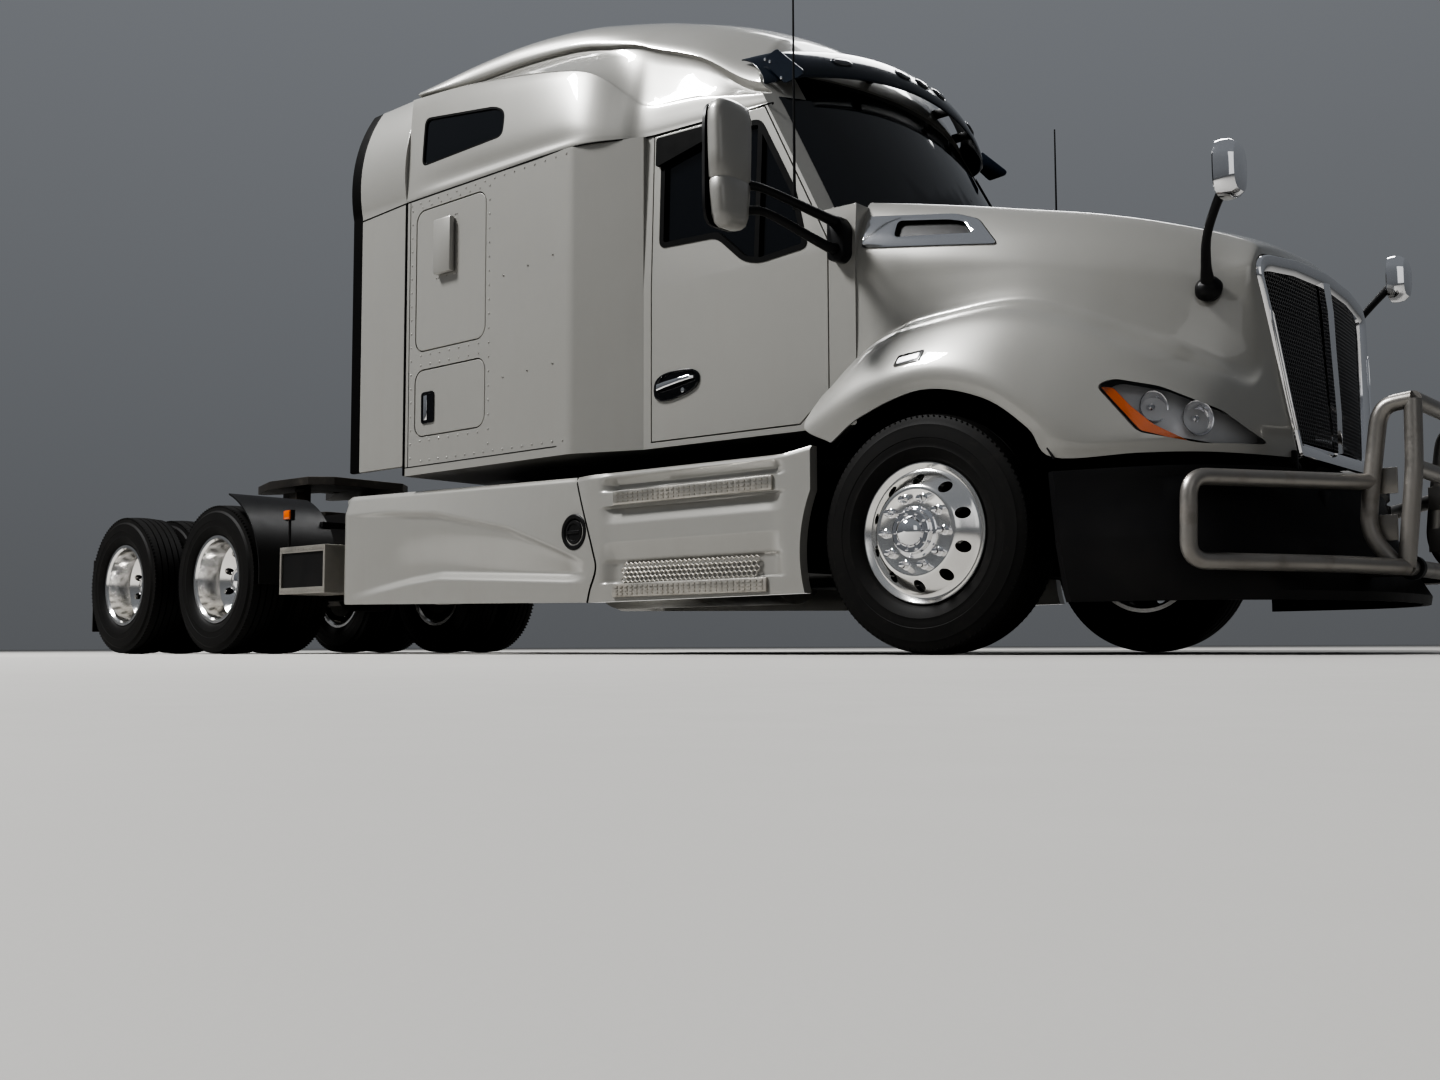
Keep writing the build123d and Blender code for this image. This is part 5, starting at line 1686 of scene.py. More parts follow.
    def mirrors(self) -> None:
        """Black stalks with ball feet, and chrome-backed heads."""
        stalks, heads = [], []
        for sign in SIDES.values():
            path = [layout.at(x, sign * y, z) for x, y, z in (
                (1.08, 0.775, 1.44), (1.098, 0.835, 1.5), (1.135, 0.915, 1.59), (1.195, 0.975, 1.68),
                (1.262, 1.02, 1.765))]
            stalks.append(Forms.tapered("stalk", path, (0.03, 0.02, 0.017, 0.017, 0.02)))
            profile = (
                (-0.03, 0.03), (-0.022, 0.046), (0.0, 0.054), (0.022, 0.048), (0.04, 0.03), (0.048, 0.0005),
                (-0.03, 0.0005),
            )
            aim = Vector((0.1, sign * 0.9, 0.35)).normalized()
            stalks.append(Forms.turned("foot", layout.at(1.078, sign * 0.765, 1.428), aim, profile, 32))
            rings = []
            for x, grow in (
                (1.33, 0.55), (1.322, 0.8), (1.3, 0.96), (1.272, 1.0), (1.25, 0.98), (1.244, 0.9),
            ):
                rings.append([
                    layout.at(x, sign * (1.048 + 0.08 * grow * a), 1.79 + 0.11 * grow * b)
                    for a, b in Curves.superellipse(32, 3.2)
                ])
            heads.append(Forms.rings("head", rings))
        shop.unite("hood_mirror_stalks", stalks, self.body, Surface.BLACK_PLASTIC, "hood_mirrors")
        shop.unite("hood_mirror_heads", heads, self.body, Surface.CHROME)

    def markers(self, skin: Skin) -> None:
        """Clear side lamp in a bright frame on each fender.

        Args:
            skin: The smooth skin.
        """
        frames, lamps = [], []
        outline = ((-0.118, 1.216), (0.014, 1.228), (0.026, 1.276), (-0.104, 1.266))
        outer = Curves.rounded(outline, 0.01)
        inner = Curves.rounded(Curves.grow(outline, -0.012), 0.006)
        for sign in SIDES.values():
            frames.append(skin.patch("frame", outer, sign, 0.01, (0, sign * 0.005, 0)))
            lamps.append(skin.patch("lamp", inner, sign, 0.01, (0, sign * 0.008, 0)))
        shop.unite("fender_lamp_frames", frames, self.body, Surface.CHROME)
        shop.unite("fender_lamps", lamps, self.body, Surface.HOUSING)

    def build(self) -> None:
        """Build the whole hood."""
        skin = self.skin()
        self.shell(skin)
        self.liners()
        self.headlamps(skin)
        self.vents(skin)
        self.surround()
        self.mesh()
        self.mirrors()
        self.markers(skin)


@dataclass
class Guard:
    """Front guard of bent steel tube, folding about its lower cross tube."""

    radius: float = 0.032
    half: float = 0.45
    bend: float = 0.075
    cross: Outline = ((1.718, 0.958), (1.714, 0.7))

    def build(self) -> None:
        """Build the guard."""
        half = self.half
        routes = (
            ((1.56, half, 0.655), (1.437, 0.64, 0.655), (1.128, 1.13, 0.655), (1.118, 1.13, 0.345),
             (1.5, 0.7, 0.335), (GUARD_PIVOT[0], half, GUARD_PIVOT[1])),
            ((1.64, half, 0.33), (1.54, half, 0.46), (1.56, half, 0.655), (1.6, half, 0.945),
             (1.718, half, 0.958)),
            ((1.718, half, 0.958), (1.714, half, 0.7), (GUARD_PIVOT[0], half, GUARD_PIVOT[1])),
        )
        items = []
        for sign in SIDES.values():
            for route in routes:
                places = [layout.at(x, sign * y, z) for x, y, z in route]
                items.append(Forms.tube("run", Curves.bent(places, self.bend, 8), self.radius, 28, False))
            y = (sign * (half - 0.036), sign * (half - 0.03))
            for x, z in ((1.58, 0.48), (1.585, 0.66)):
                items.append(Forms.block("plate", (x - 0.05, x + 0.06), y, (z - 0.05, z + 0.05), 0.003))
        for x, z in self.cross + (GUARD_PIVOT,):
            ends = [layout.at(x, y, z) for y in (-half, half)]
            items.append(Forms.tube("cross", ends, self.radius, 28, False))
        shop.unite("guard_tubes", items, "guard", Surface.GUARD, "front_guard")


CAB_REAR = -1.72
COWL = -0.45
SEAM_Z = 2.65
SLEEPER_REAR = -3.52
SLEEPER_HALF = 1.22
# Cab side: height, half width at the rear, half width at the cowl
CAB_LEVELS = ((1.85, 1.07, 1.0), (2.65, 1.045, 0.945))


def cab_half(x: float, z: float) -> float:
    """Half width of the cab at a place of its side.

    Args:
        x: Place along, from the front axle.
        z: Height.

    Returns:
        The half width there.
    """
    low, high = CAB_LEVELS
    share = min(max((z - low[0]) / (high[0] - low[0]), 0.0), 1.0)
    rear = low[1] + (high[1] - low[1]) * share
    front = low[2] + (high[2] - low[2]) * share
    return rear + (front - rear) * (x - CAB_REAR) / (COWL - CAB_REAR)


def sleeper_half(x: float, z: float) -> float:
    """Half width of the sleeper, the same all along."""
    return SLEEPER_HALF


def screen_x(y: float, z: float, out: float = 0.0) -> float:
    """How far forward the windscreen's curved and raked surface lies."""
    return -0.33 - (z - 2.05) * 0.55 - (1.72 - math.sqrt(1.72 ** 2 - y * y)) + out


class Panels:
    """Pieces that lie on a side of the cab or sleeper."""

    @staticmethod
    def plate(name: str, half: Width, outline: Table, levels: Point, sign: int) -> Item:
        """Plate of an outline in x and z.

        Args:
            name: The piece's name.
            half: Half width of the side at a place.
            outline: Pairs of x and z.
            levels: How far its two faces stand out of the side.
            sign: 1 for the left side, -1 for the right.

        Returns:
            The piece.
        """
        rings = [[layout.at(x, sign * (half(x, z) + out), z) for x, z in outline] for out in levels]
        return Forms.rings(name, rings)

    @staticmethod
    def frame(
        name: str, half: Width, outline: Table, grow: Point, levels: Point, sign: int, radius: float
    ) -> Item:
        """Frame round an outline in x and z.

        Args:
            name: The piece's name.
            half: Half width of the side at a place.
            outline: Pairs of x and z.
            grow: How far its inner and outer edges lie from the outline.
            levels: How deep it sits and how far it stands out.
            sign: 1 for the left side, -1 for the right.
            radius: The outline's corner radius.

        Returns:
            The piece.
        """
        near, far = (
            Curves.rounded(Curves.grow(outline, amount), max(radius + amount, 0.004)) for amount in grow
        )
        course = ((near, levels[0]), (near, levels[1]), (far, levels[1]), (far, levels[0]))
        rings = [[layout.at(x, sign * (half(x, z) + out), z) for x, z in loop] for loop, out in course]
        return Forms.rings(name, rings + [rings[0]], True, False)

    @staticmethod
    def dome(radius: float, height: float) -> Item:
        """Low rivet head about the origin, rising along z."""
        return Forms.stack("dome", ((radius, -0.002), (radius, 0.3 * height), (0.6 * radius, height)), 8)

    @staticmethod
    def rivets(
        name: str, half: Width, lines: Sequence[Table], pitch: float, sign: int, radius: float = 0.0065
    ) -> Item:
        """Rows of rivet heads along lines in x and z.

        Args:
            name: The piece's name.
            half: Half width of the side at a place.
            lines: Each row's places.
            pitch: The rivets' distance.
            sign: 1 for the left side, -1 for the right.
            radius: A head's radius.

        Returns:
            The piece.
        """
        items = []
        for line in lines:
            path = [layout.at(x, sign * half(x, z), z) for x, z in line]
            head = Panels.dome(radius, 0.0035)
            items.append(Repeats.row("rivets", path, pitch, (0, sign, 0), head, Surface.PAINT))
        return shop.join(name, items)


# Roof stations from the windscreen to the rear: x, half width at the seam, ledge y and z, groove y and z,
# band y and z, crown z and the depth of the crease under the side window
ROOF_STATIONS = (
    (-0.56, 0.95, (0.948, 2.668), (0.92, 2.684), (0.7, 2.715), 2.79, 0.0),
    (-0.85, 0.972, (0.97, 2.69), (0.93, 2.708), (0.74, 2.92), 3.03, 0.0),
    (-1.1, 0.992, (0.985, 2.73), (0.94, 2.765), (0.775, 3.07), 3.21, 0.0),
    (-1.4, 1.02, (1.005, 2.79), (0.955, 2.97), (0.82, 3.2), 3.36, 0.0),
    (-1.72, 1.052, (1.03, 2.82), (0.97, 3.11), (0.88, 3.29), 3.47, 0.0),
    (-1.85, 1.12, (1.06, 2.9), (0.98, 3.17), (0.905, 3.32), 3.51, 0.0),
    (-2.05, 1.203, (1.12, 3.05), (0.985, 3.225), (0.94, 3.36), 3.555, 0.002),
    (-2.3, 1.22, (1.155, 3.12), (1.0, 3.28), (0.965, 3.41), 3.6, 0.01),
    (-2.7, 1.22, (1.165, 3.19), (1.02, 3.31), (1.0, 3.44), 3.645, 0.014),
    (-3.1, 1.22, (1.175, 3.24), (1.06, 3.305), (1.045, 3.42), 3.645, 0.012),
    (-3.4, 1.22, (1.182, 3.262), (1.115, 3.312), (1.085, 3.385), 3.62, 0.003),
    (-3.52, 1.22, (1.185, 3.27), (1.13, 3.315), (1.1, 3.37), 3.608, 0.0),
)


@dataclass
class Roof:
    """Raised roof with its side panes, its seam and the glass below it."""

    wall: float = 0.035
    window: Outline = (
        (-3.39, 2.84), (-2.67, 2.85), (-2.67, 3.0), (-2.76, 3.05), (-3.39, 3.14),
    )
    screen_half: float = 0.79
    screen_z: Pair = (2.11, 2.86)
    # Dark border at each side of the windscreen: where it starts, its clearance from the cab's side,
    # its lowest place and its height
    border_from: float = 0.77
    border_inset: float = 0.065
    border_z: float = 2.06
    border_rise: float = 0.64

    def half_row(self, station: Sequence) -> list[Vector]:
        """Places of one station from the crown to the seam.

        Args:
            station: A row of the table of stations.

        Returns:
            The places.
        """
        x, half, ledge, groove, band, crown, crease = station
        drop = crown - band[1]
        rise = ledge[1] - SEAM_Z
        lean = ledge[0] - half
        row = [
            (0.0, crown), (0.5 * band[0], crown - 0.2 * drop), (0.84 * band[0], crown - 0.6 * drop), band,
            (groove[0] + 0.018, groove[1] + 0.25 * (band[1] - groove[1])), groove,
            (ledge[0] - 0.012, ledge[1] + 0.1 * (groove[1] - ledge[1])), ledge,
            (half + 0.48 * lean, SEAM_Z + 0.62 * rise), (half + 0.14 * lean, SEAM_Z + 0.3 * rise),
            (half - 0.001 - crease, SEAM_Z + 0.125 * rise), (half, SEAM_Z + 0.05 * rise),
            (half, SEAM_Z + 0.012 * rise), (half - 0.005, SEAM_Z),
        ]
        return [layout.at(x, y, z) for y, z in row]

    def skin(self) -> Skin:
        """Smooth skin of the roof."""
        rows = [self.half_row(station) for station in ROOF_STATIONS]
        return Skin.mirrored(Curves.sheet(rows, 5, 4))

    def behind_screen(self, inset: float) -> Item:
        """Everything behind the windscreen's surface, as a tool.

        Args:
            inset: How far behind the surface it starts.

        Returns:
            The tool.
        """
        places = [step / 10 - 1.5 for step in range(31)]
        rings = []
        for z in (1.9, 4.2):
            front = [layout.at(screen_x(y, z) - inset, y, z) for y in places]
            rings.append(front + [layout.at(-7.0, 1.5, z), layout.at(-7.0, -1.5, z)])
        return Forms.rings("behind", rings)

    def inside(self, skin: Skin) -> Item:
        """What is hollow under the roof, as a tool.

        Args:
            skin: The smooth skin.

        Returns:
            The tool.
        """
        front = layout.at(ROOF_STATIONS[0][0], 0, 0).x
        rear = layout.at(SLEEPER_REAR, 0, 0).x
        share = 1 - self.wall / (front - rear)
        narrow = 1 - self.wall / SLEEPER_HALF
        scale = Vector((share, narrow, 1))
        shift = Vector((front * (1 - share), 0, -self.wall))
        rows = [[point * scale + shift for point in row] for row in skin.rows]
        return shop.cut(Forms.rings("inside", rows), self.behind_screen(self.wall), "INTERSECT")

    def shell(self, skin: Skin) -> None:
        """Roof with its windscreen and window openings.

        Args:
            skin: The smooth skin.
        """
        item = shop.cut(Forms.rings("roof_skin", skin.rows), self.behind_screen(0.0), "INTERSECT")
        item = shop.cut(item, self.inside(skin))
        across = (-self.screen_half, self.screen_half)
        item = shop.cut(item, Forms.block("opening", (-1.4, 0.4), across, self.screen_z, 0.0))
        item = shop.cut(item, Forms.side_prism("opening", Curves.rounded(self.window, 0.05), (-1.5, 1.5)))
        shop.fit(item, "root", Surface.PAINT, "roof_cap", angle=38)

    def border(self, sign: int) -> Item:
        """Dark border beside the windscreen.

        Args:
            sign: 1 for the left side, -1 for the right.

        Returns:
            The piece.
        """
        rows = []
        for step in range(13):
            z = self.border_z + self.border_rise * step / 12
            width = cab_half(screen_x(0.9, z), z) - self.border_inset - self.border_from
            places = (self.border_from + width * part / 6 for part in range(7))
            rows.append([layout.at(screen_x(y, z, 0.0045), sign * y, z) for y in places])
        return Skin(rows).wall("border", 0.003)

    def glass(self, skin: Skin) -> None:
        """Side panes in black rubber, and the windscreen.

        Args:
            skin: The smooth skin.
        """
        screen = shop.copy_of("cab_glass", "windscreen")
        tool = Forms.block("tool", (-1.4, 0.4), (-0.9, 0.9), (1.9, 2.9), 0.0)
        items = [shop.cut(screen, tool, "INTERSECT")]
        rubbers = []
        outline = Curves.rounded(self.window, 0.05)
        inner = Curves.rounded(Curves.grow(self.window, -0.012), 0.04)
        for sign in SIDES.values():
            items.append(skin.patch("pane", outline, sign, 0.005, (0, -sign * 0.01, 0)))
            band = skin.patch("band", outline, sign, 0.014, (0, -sign * 0.002, 0))
            rubbers.append(shop.cut(band, Forms.side_prism("hole", inner, (-1.5, 1.5))))
            items.append(self.border(sign))
        shop.unite("cab_windows", items, "root", Surface.GLASS, "cab_glass", angle=40)
        shop.unite("pane_rubbers", rubbers, "root", Surface.EDGE_RUBBER)

    def seam(self) -> None:
        """Rubber in the seam under the roof, down the pillar and at the sleeper's rear."""
        items = []
        for sign in SIDES.values():
            path = [
                layout.at(x, sign * (cab_half(x, z) + 0.0005), z) for x, z in ((-0.935, 2.64), (-0.95, 2.648))
            ]
            path += [layout.at(x, sign * (half - 0.001), SEAM_Z) for x, half, *_ in ROOF_STATIONS if x < -0.9]
            items.append(Forms.tube("seam", path, 0.0042, 8))
            rear = [layout.at(SLEEPER_REAR, sign * SLEEPER_HALF, z) for z in (1.035, SEAM_Z)]
            items.append(Forms.tube("seam", rear, 0.008, 8, False))
        shop.unite("roof_seams", items, "root", Surface.EDGE_RUBBER)

    def build(self) -> None:
        """Build the roof and its glass."""
        skin = self.skin()
        self.shell(skin)
        self.glass(skin)
        self.seam()


@dataclass
class Visor:
    """Dark visor over the windscreen, with its struts, end plates and marker lamps."""

    half: float = 0.95
    lamp_places: tuple[float, ...] = (-0.6, -0.17, 0.0, 0.17, 0.6)
    # Share of the height and distance from the windscreen's surface
    profile: Outline = (
        (0.0, 0.094), (0.03, 0.106), (0.25, 0.121), (0.55, 0.119), (0.8, 0.1), (0.94, 0.074), (1.0, 0.052),
    )

    def at(self, y: float, share: float, out: float) -> Vector:
        """Place on the visor.

        Args:
            y: Place across.
            share: Share of the visor's height.
            out: Distance from the windscreen's surface.

        Returns:
            The place.
        """
        side = (y / self.half) ** 2
        low = 2.885 - 0.115 * side
        high = 3.075 - 0.14 * side
        z = low + (high - low) * share
        wrap = max(abs(y) - 0.84, 0.0) ** 2 * 9.0
        return layout.at(screen_x(y, z, out) - wrap, y, z)

    def lamp(self, y: float, size: Pair, levels: Table) -> Item:
        """Oval piece on the visor.

        Args:
            y: Its place across the vehicle.
            size: Half its width and half its share of the height.
            levels: Pairs of share of the size and distance from the visor.

        Returns:
            The piece.
        """
        rings = []
        for scale, out in levels:
            ring = []
            for across, up in Curves.superellipse(28, 2.6):
                share = 0.52 + size[1] * scale * up
                away = Curves.value(self.profile, share) + out
                ring.append(self.at(y + size[0] * scale * across, share, away))
            rings.append(ring)
        return Forms.rings("lamp", rings)

    def build(self) -> None:
        """Build the visor."""
        places = [-self.half + 2 * self.half * step / 48 for step in range(49)]
        rows = [[self.at(y, share, out) for y in places] for share, out in self.profile]
        sheet = Skin(Curves.sheet(rows, 3, 1)).wall("sun_visor_skin", 0.006)
        plates, struts, domes = [sheet], [], []
        for sign in SIDES.values():
            outline = ((-1.03, 2.895), (-0.93, 2.922), (-0.77, 2.77), (-0.78, 2.748), (-0.885, 2.738))
            plate = Curves.rounded(outline, 0.015)
            plates.append(Forms.side_prism("end", plate, (sign * 0.951, sign * 0.956)))
            for x, z in ((-1.005, 2.89), (-0.975, 2.87), (-0.905, 2.77)):
                head = ((-0.002, 0.0005), (-0.002, 0.009), (0.003, 0.008), (0.006, 0.0005))
                spot = layout.at(x, sign * 0.956, z)
                domes.append(Forms.turned("dome", spot, Vector((0, sign, 0)), head, 16))
            for y in (0.32, 0.66):
                z = 2.96 - 0.06 * y
                x = screen_x(y, z)
                across = (sign * (y - 0.018), sign * (y + 0.018))
                along, up = (x - 0.03, x + 0.1), (z - 0.022, z + 0.022)
                struts.append(Forms.block("strut", along, across, up, 0.005))
        frames, lenses = [], []
        frame_levels = ((1.0, -0.002), (1.0, 0.003), (0.92, 0.006), (0.86, 0.001))
        lens_levels = ((1.0, 0.0), (0.98, 0.008), (0.8, 0.013), (0.4, 0.015))
        for y in self.lamp_places:
            frames.append(self.lamp(y, (0.062, 0.165), frame_levels))
            lenses.append(self.lamp(y, (0.052, 0.13), lens_levels))
        shop.unite("visor_shell", plates, "root", Surface.VISOR, "sun_visor", angle=40)
        shop.unite("visor_struts", struts, "root", Surface.BLACK_PLASTIC)
        shop.unite("visor_rivets", domes, "root", Surface.CHROME)
        shop.unite("visor_lamp_frames", frames, "root", Surface.VISOR)
        shop.unite("visor_lamps", lenses, "root", Surface.SMOKE_LENS)


@dataclass
class Mirrors:
    """Cab mirrors with their arms, bases and aerials."""

    centre: Pair = (-0.72, 1.56)
    base: Outline = (
        (-0.563, 1.79), (-0.5, 1.77), (-0.466, 1.8), (-0.466, 1.93), (-0.5, 1.988), (-0.563, 1.985),
    )
    # Height, half width across, half depth along
    levels: tuple[tuple[float, float, float], ...] = (
        (1.851, 0.03, 0.02), (1.856, 0.058, 0.036), (1.872, 0.08, 0.048), (1.91, 0.094, 0.056),
        (2.0, 0.104, 0.06), (2.052, 0.107, 0.06), (2.058, 0.103, 0.056), (2.064, 0.103, 0.056),
        (2.07, 0.109, 0.06), (2.18, 0.115, 0.06), (2.3, 0.119, 0.059), (2.36, 0.118, 0.056),
        (2.396, 0.106, 0.05), (2.412, 0.084, 0.04), (2.419, 0.045, 0.022),
    )

    def panel(self, name: str, sign: int, x: Point, z: Point, half: float, power: float) -> Item:
        """Upright rounded plate on the rear face of a mirror.

        Args:
            name: The piece's name.
            sign: 1 for the left side, -1 for the right.
            x: The places of its rings.
            z: Its lowest and highest place.
            half: Half its width.
            power: How square its corners are.

        Returns:
            The piece.
        """
        rings = []
        for place in x:
            rings.append([
                layout.at(place, sign * (self.centre[1] + half * a), sum(z) / 2 + (z[1] - z[0]) / 2 * b)
                for a, b in Curves.superellipse(40, power)
            ])
        return Forms.rings(name, rings)

    def build(self) -> None:
        """Build both mirrors."""
        shells, blacks, glasses = [], [], []
        x, y = self.centre
        for sign in SIDES.values():
            rings = []
            for z, half, depth in self.levels:
                rings.append([
                    layout.at(x + 0.006 + depth * max(b, -0.8), sign * (y + half * a), z)
                    for a, b in Curves.superellipse(40, 2.8)
                ])
            shells.append(Forms.rings("shell", rings))
            places = (x - 0.04, x - 0.052, x - 0.056)
            blacks.append(self.panel("rim", sign, places, (1.862, 2.41), 0.113, 6.0))
            for z, name in (((2.075, 2.392), "main"), ((1.885, 2.045), "wide")):
                glasses.append(self.panel(name, sign, (x - 0.055, x - 0.0585), z, 0.094, 7.0))
            loop = Curves.rounded(self.base, 0.02)
            blacks.append(shop.bevel(Forms.side_prism("base", loop, (sign * 0.985, sign * 1.066)), 0.01))
            for heights in ((1.955, 1.97, 2.05, 2.066), (1.835, 1.84, 1.945, 1.95)):
                places = zip((-0.515, -0.53, -0.64, -0.69), (1.035, 1.12, 1.38, 1.48), heights)
                path = [layout.at(along, sign * out, z) for along, out, z in places]
                blacks.append(Forms.tapered("arm", path, (0.032, 0.023, 0.019, 0.022)))
            rod = [layout.at(-0.61, sign * 1.236, z) for z in (1.995, 2.2, 3.055)]
            blacks.append(Forms.tapered("aerial", rod, (0.01, 0.0065, 0.004), 10))
        shop.unite("mirror_shells", shells, "root", Surface.MIRROR_PAINT, "cab_mirrors", angle=50)
        shop.unite("mirror_arms", blacks, "root", Surface.BLACK_PLASTIC)
        shop.unite("mirror_glasses", glasses, "root", Surface.CHROME)


@dataclass
class CabDoors:
    """What dresses the cab doors: window rubber, divider, deflector and handles."""

    window: Outline = (
        (-1.605, 2.06), (-1.25, 2.05), (-1.08, 1.9), (-0.99, 1.875), (-0.725, 1.9), (-0.8, 2.18),
        (-1.01, 2.57), (-1.605, 2.59),
    )
    divider: Outline = (
        (-1.02, 1.885), (-0.992, 1.885), (-0.99, 2.545), (-1.018, 2.56),
    )
    deflector: Outline = (
        (-1.64, 2.47), (-1.28, 2.555), (-1.24, 2.6), (-1.25, 2.618), (-1.64, 2.622),
    )
    handle: Pair = (-1.5, 1.338)

    def handle_ring(self, sign: int, scale: float, out: float, shift: Point = (0.0, 0.0)) -> list[Vector]:
        """Oval about the handle, fuller at the rear.

        Args:
            sign: 1 for the left side, -1 for the right.
            scale: Its share of the full size.
            out: How far it stands out of the door.
            shift: How far it lies from the handle's middle, in x and z.

        Returns:
            Its places.
        """
        ring = []
        for across, up in Curves.superellipse(36, 2.7):
            x = self.handle[0] + shift[0] + 0.146 * scale * across
            z = self.handle[1] + shift[1] + 0.07 * scale * up * (1 - 0.16 * across) + 0.016 * scale * across
            ring.append(layout.at(x, sign * (cab_half(x, z) + out), z))
        return ring

    def build(self) -> None:
        """Build what rides on both doors."""
        for side, sign in SIDES.items():
            body = f"door_{side}"
            deflector = Curves.rounded(self.deflector, 0.02)
            rubbers = [
                Panels.frame("rubber", cab_half, self.window, (-0.014, 0.014), (-0.02, 0.0035), sign, 0.03),
                Panels.plate("divider", cab_half, self.divider, (0.002, -0.022), sign),
                Panels.plate("deflector", cab_half, deflector, (0.02, 0.003), sign),
            ]
            shop.unite(f"window_rubber_{side}", rubbers, body, Surface.EDGE_RUBBER)
            rings = [self.handle_ring(sign, scale, out) for scale, out in (
                (1.0, -0.002), (1.0, 0.006), (0.95, 0.01), (0.88, 0.01), (0.8, 0.0015), (0.3, 0.0015))]
            items = [Forms.rings("bezel", rings)]
            scoop = [self.handle_ring(sign, scale, out, (0.0, 0.028)) for scale, out in (
                (0.46, 0.0005), (0.46, 0.004), (0.4, 0.0045))]
            items.append(Forms.rings("scoop", scoop))
            shop.unite(f"handle_bezel_{side}", items, body, Surface.GLOSS_BLACK)
            x, z = self.handle
            bar = []
            for share, half, out in (
                (0.0, 0.012, 0.006), (0.06, 0.017, 0.022), (0.3, 0.016, 0.03), (0.7, 0.013, 0.03),
                (0.94, 0.011, 0.022), (1.0, 0.008, 0.006),
            ):
                place = x - 0.126 + 0.24 * share
                level = z - 0.01 + 0.034 * share
                bar.append([
                    layout.at(place, sign * (cab_half(place, level) + out + 0.006 * a), level + half * b)
                    for a, b in Curves.superellipse(20, 3.0)
                ])
            items = [Forms.rings("bar", bar)]
            lock = ((-0.002, 0.0005), (-0.002, 0.013), (0.009, 0.012), (0.01, 0.009), (0.008, 0.0005))
            spot = layout.at(x + 0.045, sign * cab_half(x, z), z - 0.035)
            items.append(Forms.turned("lock", spot, Vector((0, sign, 0)), lock, 24))
            shop.unite(f"handle_bar_{side}", items, body, Surface.CHROME)


@dataclass
class SleeperSide:
    """Rivets, hatch fittings and sill of the sleeper's sides, and the extenders' joints."""

    rivet_pitch: float = 0.08
    lines: tuple[Outline, ...] = (
        ((-3.472, 2.622), (-2.14, 2.622)), ((-3.462, 1.13), (-3.462, 2.59)), ((-2.762, 1.15), (-2.762, 2.59)),
        ((-3.37, 1.718), (-2.85, 1.718)), ((-3.37, 1.662), (-2.85, 1.662)), ((-3.37, 1.222), (-2.85, 1.222)),
        ((-3.36, 1.107), (-2.16, 1.107)), ((-3.37, 2.594), (-2.85, 2.594)),
    )
    pocket_edge: tuple[Outline, ...] = (
        ((-3.232, 2.15), (-3.232, 2.492)), ((-3.05, 2.15), (-3.05, 2.492)),
        ((-3.215, 2.492), (-3.066, 2.492)), ((-3.215, 2.148), (-3.066, 2.148)),
    )
    well: Outline = ((-3.354, 1.319), (-3.239, 1.319), (-3.239, 1.5), (-3.354, 1.5))
    # Each seam's places in x, y and z, and its radius
    seams: tuple[tuple[Table, float], ...] = (
        (((-3.518, 1.22, 1.079), (-2.215, 1.22, 1.079), (-2.135, 1.205, 1.079)), 0.0025),
        (((-3.482, 1.22, 1.08), (-3.482, 1.22, 2.645)), 0.0022),
        (((-3.97, 1.22, 2.632), (-3.524, 1.22, 2.65)), 0.0035),
    )
    studs: Outline = (
        (-2.64, 2.06), (-2.44, 2.08), (-2.24, 2.1), (-2.64, 1.5), (-2.44, 1.51), (-2.24, 1.52),
    )

    def build(self) -> None:
        """Build what rides on the sleeper and its hatches."""
        seams = []
        for side, sign in SIDES.items():
            lines = self.lines + tuple(((x, z), (x + 0.001, z)) for x, z in self.studs)
            rivets = Panels.rivets(f"sleeper_rivets_{side}", sleeper_half, lines, self.rivet_pitch, sign)
            shop.fit(rivets, "root", Surface.PAINT)
            y = (sign * 1.2195, sign * 1.262)
            pocket = Forms.block("pocket", (-3.22, -3.062), y, (2.16, 2.48), 0.014)
            studs = Panels.rivets("pocket_rivets", sleeper_half, self.pocket_edge, 0.052, sign, 0.005)
            shop.unite(f"hatch_pocket_{side}", [pocket, studs], f"upper_hatch_{side}", Surface.PAINT)
            door = f"baggage_door_{side}"
            well = Panels.frame("well", sleeper_half, self.well, (-0.012, 0.0), (-0.002, 0.006), sign, 0.022)
            outline = Curves.rounded(self.well, 0.02)
            floor = Panels.plate("floor", sleeper_half, outline, (0.0012, -0.002), sign)
            shop.unite(f"baggage_well_{side}", [well, floor], door, Surface.GLOSS_BLACK)
            y = (sign * 1.221, sign * 1.2255)
            paddle = Forms.block(f"baggage_paddle_{side}", (-3.336, -3.304), y, (1.338, 1.482), 0.002)
            shop.fit(shop.bevel(paddle, 0.001), door, Surface.CHROME)
            for path, radius in self.seams:
                places = [layout.at(x, sign * out, z) for x, out, z in path]
                seams.append(Forms.tube("seam", places, radius, 8, False))
        shop.unite("sleeper_seams", seams, "root", Surface.EDGE_RUBBER)


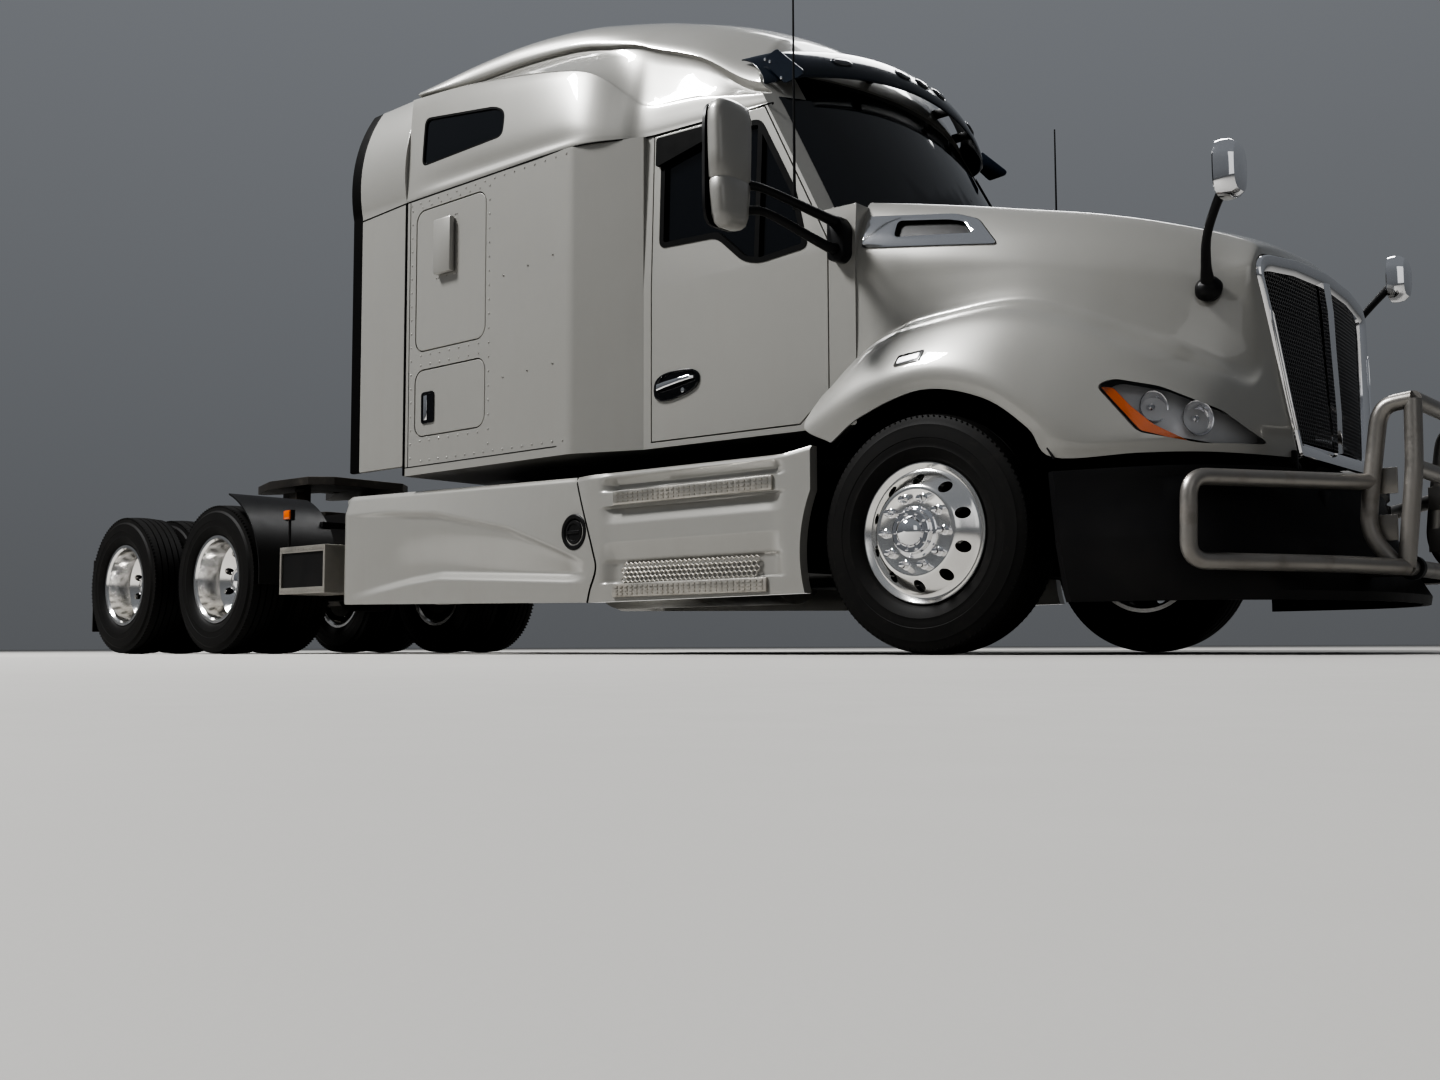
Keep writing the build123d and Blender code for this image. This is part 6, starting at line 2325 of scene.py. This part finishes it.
@dataclass
class Skirts:
    """Side skirts with their wave, ledge, filler cap, steps and perforated strips."""

    outer: float = 1.205
    inner: float = 1.152
    rear_x: float = -4.169
    front_x: float = -0.56
    grid: tuple[int, int] = (190, 96)
    hole_pitch: float = 0.03
    hole_rise: float = 0.0165
    top: Outline = (
        (-4.169, 0.94), (-4.12, 0.959), (-2.1, 0.912), (-0.743, 0.904), (-0.56, 0.93),
    )
    bottom: Outline = ((-4.169, 0.32), (-4.12, 0.3), (-1.95, 0.262), (-0.56, 0.272))
    crease: Outline = (
        (-4.169, 0.846), (-3.7, 0.838), (-3.246, 0.806), (-2.609, 0.683), (-2.25, 0.56), (-1.934, 0.446),
    )
    ledge: Outline = (
        (-4.169, 0.33), (-3.783, 0.391), (-3.5, 0.43), (-3.212, 0.453), (-1.963, 0.392),
    )
    seam: Outline = (
        (-2.105, 0.912), (-2.01, 0.7), (-1.945, 0.52), (-1.925, 0.43), (-1.965, 0.33), (-1.985, 0.262),
    )
    cap: Pair = (-2.089, 0.626)
    # Height and depth of the face between the two steps
    steps: Outline = (
        (0.262, 0.0), (0.352, 0.0), (0.358, 0.04), (0.456, 0.04), (0.47, 0.028), (0.56, 0.006), (0.65, 0.008),
        (0.724, 0.032), (0.732, 0.036), (0.74, 0.0), (0.815, 0.0), (0.822, 0.048), (0.85, 0.05),
        (0.885, 0.012), (0.915, 0.0),
    )

    @staticmethod
    def smooth(low: float, high: float, place: float) -> float:
        """Smooth step from 0 at low to 1 at high."""
        share = min(max((place - low) / (high - low), 0.0), 1.0)
        return share * share * (3 - 2 * share)

    def depth(self, x: float, z: float) -> float:
        """How far the face lies inside the skirt's outer plane.

        Args:
            x: Place along, from the front axle.
            z: Height.

        Returns:
            The depth there.
        """
        crease = Curves.value(self.crease, x)
        ledge = Curves.value(self.ledge, x)
        fade = self.smooth(-4.15, -3.45, x) * (1 - self.smooth(-2.16, -1.98, x))
        under = self.smooth(crease + 0.004, crease - 0.03, z)
        fall = self.smooth(crease - 0.02, ledge, z)
        recess = 0.046 * fade * under * (0.45 + 0.55 * fall) * self.smooth(ledge - 0.035, ledge + 0.02, z)
        high = Curves.value(self.top, x)
        lean = 0.034 * (1 - self.smooth(-2.12, -1.96, x)) * max(0.0, (z - crease) / (high - crease))
        stepped = self.smooth(-1.9, -1.8, x) * (1 - self.smooth(-0.8, -0.7, x))
        foot = stepped * Curves.value(self.steps, z)
        edge = 0.03 * max(0.0, (-4.09 - x) / 0.079) ** 2
        rim = 0.014 * self.smooth(high - 0.03, high, z) ** 2
        return min(recess + lean + foot + edge + rim, 0.05)

    def front(self, z: float) -> float:
        """Where the skirt ends at the wheel arch."""
        reach = ARCH_RADIUS ** 2 - (z - ARCH[1]) ** 2
        return min(self.front_x, ARCH[0] - math.sqrt(max(reach, 0.0)))

    def place(self, across: float, up: float) -> Pair:
        """Place on the skirt at its shares of length and height.

        Args:
            across: Share of the skirt's length.
            up: Share of its height.

        Returns:
            Its x and z.
        """
        x = self.rear_x + (-0.58 - self.rear_x) * across
        low, high = (Curves.value(table, x) for table in (self.bottom, self.top))
        z = low + (high - low) * up
        return self.rear_x + (self.front(z) - self.rear_x) * across, z

    def panel(self, sign: int) -> Item:
        """One skirt as a closed wall.

        Args:
            sign: 1 for the left side, -1 for the right.

        Returns:
            The piece.
        """
        columns, rows = self.grid
        wide = columns + 1
        back = wide * (rows + 1)
        face = [self.place(column / columns, row / rows) for row in range(rows + 1) for column in range(wide)]
        points = [layout.at(x, sign * (self.outer - self.depth(x, z)), z) for x, z in face]
        points += [layout.at(x, sign * self.inner, z) for x, z in face]
        faces = []
        for row in range(rows):
            for start in range(row * wide, row * wide + columns):
                faces.append((start, start + 1, start + wide + 1, start + wide))
        border = list(range(wide))
        border += [row * wide + columns for row in range(1, rows + 1)]
        border += [rows * wide + column for column in range(columns - 1, -1, -1)]
        border += [row * wide for row in range(rows - 1, 0, -1)]
        for first, second in zip(border, border[1:] + border[:1]):
            faces.append((first, second, back + second, back + first))
        faces.append(tuple(back + number for number in reversed(border)))
        used = sorted(set(range(back)) | {back + number for number in border})
        order = {old: new for new, old in enumerate(used)}
        faces = [[order[number] for number in item] for item in faces]
        return shop.new("skirt", [points[old] for old in used], faces)

    def strip(self, sign: int) -> Item:
        """Perforated strip over the lower step, as a net of six-sided holes.

        Args:
            sign: 1 for the left side, -1 for the right.

        Returns:
            The piece.
        """
        centres = []
        for row in range(4):
            x = -1.745 + (self.hole_pitch / 2 if row % 2 else 0.0)
            while x < -0.88:
                centres.append((x, 0.372 + row * self.hole_rise * Repeats.cell_row))
                x += self.hole_pitch
        return Repeats.honeycomb(
            "strip", centres, self.hole_pitch, self.hole_rise,
            lambda x, z: layout.at(x, sign * (self.outer - 0.026), z), 0.0042, Surface.TREAD_PLATE,
        )

    def treads(self, sign: int) -> list[Item]:
        """Two step treads with ribbed edges, and the strip between them.

        Args:
            sign: 1 for the left side, -1 for the right.

        Returns:
            The pieces, not yet joined.
        """
        items = [self.strip(sign)]
        for low, high, x in ((0.742, 0.812, (-1.79, -0.77)), (0.284, 0.35, (-1.795, -0.805))):
            items.append(Forms.block("tread", x, (sign * 1.199, sign * 1.218), (low, high), 0.005))
            for row in range(3):
                z = low + (high - low) * (0.22 + 0.28 * row)
                path = [layout.at(place, sign * 1.218, z) for place in (x[0] + 0.03, x[1] - 0.03)]
                nub = Forms.box("nub", (-0.01, -0.0045, -0.002), (0.01, 0.0045, 0.004))
                items.append(Repeats.row("nubs", path, 0.034, (0, sign, 0), nub, Surface.TREAD_PLATE))
        return items

    def filler_cap(self, sign: int) -> list[Item]:
        """Ring, lid and grip of a filler cap.

        Args:
            sign: 1 for the left side, -1 for the right.

        Returns:
            The pieces, not yet joined.
        """
        x, z = self.cap
        spot = layout.at(x, sign * (self.outer - 0.012), z)
        ring = (
            (-0.02, 0.064), (-0.02, 0.094), (0.008, 0.094), (0.014, 0.088), (0.013, 0.072), (0.002, 0.064),
        )
        lid = (
            (-0.02, 0.0005), (-0.02, 0.064), (0.004, 0.064), (0.012, 0.058), (0.014, 0.045), (0.01, 0.043),
            (0.01, 0.0005),
        )
        items = [Forms.turned("cap", spot, Vector((0, sign, 0)), profile, 48) for profile in (ring, lid)]
        y = (sign * 1.2, sign * 1.209)
        return items + [Forms.block("grip", (x - 0.044, x + 0.044), y, (z - 0.009, z + 0.009), 0.004)]

    def build(self) -> None:
        """Build both skirts."""
        panels, brackets, treads, caps, seams = [], [], [], [], []
        for sign in SIDES.values():
            panels.append(self.panel(sign))
            for x, inner, z in (
                ((-4.03, -3.97), 0.43, (0.87, 0.905)), ((-2.08, -2.02), 0.43, (0.87, 0.905)),
                ((-1.7, -0.85), 1.0, (0.5, 0.7)),
            ):
                brackets.append(Forms.block("bracket", x, (sign * inner, sign * 1.153), z))
            treads += self.treads(sign)
            caps += self.filler_cap(sign)
            line = Curves.through([Vector((x, z, 0)) for x, z in self.seam], 6)
            path = [layout.at(p.x, sign * (self.outer - self.depth(p.x, p.y)), p.y) for p in line]
            seams.append(Forms.tube("seam", path, 0.0045, 8, False))
        shop.unite("skirt_panels", panels, "root", Surface.PAINT, "side_skirts", angle=42)
        shop.unite("skirt_brackets", brackets, "root", Surface.CHASSIS)
        shop.unite("skirt_treads", treads, "root", Surface.TREAD_PLATE, "step_treads")
        shop.unite("filler_caps", caps, "root", Surface.BLACK_PLASTIC)
        shop.unite("skirt_seams", seams, "root", Surface.EDGE_RUBBER)


@dataclass
class Bumper:
    """Moulded bumper with its crease and flange, and the arms of the guard."""

    wall: float = 0.03
    # Height, then the outline's places from the middle to the rear end
    levels: tuple[tuple[float, Outline], ...] = (
        (0.205, ((1.58, 0.0), (1.535, 0.4), (1.375, 0.75), (1.1, 0.995), (0.64, 1.115))),
        (0.24, ((1.586, 0.0), (1.54, 0.405), (1.382, 0.758), (1.102, 1.008), (0.636, 1.128))),
        (0.44, ((1.503, 0.0), (1.393, 0.52), (1.243, 0.862), (1.022, 1.052), (0.62, 1.16))),
        (0.456, ((1.494, 0.0), (1.386, 0.52), (1.238, 0.86), (1.019, 1.05), (0.62, 1.159))),
        (0.56, ((1.448, 0.0), (1.348, 0.555), (1.206, 0.868), (0.996, 1.049), (0.61, 1.161))),
        (0.672, ((1.408, 0.0), (1.316, 0.59), (1.18, 0.872), (0.974, 1.046), (0.602, 1.16))),
        (0.684, ((1.424, 0.0), (1.329, 0.6), (1.189, 0.879), (0.979, 1.049), (0.6, 1.164))),
        (0.715, ((1.424, 0.0), (1.329, 0.6), (1.189, 0.879), (0.979, 1.049), (0.6, 1.164))),
    )

    def build(self) -> None:
        """Build the bumper."""
        fine = []
        for z, outline in self.levels:
            half = [Vector((x, y, z)) for x, y in outline]
            row = [Vector((p.x, -p.y, p.z)) for p in reversed(half[1:])] + half
            fine.append(Curves.through(row, 8))
        stations = []
        for number in range(len(fine[0])):
            outer = [row[number] for row in fine]
            inner = [Vector((p.x - self.wall, p.y * (1 - 0.5 * self.wall), p.z)) for p in reversed(outer)]
            stations.append([layout.at(*point) for point in outer + inner])
        items = [Forms.rings("bumper", stations)]
        x, z = GUARD_PIVOT
        eye = (
            (-0.02, 0.0323), (-0.02, 0.043), (-0.017, 0.046), (0.017, 0.046), (0.02, 0.043), (0.02, 0.0323),
        )
        for sign in SIDES.values():
            y = (sign * 0.352, sign * 0.392)
            items.append(Forms.block("arm", (1.38, x - 0.036), y, (z - 0.03, z + 0.03), 0.004))
            items.append(Forms.turned("eye", layout.at(x, sign * 0.372, z), Vector((0, 1, 0)), eye, 48))
            items.append(Forms.block("horn", (0.95, 1.38), (sign * 0.35, sign * 0.43), (0.5, 0.64), 0.004))
        shop.unite("bumper_shell", items, "root", Surface.BUMPER, "bumper", angle=28)


@dataclass
class Rear:
    """Lamps, markers and step edges behind the sleeper."""

    frame_end: float = -7.54

    def build(self) -> None:
        """Build the fittings."""
        reds, ambers, blacks, treads = [], [], [], []
        aim = Vector((-1, 0, 0))
        ring = ((-0.002, 0.03), (-0.002, 0.036), (0.004, 0.036), (0.006, 0.031), (0.003, 0.029))
        lens = ((-0.002, 0.0005), (-0.002, 0.0305), (0.003, 0.03), (0.006, 0.024), (0.008, 0.0005))
        for sign in SIDES.values():
            for y in (0.35, 0.43, 0.51):
                spot = layout.at(self.frame_end - 0.001, sign * y, 0.67)
                blacks.append(Forms.turned("ring", spot, aim, ring, 32))
                reds.append(Forms.turned("lens", spot, aim, lens, 32))
            stalk = [layout.at(-4.825, sign * 1.15, z) for z in (0.675, 0.87)]
            blacks.append(Forms.tube("stalk", stalk, 0.008, 12, False))
            for kind, x, (near, far), z, bevel in (
                (blacks, (-4.865, -4.785), (1.135, 1.168), (0.858, 0.93), 0.008),
                (ambers, (-4.86, -4.79), (1.16, 1.18), (0.864, 0.924), 0.008),
                (blacks, (-4.826, -4.34), (1.188, 1.2), (0.4, 0.662), 0.0),
                (blacks, (-4.834, -4.824), (0.89, 1.2), (0.4, 0.662), 0.0),
            ):
                kind.append(Forms.block("block", x, (sign * near, sign * far), z, bevel))
            for z in (0.64, 0.38):
                path = [layout.at(x, sign * 1.2105, z + 0.02) for x in (-4.82, -4.35)]
                nub = Forms.box("nub", (-0.009, -0.004, -0.002), (0.009, 0.004, 0.003))
                treads.append(Repeats.row("nubs", path, 0.03, (0, sign, 0), nub, Surface.TREAD_PLATE))
                for number in range(7):
                    y = 0.905 + 0.045 * number
                    rib = [layout.at(x, sign * y, z + 0.04) for x in (-4.825, -4.345)]
                    nub = Forms.box("nub", (-0.006, -0.01, -0.001), (0.006, 0.01, 0.003))
                    treads.append(Repeats.row("ribs", rib, 0.04, (0, 0, 1), nub, Surface.TREAD_PLATE))
        shop.unite("tail_lenses", reds, "root", Surface.RED)
        shop.unite("rear_fittings", blacks, "root", Surface.BLACK_PLASTIC)
        shop.unite("rear_markers", ambers, "root", Surface.AMBER)
        shop.unite("step_nubs", treads, "root", Surface.TREAD_PLATE)


@dataclass
class Upholstery:
    """Padded seats and mattress on their hard bases."""

    seat_y: float = 0.47
    voxel: float = 0.011
    bunk_voxel: float = 0.02
    frames: int = 20

    def inflate(self, item: Item, reach: float) -> Item:
        """Swell a closed pad with cloth pressure and hold each point within a reach.

        Args:
            item: The remeshed pad.
            reach: How far a point may move.

        Returns:
            The swollen pad.
        """
        start = [vertex.co.copy() for vertex in item.data.vertices]
        modifier = item.modifiers.new("Cloth", "CLOTH")
        modifier.settings.quality = 4
        modifier.settings.use_pressure = True
        modifier.settings.uniform_pressure_force = 4.0
        modifier.settings.effector_weights.gravity = 0.0
        modifier.point_cache.frame_start = 1
        modifier.point_cache.frame_end = self.frames
        for number in range(1, self.frames + 1):
            bpy.context.scene.frame_set(number)
        item = shop.bake(item)
        bpy.context.scene.frame_set(1)
        for vertex, place in zip(item.data.vertices, start):
            step = vertex.co - place
            if step.length > reach:
                vertex.co = place + step * (reach / step.length)
        return item

    def pad(self, name: str, x: Point, y: Point, z: Point, reach: float, voxel: float) -> Item:
        """One crowned pad inside its box.

        Args:
            name: The piece's name.
            x: Its span along, from the front axle.
            y: Its span across.
            z: Its span up.
            reach: How far the cloth may swell.
            voxel: The size of its faces.

        Returns:
            The pad, not yet fitted.
        """
        inset = 0.55 * reach
        spans = [(min(span) + inset, max(span) - inset) for span in (x, y, z)]
        item = Forms.block(name, *spans, 0.028)
        item = shop.modify(item, "REMESH", mode="VOXEL", voxel_size=voxel)
        item = self.inflate(item, reach)
        item = shop.modify(item, "SMOOTH", factor=0.5, iterations=4)
        return shop.modify(item, "SUBSURF", levels=1, render_levels=1)

    def soft(self, item: Item, *nodes: str) -> None:
        shop.fit(item, "root", Surface.FABRIC, *nodes, angle=80)

    def piping(self, x: Point, y: Point, z: float, upright: bool = False) -> Item:
        """Piping round a pad's edge, level or upright.

        Args:
            x: Its span along, or its span up where it is upright.
            y: Its span across.
            z: Its height, or its place along where it is upright.
            upright: Whether it stands.

        Returns:
            The piece.
        """
        corners = Curves.rounded(((x[0], y[0]), (x[1], y[0]), (x[1], y[1]), (x[0], y[1])), 0.05)
        path = [layout.at(z, b, a) if upright else layout.at(a, b, z) for a, b in corners]
        return Forms.tube("piping", path + [path[0]], 0.0045, 8, False)

    def build(self) -> None:
        """Build the seats and the bunk."""
        pipes, hard = [], []
        for side, sign in SIDES.items():
            middle = sign * self.seat_y
            y = (middle - 0.25, middle + 0.25)
            seat = self.pad(f"seat_cushion_{side}", (-1.54, -1.06), y, (1.425, 1.56), 0.018, self.voxel)
            self.soft(seat, *(("seats_and_bunk",) if sign > 0 else ()))
            self.soft(self.pad(f"seat_back_{side}", (-1.64, -1.512), y, (1.568, 2.055), 0.018, self.voxel))
            head = (middle - 0.145, middle + 0.145)
            self.soft(self.pad(f"headrest_{side}", (-1.632, -1.53), head, (2.08, 2.238), 0.012, self.voxel))
            edge = (y[0] + 0.008, y[1] - 0.008)
            pipes.append(self.piping((-1.532, -1.068), edge, 1.53))
            pipes.append(self.piping((1.576, 2.047), edge, -1.535, True))
            foot = (middle - 0.15, middle + 0.15)
            hard.append(Forms.block("pedestal", (-1.45, -1.15), foot, (1.08, 1.4), 0.02))
            pan = (middle - 0.235, middle + 0.235)
            hard.append(Forms.block("pan", (-1.53, -1.075), pan, (1.395, 1.432), 0.012))
            for rod in (-0.06, 0.06):
                ends = [layout.at(-1.58, middle + rod, z) for z in (2.02, 2.12)]
                hard.append(Forms.tube("rod", ends, 0.007, 12, False))
        bunk = self.pad("mattress", (-3.468, -2.645), (-1.155, 1.155), (1.665, 1.8), 0.022, self.bunk_voxel)
        self.soft(bunk)
        pipes.append(self.piping((-3.458, -2.653), (-1.148, 1.148), 1.782))
        hard.append(Forms.block("bunk_front", (-2.66, -2.64), (-1.158, 1.158), (1.08, 1.662), 0.006))
        hard.append(Forms.block("bunk_base", (-3.468, -2.662), (-1.15, 1.15), (1.64, 1.668), 0.004))
        shop.unite("seat_piping", pipes, "root", Surface.EDGE_RUBBER)
        shop.unite("seat_frames", hard, "root", Surface.DASH)


@dataclass
class Studio:
    """Camera at the photograph's angle, pale floor and soft light."""

    focal: float = 1404.9
    frame_width: float = 1440.0
    yaw: float = math.radians(-41.26)
    pitch: float = math.radians(4.35)
    roll: float = math.radians(-0.21)
    eye: tuple[float, float, float] = (3.207, -6.103, 0.037)
    sensor: float = 36.0
    floor_half: float = 120.0
    # Position and colour of the sky's two stops, and its strength
    sky_stops: tuple[tuple[float, tuple[float, float, float, float]], ...] = (
        (0.0, (0.5, 0.52, 0.55, 1)), (0.6, (0.82, 0.86, 0.92, 1)),
    )
    sky_strength: float = 0.23

    def camera(self) -> None:
        """Set the camera where the photograph was taken."""
        level = Vector((math.sin(self.yaw), math.cos(self.yaw), 0)) * math.cos(self.pitch)
        forward = level + Vector((0, 0, math.sin(self.pitch)))
        level = forward.cross(Vector((0, 0, 1))).normalized()
        above = level.cross(forward)
        right = math.cos(self.roll) * level + math.sin(self.roll) * above
        up = -math.sin(self.roll) * level + math.cos(self.roll) * above
        data = bpy.data.cameras.new("camera")
        data.sensor_width = self.sensor
        data.lens = self.focal / self.frame_width * self.sensor
        data.clip_end = 400.0
        item = shop.link("camera", data)
        place = Matrix((right, up, -forward)).transposed().to_4x4()
        place.translation = layout.at(*self.eye)
        item.matrix_world = place
        bpy.context.scene.camera = item

    def floor(self) -> None:
        """Lay a plain pale floor."""
        half = self.floor_half
        corners = [(-half, -half, 0), (half, -half, 0), (half, half, 0), (-half, half, 0)]
        item = shop.new("floor", corners, [(0, 1, 2, 3)])
        item.data.materials.append(Surface.FLOOR.material())

    def light(self, name: str, place: Point, target: Point, size: float, power: float) -> None:
        """Hang one square soft light.

        Args:
            name: Its name.
            place: Where it hangs, with x from the front axle.
            target: What it faces.
            size: Its side.
            power: Its power in watts.
        """
        data = bpy.data.lights.new(name, "AREA")
        data.shape = "SQUARE"
        data.size = size
        data.energy = power
        spot = layout.at(*place)
        turn = (layout.at(*target) - spot).to_track_quat("-Z", "Y")
        shop.link(name, data).matrix_world = Matrix.Translation(spot) @ turn.to_matrix().to_4x4()

    def sky(self) -> None:
        """Surround the scene with a soft even glow, darker near the floor."""
        world = bpy.data.worlds.new("studio")
        world.use_nodes = True
        nodes = Nodes(world.node_tree)
        place = nodes.add("ShaderNodeTexCoord", {}, {}, "Generated")
        height = nodes.add("ShaderNodeSeparateXYZ", {}, {"Vector": place}, "Z")
        ramp = nodes.add("ShaderNodeValToRGB", {}, {"Fac": height})
        for element, (position, colour) in zip(ramp.socket.node.color_ramp.elements, self.sky_stops):
            element.position = position
            element.color = colour
        back = world.node_tree.nodes["Background"]
        nodes.plug(back.inputs["Color"], ramp)
        nodes.plug(back.inputs["Strength"], self.sky_strength)
        bpy.context.scene.world = world

    def build(self) -> None:
        """Set up the whole studio."""
        self.camera()
        self.floor()
        self.sky()
        self.light("key", (-9.3, -8.65, 14.4), (-1.5, 0.0, 1.6), 3.5, 4300.0)
        self.light("front", (8.0, -9.0, 5.0), (0.5, 0.0, 1.2), 6.0, 60.0)
        self.light("back", (-4.0, 9.0, 14.0), (-2.0, 0.0, 2.0), 7.0, 850.0)
        bpy.context.scene.view_settings.look = "AgX - High Contrast"


# CAD nodes whose shape stays, each with its finish and edge radius
PLAIN_NODES = {
    "frame_rails": (Surface.CHASSIS, 0.003), "suspension": (Surface.CASTING, 0.004),
    "front_axle": (Surface.CASTING, 0.006), "drive_axles": (Surface.CASTING, 0.006),
    "engine_block": (Surface.ENGINE, 0.02), "driveline": (Surface.CASTING, 0.004),
    "radiator": (Surface.RADIATOR, 0.01), "fuel_tanks": (Surface.TANK, 0.012),
    "side_boxes": (Surface.CHASSIS, 0.012), "cab_shell": (Surface.PAINT, 0.006),
    "sleeper_shell": (Surface.PAINT, 0.006), "dash": (Surface.DASH, 0.012),
    "side_extenders": (Surface.PAINT, 0.006), "extender_edges": (Surface.EDGE_RUBBER, 0.01),
    "deck_and_steps": (Surface.TREAD_PLATE, 0.002), "quarter_fenders": (Surface.BLACK_PLASTIC, 0.004),
    "tail_bar": (Surface.CHASSIS, 0.003), "fifth_wheel_base": (Surface.PLATE, 0.004),
    "tie_rod": (Surface.CASTING, 0.003), "fifth_wheel_plate": (Surface.PLATE, 0.006),
}
PLAIN_SIDE_NODES = {
    "knuckle": (Surface.CASTING, 0.005), "cab_door": (Surface.PAINT, 0.006),
    "door_glass": (Surface.GLASS, 0.0), "upper_hatch": (Surface.PAINT, 0.006),
    "baggage_door": (Surface.PAINT, 0.006),
}


def body_of(node: str) -> str:
    """Body that carries a CAD node."""
    bodies = frame["record"]["behaviour"]["bodies"]
    return next(body for body, nodes in bodies.items() if node in nodes)


def carry_over() -> None:
    """Stand a merged copy with rounded edges for each CAD node that no piece replaces."""
    sided = {f"{node}_{side}": look for side in SIDES for node, look in PLAIN_SIDE_NODES.items()}
    for node, (surface, radius) in {**PLAIN_NODES, **sided}.items():
        item = shop.copy_of(node, f"{node}_skin")
        if radius:
            item = shop.bevel(item, radius)
        shop.fit(item, body_of(node), surface, node, weighted=radius > 0)


def main() -> None:
    """Build the studio and every piece in order."""
    logging.basicConfig(level=logging.INFO, format="%(message)s")
    for assembly in (
        Studio(), Wheels(), Hood(), Guard(), Roof(), Visor(), Mirrors(), CabDoors(), SleeperSide(), Skirts(),
        Bumper(), Rear(), Upholstery(),
    ):
        assembly.build()
    carry_over()


if __name__ == "__main__":
    main()
